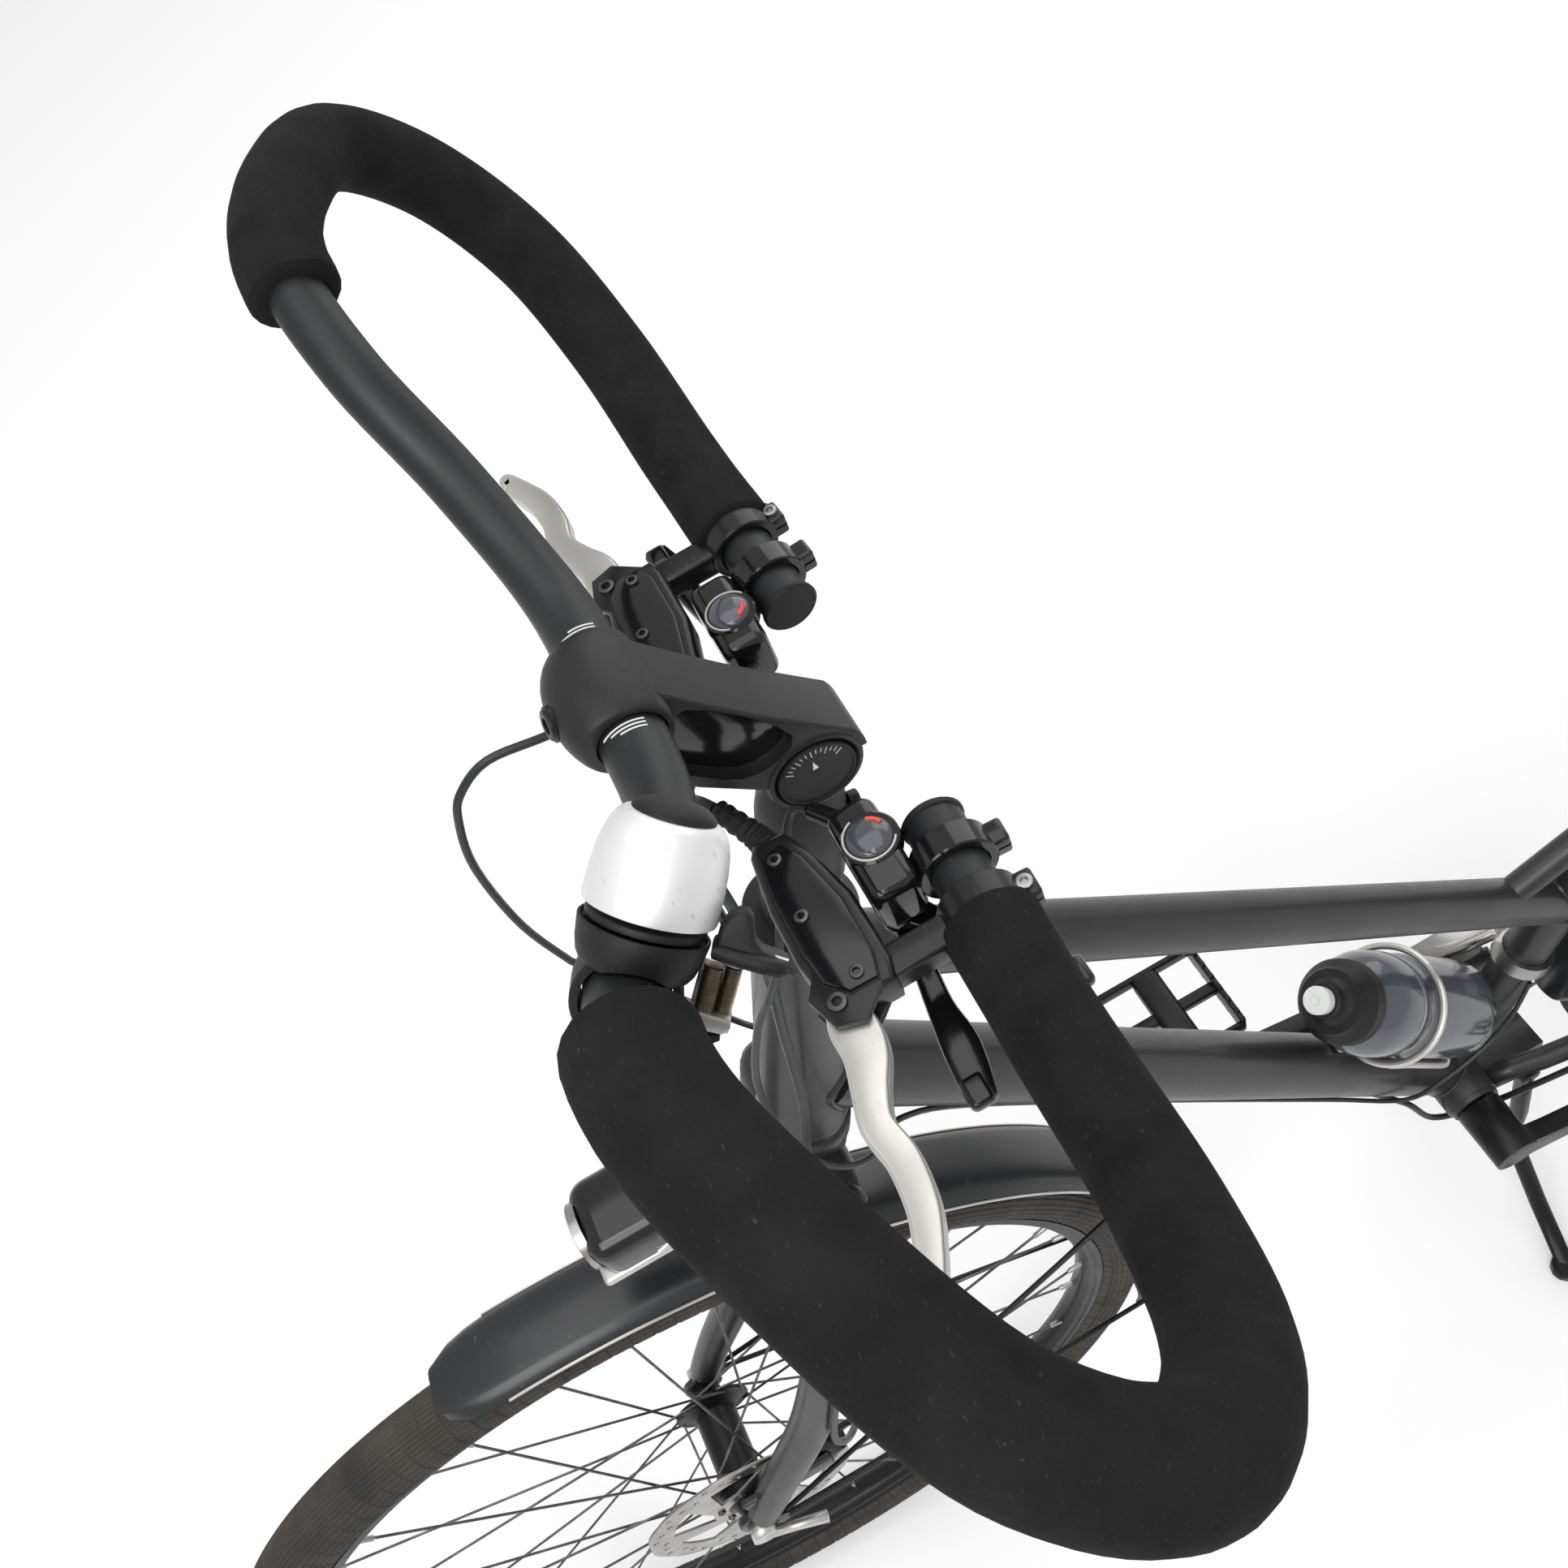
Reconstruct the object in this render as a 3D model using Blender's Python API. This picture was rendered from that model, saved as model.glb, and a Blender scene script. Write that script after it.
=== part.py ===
"""A touring bicycle with loop handlebars: frame, wheels, drive, controls and the joints between them.

Metres, +Z up, +X forward, +Y to the rider's left. The bicycle is worked out around its bottom
bracket and then moved so that the origin is the centre of its footprint, on the ground.
"""

from math import acos, atan2, ceil, cos, hypot, pi, radians, sin

import bmesh
import bpy
from mathutils import Matrix, Vector

# Clearances
GAP = 0.0003
RUNNING_GAP = 0.0005
STEP_ANGLE = radians(12)

# Wheels
WHEEL_RADIUS = 0.350
TYRE_WIDTH = 0.039
TYRE_HEIGHT = 0.039
RIM_SEAT_RADIUS = WHEEL_RADIUS - TYRE_HEIGHT
RIM_DEPTH = 0.0145
RIM_WIDTH = 0.025
WHEEL_SIDES = 40
SPOKES = 32
SPOKE_RADIUS = 0.0010
SPOKE_LACING = radians(67.5)
SPOKE_STAGGER = 0.0015
FLANGE_RADIUS = 0.029
FLANGE_HALF = 0.0015
AXLE_RADIUS = 0.0045
FRONT_HUB_HALF = 0.049
FRONT_FLANGES = (0.026, -0.034)
FRONT_HUB_SHELL = 0.016
FRONT_ROTOR_AT = 0.039
REAR_HUB_HALF = 0.067
REAR_FLANGES = (0.035, -0.023)
REAR_HUB_SHELL = 0.018
REAR_ROTOR_AT = 0.0489
ROTOR_RADIUS = 0.080
ROTOR_THICKNESS = 0.0018

# Frame
BRACKET_HEIGHT = 0.2766
TYRE_TO_BRACKET = 0.100
HEAD_ANGLE = radians(73.2)
FORK_RAKE = 0.060
CROWN_ROOM = 0.1151
FORK_LENGTH = WHEEL_RADIUS + CROWN_ROOM
WHEELBASE = 1.0747
HEAD_TUBE_LENGTH = 0.1929
HEAD_TUBE_RADIUS = 0.023
HEAD_BORE = 0.0165
CUP_RADIUS = 0.0255
CUP_HEIGHT = 0.012
TOP_TUBE_DROP = 0.033
TOP_TUBE_SEAT_REACH = 0.218829514
TOP_TUBE_RADIUS = 0.0166
DOWN_TUBE_RISE = 0.059
DOWN_TUBE_RADIUS = 0.0225
SEAT_ANGLE = radians(70.0)
SEAT_TUBE_LENGTH = 0.504
SEATPOST_RADIUS = 0.0135
SEAT_TUBE_WALL = 0.0025
SEAT_TUBE_RADIUS = SEATPOST_RADIUS + SEAT_TUBE_WALL
SEAT_CLAMP_WALL = 0.0035
SEAT_CLAMP_RADIUS = SEAT_TUBE_RADIUS + SEAT_CLAMP_WALL
SEAT_CLAMP_HEIGHT = 0.016
BRACE_AHEAD = 0.055
BRACE_SEAT_REACH = 0.318
BRACE_RADIUS = 0.010
SHELL_RADIUS = 0.0215
SHELL_HALF = 0.034
CUP_END = 0.038
CHAIN_STAY_RADIUS = 0.0090
SEAT_STAY_RADIUS = 0.0065
STAY_SPREAD = 0.070
DROPOUT_THICKNESS = 0.005
DROPOUT_RADIUS = 0.018
FENDER_GAP = 0.0175
FENDER_HALF = 0.026
FENDER_WALL = 0.0015
FENDER_LIP = 0.009
FENDER_STAY_RADIUS = 0.0020

# Fork and headlight
STEERER_RADIUS = 0.0143
CROWN_RADIUS = 0.019
BLADE_SPREAD = 0.046
BLADE_TOP_RADIUS = 0.0150
FORK_TAB_INNER = 0.0500
LAMP_LENGTH = 0.060
LAMP_WIDTH = 0.050
LAMP_HEIGHT = 0.042

# Stem and handlebar
STEM_REACH = 0.0898
STEM_ELEVATION = radians(55.6)
STEM_PIVOT_RISE = 0.1037
POST_RADIUS = 0.0185
SPACER_RADIUS = 0.0175
BARREL_RADIUS = 0.0235
BARREL_HALF = 0.0155
HOOD_WALL = 0.003
CLAMP_RADIUS = 0.0235
CLAMP_HALF = 0.0207
DIAL_RADIUS = 0.0165
PIVOT_PIN_RADIUS = 0.006
BAR_PITCH = radians(48.7)
BAR_RADIUS = 0.0111
BAR_CENTRE_RADIUS = 0.0124
BAR_SIDES = 8
BAR_STEPS = 3
FOAM_RADIUS = 0.0170
FOAM_STRETCH = 0.0013
FOAM_BORE = BAR_RADIUS + FOAM_STRETCH
FOAM_BORE_SIDES = 8
FOAM_SIDES = 10
# Ahead, outward and above the middle of the clamp, in the plane of the handlebar.
BAR_ROUTE = (
    (0.000, 0.000, 0.000),
    (0.003, 0.050, 0.001),
    (0.030, 0.102, 0.011),
    (0.065, 0.141, 0.025),
    (0.084, 0.185, 0.037),
    (0.074, 0.233, 0.046),
    (0.045, 0.280, 0.049),
    (-0.004, 0.295, 0.044),
    (-0.050, 0.273, 0.034),
    (-0.080, 0.225, 0.021),
    (-0.094, 0.160, 0.012),
    (-0.0995, 0.113, 0.010),
    (-0.104, 0.062, 0.010),
)
FOAM_FIRST = 11
FOAM_LAST = 33

# Controls, from the middle of the brake clamp on the left rear arm
BRAKE_CLAMP_AT = 0.1035
SHIFTER_CLAMP_AT = 0.079
BELL_AT = 0.149
BAND_RADIUS = 0.0150
BAND_SLIP = 0.0007
BAND_BORE = BAR_RADIUS + BAND_SLIP
BAND_SIDES = 12
BLADE_PIVOT = (0.058, 0.010)
BLADE_HALF = 0.0042
LUG_HALF = 0.0080
BLADE_PIN_RADIUS = 0.0030
LEVER_POST_RADIUS = 0.0040
LEVER_POST_AT = (0.0215, -0.027)
THUMB_BOTTOM = -0.0300
TRIGGER_BOTTOM = -0.0235
SHIFT_LEVER_THICKNESS = 0.0045
BELL_RADIUS = 0.0172
BELL_HEIGHT = 0.0265
BELL_WALL = 0.0012
BELL_BASE_RADIUS = 0.0165
BELL_LEVER_REACH = 0.0365

# Drive
CRANK_LENGTH = 0.170
CRANK_ANGLE = 0.2839
CRANK_INNER = 0.070
CRANK_OUTER = 0.084
CRANK_BOSS_RADIUS = 0.018
SPINDLE_RADIUS = 0.012
PEDAL_LENGTH = 0.094
PEDAL_WIDTH = 0.085
PEDAL_THICKNESS = 0.024
RING_PITCH_RADIUS = 0.0885
RING_AT = -0.050
INNER_RING_RADIUS = 0.066
INNER_RING_AT = -0.0443
SPROCKET_PITCH_RADIUS = 0.0347
SPROCKET_AT = -0.0440
PULLEY_PITCH_RADIUS = 0.0222
CHAIN_HALF_HEIGHT = 0.004
CHAIN_HALF_WIDTH = 0.00375
CHAIN_CLEARANCE = 0.0012
FREEHUB_RADIUS = 0.0165

# Saddle, bottle and stand
SEATPOST_FOOT = 0.385
SEATPOST_HEAD = 0.683
SADDLE_LENGTH = 0.270
SADDLE_WIDTH = 0.165
SADDLE_THICKNESS = 0.034
SADDLE_RISE = 0.046
BOTTLE_RADIUS = 0.0365
BOTTLE_OFFSET = 0.067
BOTTLE_FOOT = 0.100
BOTTLE_LENGTH = 0.150
CAP_LENGTH = 0.040
HOOP_AT = 0.195
STAND_BAR_RADIUS = 0.0085
STAND_LEG_RADIUS = 0.0075
STAND_FOOT_RADIUS = 0.012
STAND_FOOT_HEIGHT = 0.018
STAND_FOOT_AT = (-0.050, 0.125)
STAND_LUG_HALF = 0.012

# Cables
HOSE_RADIUS = 0.0025
CABLE_RADIUS = 0.0018

AHEAD = Vector((1, 0, 0))
LEFT = Vector((0, 1, 0))
UP = Vector((0, 0, 1))

BRACKET = Vector((0, 0, BRACKET_HEIGHT))
REAR_AXLE = Vector((-(WHEEL_RADIUS + TYRE_TO_BRACKET), 0, WHEEL_RADIUS))
FRONT_AXLE = REAR_AXLE + AHEAD * WHEELBASE
STEER_UP = Vector((-cos(HEAD_ANGLE), 0, sin(HEAD_ANGLE)))
STEER_AHEAD = Vector((sin(HEAD_ANGLE), 0, cos(HEAD_ANGLE)))
STEER_FOOT = FRONT_AXLE - STEER_AHEAD * FORK_RAKE
HEAD_TOP = FORK_LENGTH + HEAD_TUBE_LENGTH
PIVOT_AT = HEAD_TOP + STEM_PIVOT_RISE
STEM_AHEAD = Vector((cos(STEM_ELEVATION), 0, sin(STEM_ELEVATION)))
STEM_RISE = Vector((-sin(STEM_ELEVATION), 0, cos(STEM_ELEVATION)))
BAR_AHEAD = Vector((cos(BAR_PITCH), 0, sin(BAR_PITCH)))
BAR_RISE = Vector((-sin(BAR_PITCH), 0, cos(BAR_PITCH)))
SEAT_UP = Vector((-cos(SEAT_ANGLE), 0, sin(SEAT_ANGLE)))
SEAT_AHEAD = Vector((sin(SEAT_ANGLE), 0, cos(SEAT_ANGLE)))
FENDER_RADIUS = WHEEL_RADIUS + FENDER_GAP + FENDER_WALL

FINISHES = {
    "frame_paint": ((0.018, 0.018, 0.020), 0.25, 0.38),
    "black_metal": ((0.015, 0.015, 0.016), 0.60, 0.34),
    "black_plastic": ((0.020, 0.020, 0.021), 0.0, 0.45),
    "foam": ((0.017, 0.017, 0.018), 0.0, 0.95),
    "rubber": ((0.022, 0.021, 0.021), 0.0, 0.80),
    "silver": ((0.62, 0.62, 0.61), 1.0, 0.28),
    "satin_silver": ((0.70, 0.70, 0.70), 1.0, 0.38),
    "steel": ((0.42, 0.42, 0.42), 1.0, 0.35),
    "bottle_plastic": ((0.045, 0.048, 0.055), 0.0, 0.22),
    "saddle_cover": ((0.020, 0.020, 0.021), 0.0, 0.60),
}


def steer_point(along, ahead=0.0, left=0.0):
    """A point measured along the steering axis from the height of the axle, and ahead of that axis."""
    return STEER_FOOT + STEER_UP * along + STEER_AHEAD * ahead + LEFT * left


def seat_point(along, ahead=0.0, left=0.0):
    """A point measured along the seat tube from the bottom bracket."""
    return BRACKET + SEAT_UP * along + SEAT_AHEAD * ahead + LEFT * left


STEM_PIVOT = steer_point(PIVOT_AT)
BAR_CLAMP = STEM_PIVOT + STEM_AHEAD * STEM_REACH
TOP_TUBE_HEAD = steer_point(HEAD_TOP - TOP_TUBE_DROP)
DOWN_TUBE_HEAD = steer_point(FORK_LENGTH + DOWN_TUBE_RISE)
DOWN_TUBE_UP = (DOWN_TUBE_HEAD - BRACKET).normalized()
DOWN_TUBE_TOP_SIDE = Vector((-DOWN_TUBE_UP.z, 0, DOWN_TUBE_UP.x))
DOWN_TUBE_LENGTH = (DOWN_TUBE_HEAD - BRACKET).length


def down_point(along, above=0.0, left=0.0):
    """A point measured along the down tube from the bottom bracket, and above that tube's axis."""
    return BRACKET + DOWN_TUBE_UP * along + DOWN_TUBE_TOP_SIDE * above + LEFT * left


def bar_point(ahead, left, rise):
    """A point in the plane of the handlebar, measured from the middle of its clamp."""
    return BAR_CLAMP + BAR_AHEAD * ahead + LEFT * left + BAR_RISE * rise


TOP_TUBE_SEAT = seat_point(TOP_TUBE_SEAT_REACH)
TOP_TUBE_BACK = (TOP_TUBE_SEAT - TOP_TUBE_HEAD).normalized()


def smooth(points, steps):
    """A smooth curve through the points, with so many steps from each point to the next."""
    points = [Vector(point) for point in points]
    ends = [points[0] * 2 - points[1], *points, points[-1] * 2 - points[-2]]
    curve = []
    for before, first, second, after in zip(ends, ends[1:], ends[2:], ends[3:]):
        for step in range(steps):
            t = step / steps
            curve.append(
                0.5
                * (
                    2 * first
                    + (second - before) * t
                    + (2 * before - 5 * first + 4 * second - after) * t**2
                    + (3 * first - before - 3 * second + after) * t**3
                )
            )
    curve.append(points[-1])
    return curve


def thinned(curve, least=radians(7)):
    """The curve without the points at which it has hardly turned."""
    kept = curve[:2]
    for point, after in zip(curve[2:], curve[3:]):
        before = kept[-1] - kept[-2]
        if before.angle(after - point) >= least:
            kept.append(point)
    kept.append(curve[-1])
    return kept


def tidied(mesh):
    """Welds what coincides and turns every face outwards."""
    form = bmesh.new()
    form.from_mesh(mesh)
    bmesh.ops.remove_doubles(form, verts=form.verts, dist=1e-6)
    bmesh.ops.recalc_face_normals(form, faces=form.faces)
    form.to_mesh(mesh)
    form.free()
    return mesh


def finished(form):
    """The mesh of a bmesh form, welded and facing outwards."""
    mesh = bpy.data.meshes.new("shape")
    bmesh.ops.remove_doubles(form, verts=form.verts, dist=1e-6)
    bmesh.ops.recalc_face_normals(form, faces=form.faces)
    form.to_mesh(mesh)
    form.free()
    return mesh


def helper(data):
    """An object that is in the scene only while a shape is worked out."""
    obj = bpy.data.objects.new("helper", data)
    bpy.context.scene.collection.objects.link(obj)
    return obj


def pipe(points, radius, sides=12, scales=None):
    """A round rod along the points, its radius scaled at each of them."""
    curve = bpy.data.curves.new("pipe", "CURVE")
    curve.dimensions = "3D"
    curve.bevel_depth = radius
    curve.bevel_resolution = sides // 2 - 2
    curve.use_fill_caps = True
    spline = curve.splines.new("POLY")
    spline.points.add(len(points) - 1)
    for place, point in zip(spline.points, points):
        place.co = (*point, 1)
    for place, scale in zip(spline.points, scales or ()):
        place.radius = scale
    obj = helper(curve)
    bpy.context.view_layer.update()
    graph = bpy.context.evaluated_depsgraph_get()
    mesh = bpy.data.meshes.new_from_object(obj.evaluated_get(graph))
    bpy.data.objects.remove(obj)
    bpy.data.curves.remove(curve)
    return tidied(mesh)


def combine(operation, base, tools):
    """A Boolean of closed meshes, which uses them up."""
    body = helper(base)
    cutters = [helper(tool) for tool in tools]
    for cutter in cutters:
        modifier = body.modifiers.new("combine", "BOOLEAN")
        modifier.operation = operation
        modifier.object = cutter
    bpy.context.view_layer.update()
    graph = bpy.context.evaluated_depsgraph_get()
    mesh = bpy.data.meshes.new_from_object(body.evaluated_get(graph))
    for obj in (body, *cutters):
        data = obj.data
        bpy.data.objects.remove(obj)
        bpy.data.meshes.remove(data)
    return tidied(mesh)


def joined(base, *tools):
    """One solid from several that overlap."""
    return combine("UNION", base, tools)


def cut(base, *tools):
    """The solid without what the others fill."""
    return combine("DIFFERENCE", base, tools)


def turn_to(direction, roll=AHEAD):
    """The rotation that carries +Z to a direction and keeps +X as near a second one as it can."""
    third = Vector(direction).normalized()
    first = Vector(roll) - third * third.dot(roll)
    if first.length < 1e-4:
        first = UP - third * third.dot(UP)
    first.normalize()
    second = third.cross(first)
    return Matrix((first, second, third)).transposed().to_4x4()


def turned(profile, sides, centre=(0, 0, 0), axis=LEFT, ring=False):
    """A profile of (height, radius) pairs spun round an axis through the centre."""
    form = bmesh.new()
    corners = [form.verts.new((radius, 0, height)) for height, radius in profile]
    edges = [form.edges.new(pair) for pair in zip(corners, corners[1:])]
    if ring:
        edges.append(form.edges.new((corners[-1], corners[0])))
    bmesh.ops.spin(
        form,
        geom=corners + edges,
        cent=(0, 0, 0),
        axis=(0, 0, 1),
        angle=2 * pi,
        steps=sides,
        use_merge=True,
    )
    bmesh.ops.transform(form, matrix=Matrix.Translation(centre) @ turn_to(axis), verts=form.verts)
    return finished(form)


def rod(start, end, radius, sides=12):
    """A straight round rod between two points."""
    start = Vector(start)
    along = Vector(end) - start
    profile = ((0, 0), (0, radius), (along.length, radius), (along.length, 0))
    return turned(profile, sides, start, along)


def block(size, centre, across=AHEAD, up=UP, bevel=0.0, segments=2):
    """A box whose first side runs along `across` and whose third runs along `up`."""
    form = bmesh.new()
    bmesh.ops.create_cube(form, size=1)
    bmesh.ops.scale(form, vec=size, verts=form.verts)
    if bevel:
        bmesh.ops.bevel(
            form, geom=form.edges[:], offset=bevel, segments=segments, profile=0.5, affect="EDGES"
        )
    bmesh.ops.transform(
        form, matrix=Matrix.Translation(centre) @ turn_to(up, across), verts=form.verts
    )
    return finished(form)


def plate(outline, low, high, centre=(0, 0, 0), across=AHEAD, up=UP):
    """An outline in the plane across `up`, extruded from one height to another."""
    form = bmesh.new()
    face = form.faces.new([form.verts.new((x, y, low)) for x, y in outline])
    raised = bmesh.ops.extrude_face_region(form, geom=[face])["geom"]
    corners = [item for item in raised if isinstance(item, bmesh.types.BMVert)]
    bmesh.ops.translate(form, vec=(0, 0, high - low), verts=corners)
    bmesh.ops.transform(
        form, matrix=Matrix.Translation(centre) @ turn_to(up, across), verts=form.verts
    )
    return finished(form)


def ribbon(route, widths):
    """The outline of a flat strip that follows a route and changes its width along it."""
    route = [Vector(point) for point in route]
    left, right = [], []
    for index, (point, width) in enumerate(zip(route, widths)):
        before = route[max(index - 1, 0)]
        after = route[min(index + 1, len(route) - 1)]
        along = (after - before).normalized()
        aside = Vector((-along.y, along.x)) * width / 2
        left.append(point + aside)
        right.append(point - aside)
    return [tuple(point) for point in left + right[::-1]]


def loft(sections, closed=False):
    """A skin over loops that have the same number of points, capped at its two ends."""
    form = bmesh.new()
    loops = [[form.verts.new(point) for point in section] for section in sections]
    pairs = list(zip(loops, loops[1:]))
    if closed:
        pairs.append((loops[-1], loops[0]))
    for first, second in pairs:
        for index in range(len(first)):
            after = (index + 1) % len(first)
            form.faces.new((first[index], first[after], second[after], second[index]))
    if not closed:
        form.faces.new(loops[0][::-1])
        form.faces.new(loops[-1])
    return finished(form)


def mirrored(mesh):
    """The same solid on the other side of the bicycle."""
    mesh.transform(Matrix.Scale(-1, 4, LEFT))
    return tidied(mesh)


def around(centre, radius, angle, left=0.0):
    """The point at an angle round a centre in the plane of the frame."""
    return centre + Vector((cos(angle), 0, sin(angle))) * radius + LEFT * left


def tyre(axle):
    """A tyre of octagonal section that seats on its rim."""
    low = RIM_SEAT_RADIUS + GAP
    middle = (WHEEL_RADIUS + low) / 2
    half_height = (WHEEL_RADIUS - low) / 2
    flat = cos(pi / 8)
    profile = []
    for index in range(8):
        angle = (index + 0.5) * pi / 4
        width = TYRE_WIDTH / 2 * sin(angle) / flat
        profile.append((width, middle + half_height * cos(angle) / flat))
    return turned(profile, WHEEL_SIDES, axle, LEFT, ring=True)


def spokes(axle, flanges):
    """The laced spokes of a wheel, as separate rods from its rim to just outside its hub flanges."""
    rim_radius = RIM_SEAT_RADIUS - RIM_DEPTH + 0.002
    hub_radius = FLANGE_RADIUS + 0.0015
    rods = []
    for index in range(SPOKES):
        side = index % 2
        lead = 1 if index % 4 < 2 else -1
        at_rim = 2 * pi * (index + 0.5) / SPOKES
        at_hub = at_rim + lead * SPOKE_LACING
        hub_left = flanges[side] + lead * SPOKE_STAGGER
        rim_left = 0.003 * (1 - 2 * side)
        start = around(axle, hub_radius, at_hub, hub_left)
        end = around(axle, rim_radius, at_rim, rim_left)
        rods.append(rod(start, end, SPOKE_RADIUS, 3))
    return rods


def rim(axle, flanges):
    """A rim of hollow-section depth with the spokes that hold it."""
    low = RIM_SEAT_RADIUS - RIM_DEPTH
    half = RIM_WIDTH / 2
    profile = (
        (-half, RIM_SEAT_RADIUS),
        (half, RIM_SEAT_RADIUS),
        (half, low + 0.0055),
        (half / 2, low),
        (-half / 2, low),
        (-half, low + 0.0055),
    )
    hoop = turned(profile, WHEEL_SIDES, axle, LEFT, ring=True)
    return joined(hoop, *spokes(axle, flanges))


def hub_profile(half, end_radius, shell, flanges, bore):
    """The turned outline of a hub from its right end to its left end, with its bore."""
    left, right = flanges
    return [
        (-half, end_radius),
        (right - 0.010, end_radius),
        (right - FLANGE_HALF - 0.001, shell - 0.002),
        (right - FLANGE_HALF, FLANGE_RADIUS),
        (right + FLANGE_HALF, FLANGE_RADIUS),
        (right + FLANGE_HALF + 0.003, shell),
        (left - FLANGE_HALF - 0.003, shell),
        (left - FLANGE_HALF, FLANGE_RADIUS),
        (left + FLANGE_HALF, FLANGE_RADIUS),
        (left + FLANGE_HALF + 0.001, shell + 0.003),
    ], [(half, end_radius), (half, bore), (-half, bore)]


def front_hub():
    """The front hub, with a spigot for its brake rotor and a bore for its skewer."""
    bore = AXLE_RADIUS + 2 * RUNNING_GAP
    outside, ends = hub_profile(FRONT_HUB_HALF, 0.0105, FRONT_HUB_SHELL, FRONT_FLANGES, bore)
    seat = FRONT_ROTOR_AT - ROTOR_THICKNESS / 2 - GAP
    spigot = [(seat, FRONT_HUB_SHELL + 0.003), (seat, 0.0105)]
    return turned(outside + spigot + ends, 14, FRONT_AXLE, LEFT, ring=True)


def front_rotor():
    """The brake rotor on the left end of the front hub."""
    half = ROTOR_THICKNESS / 2
    bore = 0.0105 + 2 * GAP
    profile = (
        (FRONT_ROTOR_AT - half, bore),
        (FRONT_ROTOR_AT + half, bore),
        (FRONT_ROTOR_AT + half, ROTOR_RADIUS),
        (FRONT_ROTOR_AT - half, ROTOR_RADIUS),
    )
    return turned(profile, 24, FRONT_AXLE, LEFT, ring=True)


def rear_hub():
    """The rear hub with its brake rotor on the left and its freehub body on the right."""
    bore = AXLE_RADIUS + 2 * RUNNING_GAP
    half = ROTOR_THICKNESS / 2
    left, right = REAR_FLANGES
    profile = [
        (-REAR_HUB_HALF, 0.010),
        (-0.0605, 0.010),
        (-0.0605, FREEHUB_RADIUS),
        (right - FLANGE_HALF - 0.0015, FREEHUB_RADIUS),
        (right - FLANGE_HALF, FLANGE_RADIUS),
        (right + FLANGE_HALF, FLANGE_RADIUS),
        (right + FLANGE_HALF + 0.003, REAR_HUB_SHELL),
        (left - FLANGE_HALF - 0.003, REAR_HUB_SHELL),
        (left - FLANGE_HALF, FLANGE_RADIUS),
        (left + FLANGE_HALF, FLANGE_RADIUS),
        (left + FLANGE_HALF + 0.001, 0.021),
        (REAR_ROTOR_AT - half, 0.021),
        (REAR_ROTOR_AT - half, ROTOR_RADIUS),
        (REAR_ROTOR_AT + half, ROTOR_RADIUS),
        (REAR_ROTOR_AT + half, 0.012),
        (REAR_HUB_HALF, 0.010),
        (REAR_HUB_HALF, bore),
        (-REAR_HUB_HALF, bore),
    ]
    return turned(profile, 14, REAR_AXLE, LEFT, ring=True)


def cassette():
    """The stepped stack of sprockets, with room for the chain round the one that carries it."""
    seat = SPROCKET_PITCH_RADIUS - CHAIN_HALF_HEIGHT - CHAIN_CLEARANCE
    chain_half = CHAIN_HALF_WIDTH + CHAIN_CLEARANCE / 2
    inner_edge = SPROCKET_AT + chain_half
    outer_edge = SPROCKET_AT - chain_half
    start = REAR_FLANGES[1] - FLANGE_HALF - 0.0030
    larger = (0.066, 0.055, 0.0440)
    step = (start - inner_edge) / len(larger)
    profile = [(start, FREEHUB_RADIUS + RUNNING_GAP)]
    for index, radius in enumerate(larger):
        profile.append((start - index * step, radius))
        profile.append((start - (index + 1) * step, radius))
    smaller = (0.0280, 0.0245)
    end = -0.0602
    width = (outer_edge - end) / len(smaller)
    profile += [(inner_edge, seat), (outer_edge, seat)]
    for index, radius in enumerate(smaller):
        profile.append((outer_edge - index * width, radius))
        profile.append((outer_edge - (index + 1) * width, radius))
    profile.append((end, FREEHUB_RADIUS + RUNNING_GAP))
    return turned(profile, 18, REAR_AXLE, LEFT, ring=True)


def skewer(axle, outside):
    """A quick-release skewer: a rod through the hub with a nut on the right and a lever head."""
    nut = outside + GAP
    profile = (
        (-nut - 0.009, 0),
        (-nut - 0.009, 0.009),
        (-nut, 0.009),
        (-nut, AXLE_RADIUS),
        (nut, AXLE_RADIUS),
        (nut, 0.010),
        (nut + 0.012, 0.010),
        (nut + 0.012, 0),
    )
    head = turned(profile, 16, axle)
    hub = axle + LEFT * (nut + 0.009)
    tip = hub + Vector((-0.046, 0.010, -0.004))
    lever = pipe([hub, hub.lerp(tip, 0.5), tip], 0.0038, 8, (1.1, 1.0, 1.2))
    return joined(head, lever)


def head_tube():
    """The head tube with the two headset cups pressed into it."""
    low, high = FORK_LENGTH, HEAD_TOP
    profile = (
        (low, HEAD_BORE),
        (low, CUP_RADIUS),
        (low + CUP_HEIGHT, CUP_RADIUS),
        (low + CUP_HEIGHT, HEAD_TUBE_RADIUS),
        (high - CUP_HEIGHT, HEAD_TUBE_RADIUS),
        (high - CUP_HEIGHT, CUP_RADIUS),
        (high, CUP_RADIUS),
        (high, HEAD_BORE),
    )
    return turned(profile, 20, STEER_FOOT, STEER_UP, ring=True)


def head_cope():
    """The room that the head tube takes out of the tubes that meet it."""
    low = STEER_FOOT + STEER_UP * (FORK_LENGTH - 0.02)
    high = STEER_FOOT + STEER_UP * (HEAD_TOP + 0.02)
    return rod(low, high, HEAD_TUBE_RADIUS + GAP, 24)


def seat_cope():
    """The room that the seat tube takes out of the tubes that meet it."""
    return rod(seat_point(-0.05), seat_point(SEAT_TUBE_LENGTH + 0.05), SEAT_TUBE_RADIUS + GAP, 24)


def shell_cope():
    """The room that the bottom bracket shell takes out of the tubes that meet it."""
    half = LEFT * (SHELL_HALF + 0.02)
    return rod(BRACKET - half, BRACKET + half, SHELL_RADIUS + GAP, 24)


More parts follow.
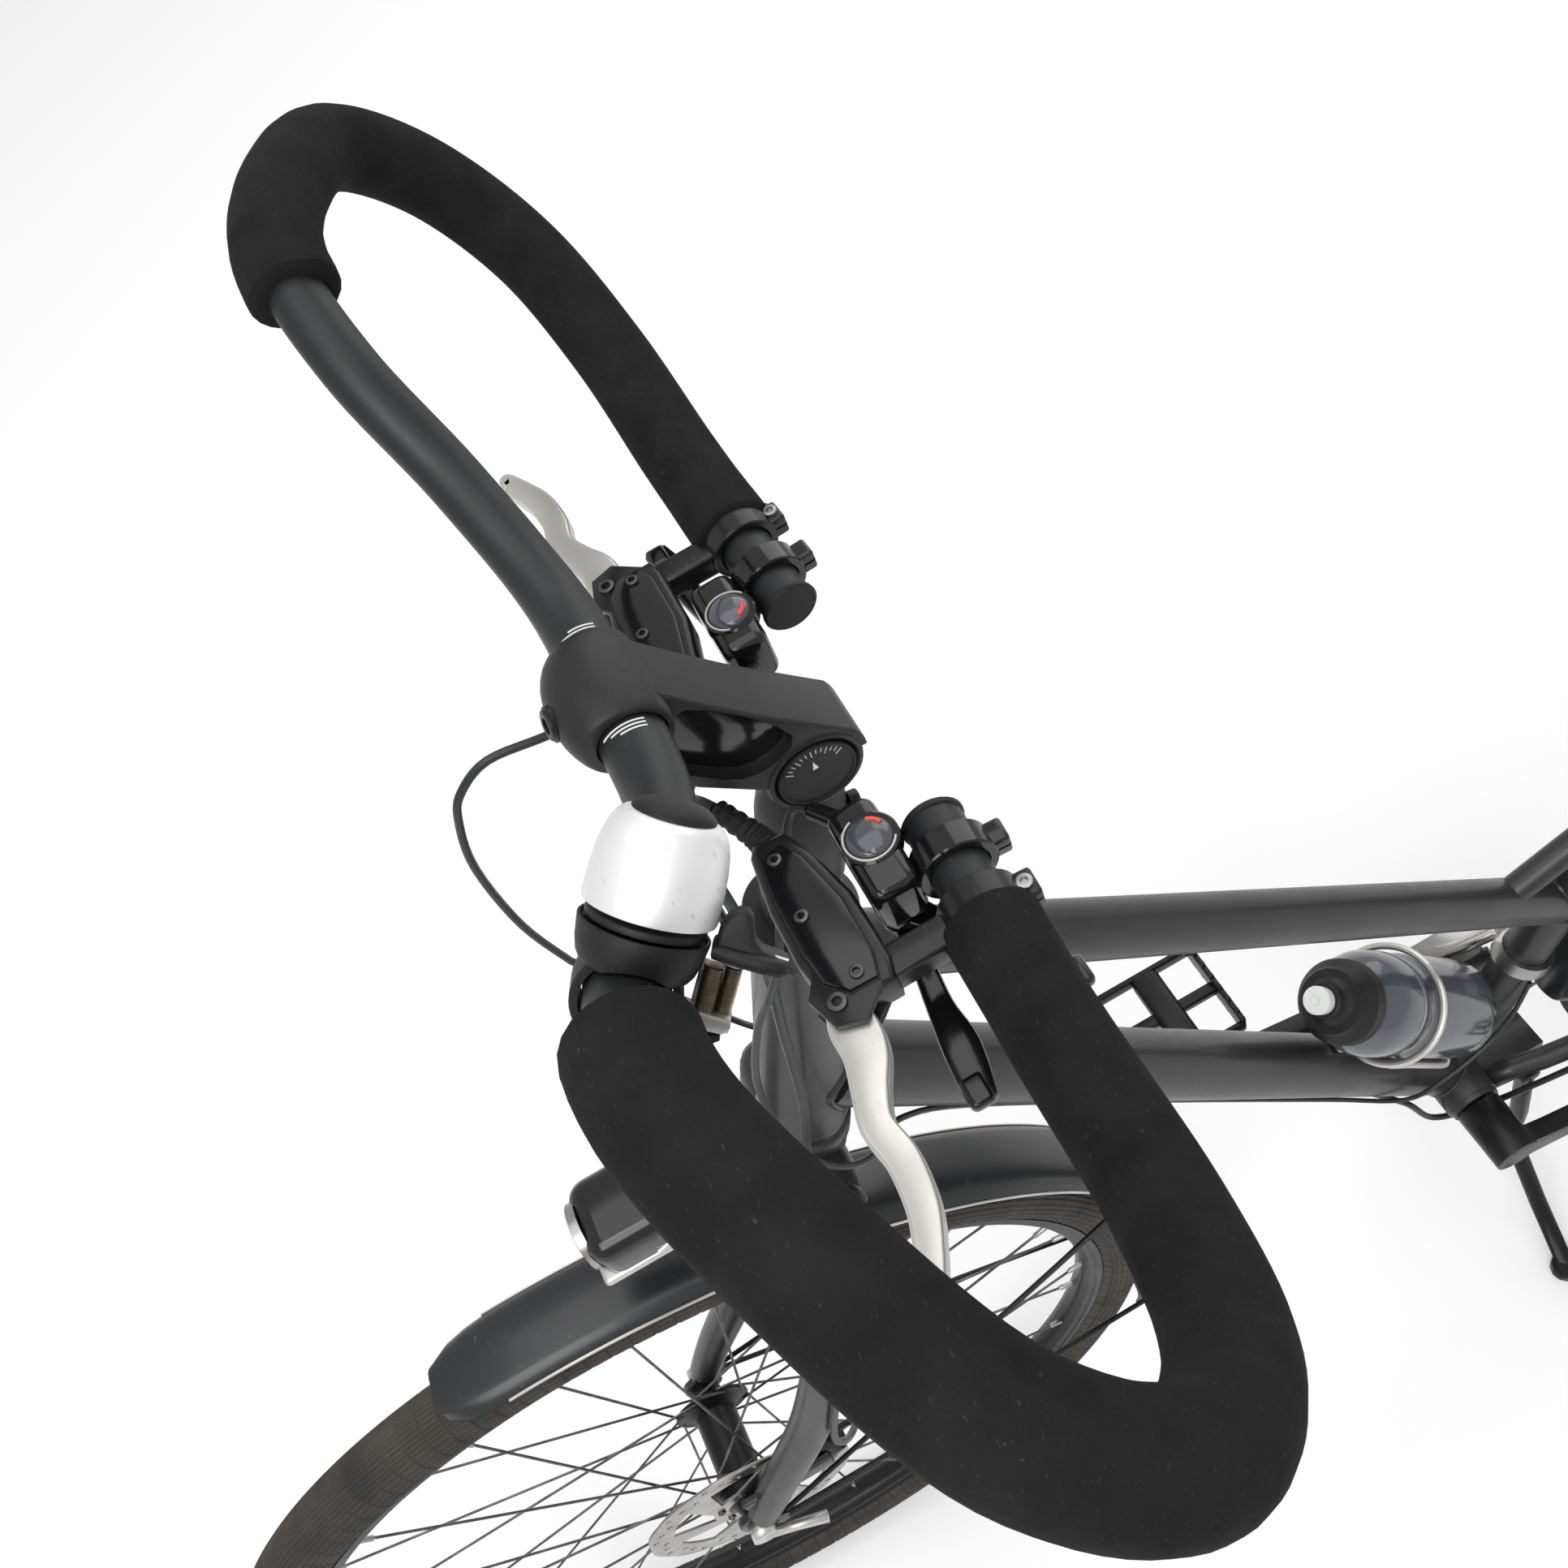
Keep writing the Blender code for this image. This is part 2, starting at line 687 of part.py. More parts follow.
def top_tube():
    """The low sloping top tube with the brace that carries on to the seat tube."""
    tube = rod(TOP_TUBE_HEAD, TOP_TUBE_SEAT, TOP_TUBE_RADIUS, 20)
    start = TOP_TUBE_SEAT - TOP_TUBE_BACK * (BRACE_AHEAD / -TOP_TUBE_BACK.x)
    end = seat_point(BRACE_SEAT_REACH)
    brace = rod(start, end, BRACE_RADIUS, 12)
    return cut(joined(tube, brace), head_cope(), seat_cope())


def down_tube():
    """The down tube, coped to the head tube and to the bottom bracket shell."""
    tube = rod(BRACKET, DOWN_TUBE_HEAD, DOWN_TUBE_RADIUS, 24)
    return cut(tube, head_cope(), shell_cope())


def seat_tube():
    """The seat tube with its clamp ring, open at the top for the seatpost."""
    tube = rod(seat_point(0), seat_point(SEAT_TUBE_LENGTH - 0.001), SEAT_TUBE_RADIUS, 24)
    ring_low = seat_point(SEAT_TUBE_LENGTH - SEAT_CLAMP_HEIGHT)
    ring = rod(ring_low, seat_point(SEAT_TUBE_LENGTH), SEAT_CLAMP_RADIUS, 24)
    lug = block(
        (0.016, 0.014, SEAT_CLAMP_HEIGHT - 0.002),
        seat_point(SEAT_TUBE_LENGTH - SEAT_CLAMP_HEIGHT / 2, -SEAT_CLAMP_RADIUS),
        SEAT_AHEAD,
        SEAT_UP,
    )
    bore = rod(
        seat_point(SEATPOST_FOOT - 0.060),
        seat_point(SEAT_TUBE_LENGTH + 0.01),
        SEATPOST_RADIUS + RUNNING_GAP,
        24,
    )
    below = BRACKET - DOWN_TUBE_UP * 0.030
    other = rod(below, DOWN_TUBE_HEAD, DOWN_TUBE_RADIUS + GAP, 20)
    return cut(joined(cut(tube, shell_cope(), other), ring, lug), bore)


STAND_PIVOT = BRACKET + Vector((-0.062, 0, -0.0440))


def bb_shell():
    """The bottom bracket shell with its cups and, behind it, the plate that carries the stand."""
    bore = SPINDLE_RADIUS + RUNNING_GAP
    profile = (
        (-CUP_END, bore),
        (-CUP_END, 0.0195),
        (-SHELL_HALF, 0.0195),
        (-SHELL_HALF, SHELL_RADIUS),
        (SHELL_HALF, SHELL_RADIUS),
        (SHELL_HALF, 0.0195),
        (CUP_END, 0.0195),
        (CUP_END, bore),
    )
    shell = turned(profile, 18, BRACKET, LEFT, ring=True)
    base = block((0.086, 0.034, 0.012), BRACKET + Vector((-0.037, 0, -0.0235)))
    lug = rod(STAND_PIVOT - LEFT * STAND_LUG_HALF, STAND_PIVOT + LEFT * STAND_LUG_HALF, 0.0145, 16)
    neck = block((0.020, 2 * STAND_LUG_HALF, 0.014), STAND_PIVOT + UP * 0.011)
    pin = rod(
        STAND_PIVOT - LEFT * 0.05,
        STAND_PIVOT + LEFT * 0.05,
        STAND_BAR_RADIUS + RUNNING_GAP,
        16,
    )
    spindle = rod(BRACKET - LEFT * 0.06, BRACKET + LEFT * 0.06, bore, 20)
    return cut(joined(shell, base, neck, lug), pin, spindle)


def kickstand():
    """A two-legged centre stand, down: its feet are just ahead of its pivot, so weight holds it open."""
    bar = rod(STAND_PIVOT - LEFT * 0.030, STAND_PIVOT + LEFT * 0.030, STAND_BAR_RADIUS, 16)
    parts = []
    for side in (1, -1):
        foot = Vector((STAND_FOOT_AT[0], side * STAND_FOOT_AT[1], 0))
        route = (
            STAND_PIVOT + LEFT * (side * 0.023),
            Vector((-0.061, side * 0.028, 0.160)),
            Vector((-0.058, side * 0.038, 0.095)),
            foot + UP * 0.010,
        )
        parts.append(pipe(smooth(route, 2), STAND_LEG_RADIUS, 8))
        parts.append(rod(foot, foot + UP * STAND_FOOT_HEIGHT, STAND_FOOT_RADIUS, 12))
    return joined(bar, *parts)


def stays(side):
    """One chain stay and one seat stay with the dropout plate that joins them at the axle."""
    chain_stay = pipe(
        smooth(
            (
                BRACKET + Vector((0, side * 0.0235, 0)),
                BRACKET + Vector((-0.040, side * 0.0275, 0.002)),
                BRACKET + Vector((-0.100, side * 0.040, 0.010)),
                REAR_AXLE + Vector((0.190, side * 0.0545, -0.035)),
                REAR_AXLE + Vector((0.034, side * STAY_SPREAD, -0.006)),
            ),
            2,
        ),
        CHAIN_STAY_RADIUS,
        10,
        (1.0, 1.0, 1.0, 1.0, 1.0, 1.0, 0.94, 0.88, 0.83),
    )
    seat_top = SEAT_TUBE_LENGTH - SEAT_CLAMP_HEIGHT - 0.020
    seat_stay = pipe(
        smooth(
            (
                seat_point(seat_top, -0.004, side * 0.0120),
                seat_point(seat_top - 0.030, -0.036, side * 0.034),
                seat_point(seat_top - 0.175, -0.093, side * 0.044),
                REAR_AXLE + Vector((0.018, side * STAY_SPREAD, 0.035)),
            ),
            3,
        ),
        SEAT_STAY_RADIUS,
        8,
    )
    foot = ((-0.008, -0.019),) if side > 0 else ((-0.016, -0.038), (0.008, -0.040), (0.013, -0.017))
    outline = (
        (-0.020, -0.004),
        *foot,
        (0.040, -0.016),
        (0.042, 0.003),
        (0.026, 0.042),
        (0.010, 0.044),
        (-0.020, 0.010),
    )
    inner = REAR_HUB_HALF + RUNNING_GAP
    dropout = plate(
        [(x, -z) for x, z in outline],
        inner,
        inner + DROPOUT_THICKNESS,
        REAR_AXLE,
        AHEAD,
        LEFT,
    )
    if side < 0:
        dropout = mirrored(dropout)
    hole = rod(REAR_AXLE - LEFT * 0.1, REAR_AXLE + LEFT * 0.1, AXLE_RADIUS + RUNNING_GAP, 16)
    return cut(joined(chain_stay, seat_stay, dropout), hole, seat_cope(), shell_cope())


def fender_section(axle, angle, half, lip, wall):
    """One loop of a fender's thin rounded section, at an angle round its axle."""
    outer = (
        (half, FENDER_RADIUS - lip),
        (half, FENDER_RADIUS - 0.004),
        (half * 0.60, FENDER_RADIUS - 0.0008),
        (-half * 0.60, FENDER_RADIUS - 0.0008),
        (-half, FENDER_RADIUS - 0.004),
        (-half, FENDER_RADIUS - lip),
    )
    inner = (
        (-half + wall, FENDER_RADIUS - lip),
        (-half + wall, FENDER_RADIUS - 0.0045),
        (-half * 0.60, FENDER_RADIUS - 0.0008 - wall),
        (half * 0.60, FENDER_RADIUS - 0.0008 - wall),
        (half - wall, FENDER_RADIUS - 0.0045),
        (half - wall, FENDER_RADIUS - lip),
    )
    return [around(axle, radius, angle, left) for left, radius in outer + inner]


def fender_blade(axle, start, end):
    """The curved blade of a fender from one angle to another."""
    steps = ceil((end - start) / STEP_ANGLE)
    angles = [start + (end - start) * step / steps for step in range(steps + 1)]
    halves = [FENDER_HALF * (0.86 if step in (0, steps) else 1.0) for step in range(steps + 1)]
    sections = [
        fender_section(axle, angle, half, FENDER_LIP, FENDER_WALL)
        for angle, half in zip(angles, halves)
    ]
    return loft(sections)


def fender_stay(axle, angle, side, foot):
    """A thin rod from the edge of a fender to beside the dropout."""
    top = around(axle, FENDER_RADIUS - FENDER_LIP / 2, angle, side * (FENDER_HALF - 0.0006))
    knee = top.lerp(foot, 0.06) + LEFT * side * 0.006
    return pipe((top, knee, foot), FENDER_STAY_RADIUS, 6)


FRONT_FENDER_START = radians(80)
FRONT_FENDER_END = radians(206)
REAR_FENDER_START = radians(-4)
REAR_FENDER_END = radians(192)
CROWN_ALONG = FORK_LENGTH - CROWN_RADIUS - 0.0015
CROWN = steer_point(CROWN_ALONG)
CROWN_DIRECTION = atan2(CROWN.z - FRONT_AXLE.z, CROWN.x - FRONT_AXLE.x)


def front_fender():
    """The front fender, its bracket under the fork crown and its two pairs of stays."""
    blade = fender_blade(FRONT_AXLE, FRONT_FENDER_START, FRONT_FENDER_END)
    direction = around(Vector(), 1, CROWN_DIRECTION)
    low = FENDER_RADIUS - 0.0015
    high = (CROWN - FRONT_AXLE).length - CROWN_RADIUS - 2 * GAP
    bracket = block(
        (0.004, 0.020, high - low),
        FRONT_AXLE + direction * (low + high) / 2,
        around(Vector(), 1, CROWN_DIRECTION - pi / 2),
        direction,
    )
    left_of_dropout = FRONT_HUB_HALF + RUNNING_GAP + 0.006 + 0.0032
    parts = [bracket]
    for side in (1, -1):
        for angle, foot in ((radians(196), radians(205)), (radians(158), radians(175))):
            end = around(FRONT_AXLE, 0.0170, foot, side * left_of_dropout)
            parts.append(fender_stay(FRONT_AXLE, angle, side, end))
    return joined(blade, *parts)


def rear_fender():
    """The rear fender with its stays."""
    blade = fender_blade(REAR_AXLE, REAR_FENDER_START, REAR_FENDER_END)
    left_of_dropout = REAR_HUB_HALF + RUNNING_GAP + DROPOUT_THICKNESS + 0.0042
    parts = []
    for side in (1, -1):
        for angle, foot in ((radians(172), radians(172)), (radians(135), radians(140))):
            end = around(REAR_AXLE, 0.0165, foot, side * left_of_dropout)
            parts.append(fender_stay(REAR_AXLE, angle, side, end))
    return joined(blade, *parts)


def caliper_shape(axle, angle, rotor_at, inner, outer, depth=0.0345):
    """A disc brake caliper that straddles its rotor, at an angle round the axle."""
    direction = around(Vector(), 1, angle)
    middle = (inner + outer) / 2
    low, high = ROTOR_RADIUS - depth, ROTOR_RADIUS + 0.0125
    body = block(
        (0.036, outer - inner, high - low),
        axle + direction * (low + high) / 2 + LEFT * middle,
        around(Vector(), 1, angle - pi / 2),
        direction,
        bevel=0.004,
        segments=1,
    )
    slot_top = ROTOR_RADIUS + 0.0025
    slot_low = low - 0.013
    slot = block(
        (0.06, ROTOR_THICKNESS + 0.0022, slot_top - slot_low),
        axle + direction * (slot_top + slot_low) / 2 + LEFT * rotor_at,
        around(Vector(), 1, angle - pi / 2),
        direction,
    )
    return cut(body, slot)


FRONT_CALIPER_ANGLE = radians(150)
REAR_CALIPER_ANGLE = radians(22)


def front_caliper():
    """The front caliper, behind the left fork blade."""
    return caliper_shape(
        FRONT_AXLE, FRONT_CALIPER_ANGLE, FRONT_ROTOR_AT, 0.0285, FORK_TAB_INNER - GAP, 0.030
    )


def rear_caliper():
    """The rear caliper between the left stays, with the foot that stands on the chain stay."""
    body = caliper_shape(REAR_AXLE, REAR_CALIPER_ANGLE, REAR_ROTOR_AT, 0.0375, 0.0600)
    foot = block((0.016, 0.0070, 0.020), REAR_AXLE + Vector((0.066, 0.0565, 0.009)))
    return joined(body, foot)


def fork():
    """The fork: steerer, crown, two curved blades and dropouts, with the tab for the caliper."""
    column = (
        (CROWN_ALONG, 0),
        (CROWN_ALONG, 0.0245),
        (FORK_LENGTH - GAP, 0.0245),
        (FORK_LENGTH - GAP, STEERER_RADIUS),
        (HEAD_TOP + 0.032, STEERER_RADIUS),
        (HEAD_TOP + 0.032, 0),
    )
    steerer = turned(column, 16, STEER_FOOT, STEER_UP)
    crown = rod(
        steer_point(CROWN_ALONG, 0, -BLADE_SPREAD),
        steer_point(CROWN_ALONG, 0, BLADE_SPREAD),
        CROWN_RADIUS,
        12,
    )
    parts = [crown]
    inner = FRONT_HUB_HALF + RUNNING_GAP
    blade_foot = steer_point(0.018, FORK_RAKE - 0.0035)
    blade_up = (steer_point(0.07, 0.044) - blade_foot).normalized()
    for side in (1, -1):
        route = (
            steer_point(CROWN_ALONG, 0, side * BLADE_SPREAD),
            steer_point(CROWN_ALONG * 0.68, 0.004, side * (BLADE_SPREAD + 0.004)),
            steer_point(CROWN_ALONG * 0.38, 0.018, side * (BLADE_SPREAD + 0.008)),
            steer_point(0.070, 0.044, side * (BLADE_SPREAD + 0.0095)),
            blade_foot + LEFT * side * (BLADE_SPREAD + 0.0095),
        )
        widths = (1.0, 1.0, 1.0, 1.0, 0.94, 0.87, 0.80, 0.76, 0.73)
        parts.append(pipe(smooth(route, 2), BLADE_TOP_RADIUS, 10, widths))
        tongue = block(
            (0.022, 0.0052, 0.050),
            FRONT_AXLE + blade_up * 0.022 + LEFT * side * (inner + 0.003),
            STEER_AHEAD,
            blade_up,
            bevel=0.002,
            segments=1,
        )
        eye_start = FRONT_AXLE + LEFT * side * inner
        parts.append(rod(eye_start, eye_start + LEFT * side * 0.006, 0.0150, 12))
        parts.append(tongue)
    direction = around(Vector(), 1, FRONT_CALIPER_ANGLE)
    tab_centre = FRONT_AXLE + direction * 0.060 + LEFT * (FORK_TAB_INNER + 0.003)
    tab = block((0.070, 0.006, 0.018), tab_centre + Vector((0.014, 0, 0.013)))
    hole = rod(FRONT_AXLE - LEFT * 0.1, FRONT_AXLE + LEFT * 0.1, AXLE_RADIUS + RUNNING_GAP, 16)
    return cut(joined(steerer, *parts, tab), hole)


LAMP_AT = CROWN + Vector((0.094, 0, 0.0265))


def headlight():
    """The headlight, with the bracket that reaches back to the front of the crown."""
    body = block((LAMP_LENGTH, LAMP_WIDTH, LAMP_HEIGHT), LAMP_AT, bevel=0.010)
    start = CROWN + AHEAD * (CROWN_RADIUS + 2 * GAP)
    end = LAMP_AT + Vector((-LAMP_LENGTH * 0.3, 0, -LAMP_HEIGHT * 0.3))
    arm = end - start
    bracket = block(
        (0.005, 0.018, arm.length),
        (start + end) / 2,
        LEFT.cross(arm),
        arm,
    )
    trim = block(
        (0.030, 0.10, 0.06),
        start - AHEAD * 0.015,
    )
    return joined(body, cut(bracket, trim))


def stem_post():
    """The spacers and the lower half of the stem, up to the barrel that the arm turns on."""
    low = HEAD_TOP + RUNNING_GAP
    profile = (
        (low, 0),
        (low, SPACER_RADIUS),
        (low + 0.026, SPACER_RADIUS),
        (low + 0.028, POST_RADIUS),
        (PIVOT_AT - 0.028, POST_RADIUS),
        (PIVOT_AT - 0.018, BARREL_HALF - 0.0010),
        (PIVOT_AT, BARREL_HALF - 0.0025),
        (PIVOT_AT, 0),
    )
    post = turned(profile, 16, STEER_FOOT, STEER_UP)
    half = BARREL_HALF
    barrel = rod(STEM_PIVOT - LEFT * half, STEM_PIVOT + LEFT * half, BARREL_RADIUS, 24)
    socket = rod(
        steer_point(low - 0.01), steer_point(HEAD_TOP + 0.033), STEERER_RADIUS + GAP * 2, 20
    )
    bolt_room = (
        (-2 * half, 0),
        (-2 * half, PIVOT_PIN_RADIUS + RUNNING_GAP),
        (half - 0.0030, PIVOT_PIN_RADIUS + RUNNING_GAP),
        (half - 0.0030, DIAL_RADIUS + RUNNING_GAP),
        (2 * half, DIAL_RADIUS + RUNNING_GAP),
        (2 * half, 0),
    )
    return cut(joined(post, barrel), socket, turned(bolt_room, 20, STEM_PIVOT))


def stem_dial():
    """The pivot bolt of the stem, whose round face on the left carries the angle scale."""
    profile = (
        (-BARREL_HALF - 0.0045, 0),
        (-BARREL_HALF - 0.0045, 0.0095),
        (-BARREL_HALF - GAP, 0.0095),
        (-BARREL_HALF - GAP, PIVOT_PIN_RADIUS),
        (BARREL_HALF - 0.0027, PIVOT_PIN_RADIUS),
        (BARREL_HALF - 0.0027, DIAL_RADIUS),
        (BARREL_HALF + 0.0006, DIAL_RADIUS),
        (BARREL_HALF + 0.0006, 0),
    )
    return turned(profile, 24, STEM_PIVOT)


def stem_arm():
    """The stem's arm: a hood that wraps the barrel and widens into the clamp of the handlebar."""
    hood_outer = BARREL_RADIUS + RUNNING_GAP + HOOD_WALL
    hood_inner = BARREL_RADIUS + RUNNING_GAP
    outline = []
    for step in range(7):
        angle = radians(125 - step * 35 / 6)
        outline.append((hood_outer * cos(angle), hood_outer * sin(angle)))
    for step in range(9):
        angle = radians(90 - step * 22.5)
        outline.append((STEM_REACH + CLAMP_RADIUS * cos(angle), CLAMP_RADIUS * sin(angle)))
    for step in range(14):
        angle = radians(-52 + step * 177 / 13)
        outline.append((hood_inner * cos(angle), hood_inner * sin(angle)))
    arm = plate(outline, -CLAMP_HALF, CLAMP_HALF, STEM_PIVOT, STEM_AHEAD, -LEFT)
    narrow = (BARREL_HALF + 0.0015) / CLAMP_HALF
    for corner in arm.vertices:
        along = (corner.co - STEM_PIVOT).dot(STEM_AHEAD)
        share = min(max((along - 0.020) / (STEM_REACH - 0.020 - CLAMP_RADIUS), 0), 1)
        corner.co.y *= narrow + (1 - narrow) * share
    bore = rod(
        BAR_CLAMP - LEFT * 0.05, BAR_CLAMP + LEFT * 0.05, BAR_CENTRE_RADIUS + 2 * RUNNING_GAP, 20
    )
    pockets = []
    for side in (1, -1):
        centre = STEM_PIVOT + STEM_AHEAD * 0.049 - STEM_RISE * 0.003 + LEFT * side * 0.0175
        pockets.append(block((0.036, 0.014, 0.024), centre, STEM_AHEAD, STEM_RISE, bevel=0.003))
    return cut(arm, bore, *pockets)


def bar_curve():
    """The middle line of the handlebar from the left bar end to the right one."""
    half = smooth([bar_point(*point) for point in BAR_ROUTE], BAR_STEPS)
    other = [Vector((point.x, -point.y, point.z)) for point in half]
    return half[::-1] + other[1:]


def bar_radius(left):
    """The radius of the handlebar, which swells towards the stem."""
    share = min(max((abs(left) - CLAMP_HALF) / 0.045, 0), 1)
    return BAR_CENTRE_RADIUS + (BAR_RADIUS - BAR_CENTRE_RADIUS) * share


def handlebar():
    """The handlebar, one tube bent into a loop on each side."""
    curve = bar_curve()
    scales = [bar_radius(point.y) / BAR_RADIUS for point in curve]
    return pipe(curve, BAR_RADIUS, BAR_SIDES, scales)


def foam_grip():
    """The left foam sleeve round the outer loop of the handlebar."""
    half = bar_curve()[: len(BAR_ROUTE) * BAR_STEPS - BAR_STEPS + 1][::-1]
    covered = half[FOAM_FIRST : FOAM_LAST + 1]
    start = covered[0] + (covered[0] - covered[1]).normalized() * 0.006
    end = covered[-1] + (covered[-1] - covered[-2]).normalized() * 0.006
    sleeve = pipe(covered, FOAM_RADIUS, FOAM_SIDES)
    return cut(sleeve, pipe([start, *covered, end], FOAM_BORE, FOAM_BORE_SIDES))


def on_rear_arm(left):
    """The point and the outward direction of the left rear arm at a distance from the mid-plane."""
    curve = bar_curve()
    for first, second in zip(curve, curve[1:]):
        if first.y <= left <= second.y:
            share = (left - first.y) / (second.y - first.y)
            return first.lerp(second, share), (second - first).normalized()
    raise ValueError("the rear arm does not reach that far")


def on_front_arm(left):
    """The point and the outward direction of the left front arm at a distance from the mid-plane."""
    curve = bar_curve()
    for first, second in zip(curve, curve[1:]):
        if first.y > left >= second.y:
            share = (first.y - left) / (first.y - second.y)
            return first.lerp(second, share), (first - second).normalized()
    raise ValueError("the front arm does not reach that far")


CONTROL = on_rear_arm(BRAKE_CLAMP_AT - 0.0035)[0]


def control_point(ahead, out, up=0.0):
    """A point measured from the brake clamp of the left rear arm."""
    return CONTROL + Vector((ahead, out, up))


def band(left, half):
    """A clamp band round the left rear arm."""
    centre, along = on_rear_arm(left)
    profile = ((-half, BAND_BORE), (-half, BAND_RADIUS), (half, BAND_RADIUS), (half, BAND_BORE))
    return turned(profile, BAND_SIDES, centre, along, ring=True)


def arm_cope(left):
    """The room round the left rear arm that a clamped body leaves free."""
    centre, along = on_rear_arm(left)
    return rod(centre - along * 0.1, centre + along * 0.1, BAND_BORE, BAND_SIDES)


def brake_body():
    """The left brake lever's clamp, master cylinder, hose boot and the lugs that hold its blade."""
    bridge = block((0.030, 0.013, 0.012), control_point(0.026, 0.0045))
    tank = block((0.026, 0.026, 0.0165), control_point(0.048, -0.012), bevel=0.004, segments=1)
    cylinder = pipe(
        [control_point(0.0485, 0), control_point(0.050, -0.030), control_point(0.052, -0.060)],
        0.0092,
        10,
        (1, 1, 0.80),
    )
    boot = pipe(
        [control_point(0.0515, -0.056), control_point(0.0555, -0.072), control_point(0.062, -0.088)],
        0.0052,
        8,
        (1.1, 0.95, 0.72),
    )
    lugs = plate(
        ((0.038, -0.002), (0.060, -0.006), (0.0665, 0.004), (0.061, 0.019), (0.050, 0.021), (0.040, 0.011)),
        -LUG_HALF,
        LUG_HALF,
        CONTROL,
    )
    slot = block(
        (0.060, 0.034, 2 * (BLADE_HALF + RUNNING_GAP)), control_point(0.062, 0.019, 0)
    )
    body = cut(joined(bridge, tank, cylinder, boot, lugs), slot, arm_cope(BRAKE_CLAMP_AT))
    pin_at = control_point(*BLADE_PIVOT)
    pin = rod(pin_at - UP * (LUG_HALF - 0.001), pin_at + UP * (LUG_HALF - 0.001), BLADE_PIN_RADIUS, 12)
    return joined(body, pin, band(BRAKE_CLAMP_AT, 0.0062))


def brake_blade():
    """The left brake lever's blade, which swings on the pin between the lugs."""
    route = (
        (0.0575, 0.0062),
        (0.0575, 0.016),
        (0.0580, 0.028),
        (0.0625, 0.040),
        (0.0660, 0.052),
        (0.0640, 0.066),
        (0.0655, 0.082),
        (0.0700, 0.095),
        (0.0740, 0.106),
    )
    widths = (0.008, 0.013, 0.0125, 0.0095, 0.0095, 0.0105, 0.010, 0.0095, 0.007)
    strip = plate(ribbon(route, widths), -BLADE_HALF, BLADE_HALF, CONTROL)
    pivot = control_point(*BLADE_PIVOT)
    bore = rod(pivot - UP * 0.02, pivot + UP * 0.02, BLADE_PIN_RADIUS + RUNNING_GAP, 12)
    return cut(strip, bore)


def shifter():
    """The left shifter: clamp, pod with its window, cable exit and the post of its two levers."""
    pod = block((0.0185, 0.042, 0.026), control_point(0.0218, -0.036, -0.0025), bevel=0.003, segments=1)
    dome = ((0, 0), (0, 0.0105), (0.003, 0.010), (0.0055, 0.007), (0.0055, 0))
    window = turned(dome, 16, control_point(0.0205, -0.038, 0.0095), UP)
    exit_tube = pipe(
        [control_point(0.0225, -0.053, -0.004), control_point(0.0270, -0.062, -0.004),
         control_point(0.0325, -0.0705, -0.004)],
        0.0042,
        8,
        (1, 1, 0.8),
    )
    x, y = LEVER_POST_AT
    top, low = -0.012, THUMB_BOTTOM - 0.0022
    bolt = (
        (0, 0),
        (0, LEVER_POST_RADIUS),
        (top - THUMB_BOTTOM + RUNNING_GAP, LEVER_POST_RADIUS),
        (top - THUMB_BOTTOM + RUNNING_GAP, 0.0062),
        (top - low, 0.0062),
        (top - low, 0),
    )
    post = turned(bolt, 12, control_point(x, y, top), -UP)
    body = cut(joined(pod, window, exit_tube, post), arm_cope(SHIFTER_CLAMP_AT))
    return joined(body, band(SHIFTER_CLAMP_AT, 0.0055))


def shift_lever(route, widths, bottom):
    """A flat shift lever with an eye that turns on the shifter's post."""
    x, y = LEVER_POST_AT
    strip = plate(ribbon(route, widths), bottom, bottom + SHIFT_LEVER_THICKNESS, CONTROL)
    start = control_point(x, y, bottom)
    end = control_point(x, y, bottom + SHIFT_LEVER_THICKNESS)
    eye = rod(start, end, 0.0090, 16)
    hole = rod(start - UP * 0.01, end + UP * 0.01, LEVER_POST_RADIUS + RUNNING_GAP, 16)
    return cut(joined(strip, eye), hole)


def thumb_lever():
    """The large lever pushed forward by the thumb."""
    x, y = LEVER_POST_AT
    route = ((x, y), (0.025, -0.008), (0.028, 0.012), (0.029, 0.030), (0.032, 0.050))
    return shift_lever(route, (0.012, 0.009, 0.010, 0.014, 0.011), THUMB_BOTTOM)


def trigger_lever():
    """The small release lever behind the handlebar."""
    x, y = LEVER_POST_AT
    route = ((x, y), (0.008, -0.006), (-0.006, 0.012), (-0.017, 0.034))
    return shift_lever(route, (0.012, 0.008, 0.008, 0.010), TRIGGER_BOTTOM)


BELL_SEAT, BELL_TANGENT = on_front_arm(BELL_AT)
BELL_UP = Vector((-0.695, -0.454, 0.558)).normalized()
BELL_LEVER_WAY = Vector((-0.869, 0.412, -0.274))
BELL_LEVER_WAY = (BELL_LEVER_WAY - BELL_UP * BELL_LEVER_WAY.dot(BELL_UP)).normalized()
BELL_DECK = 0.0174
BELL_LIP = 0.0216


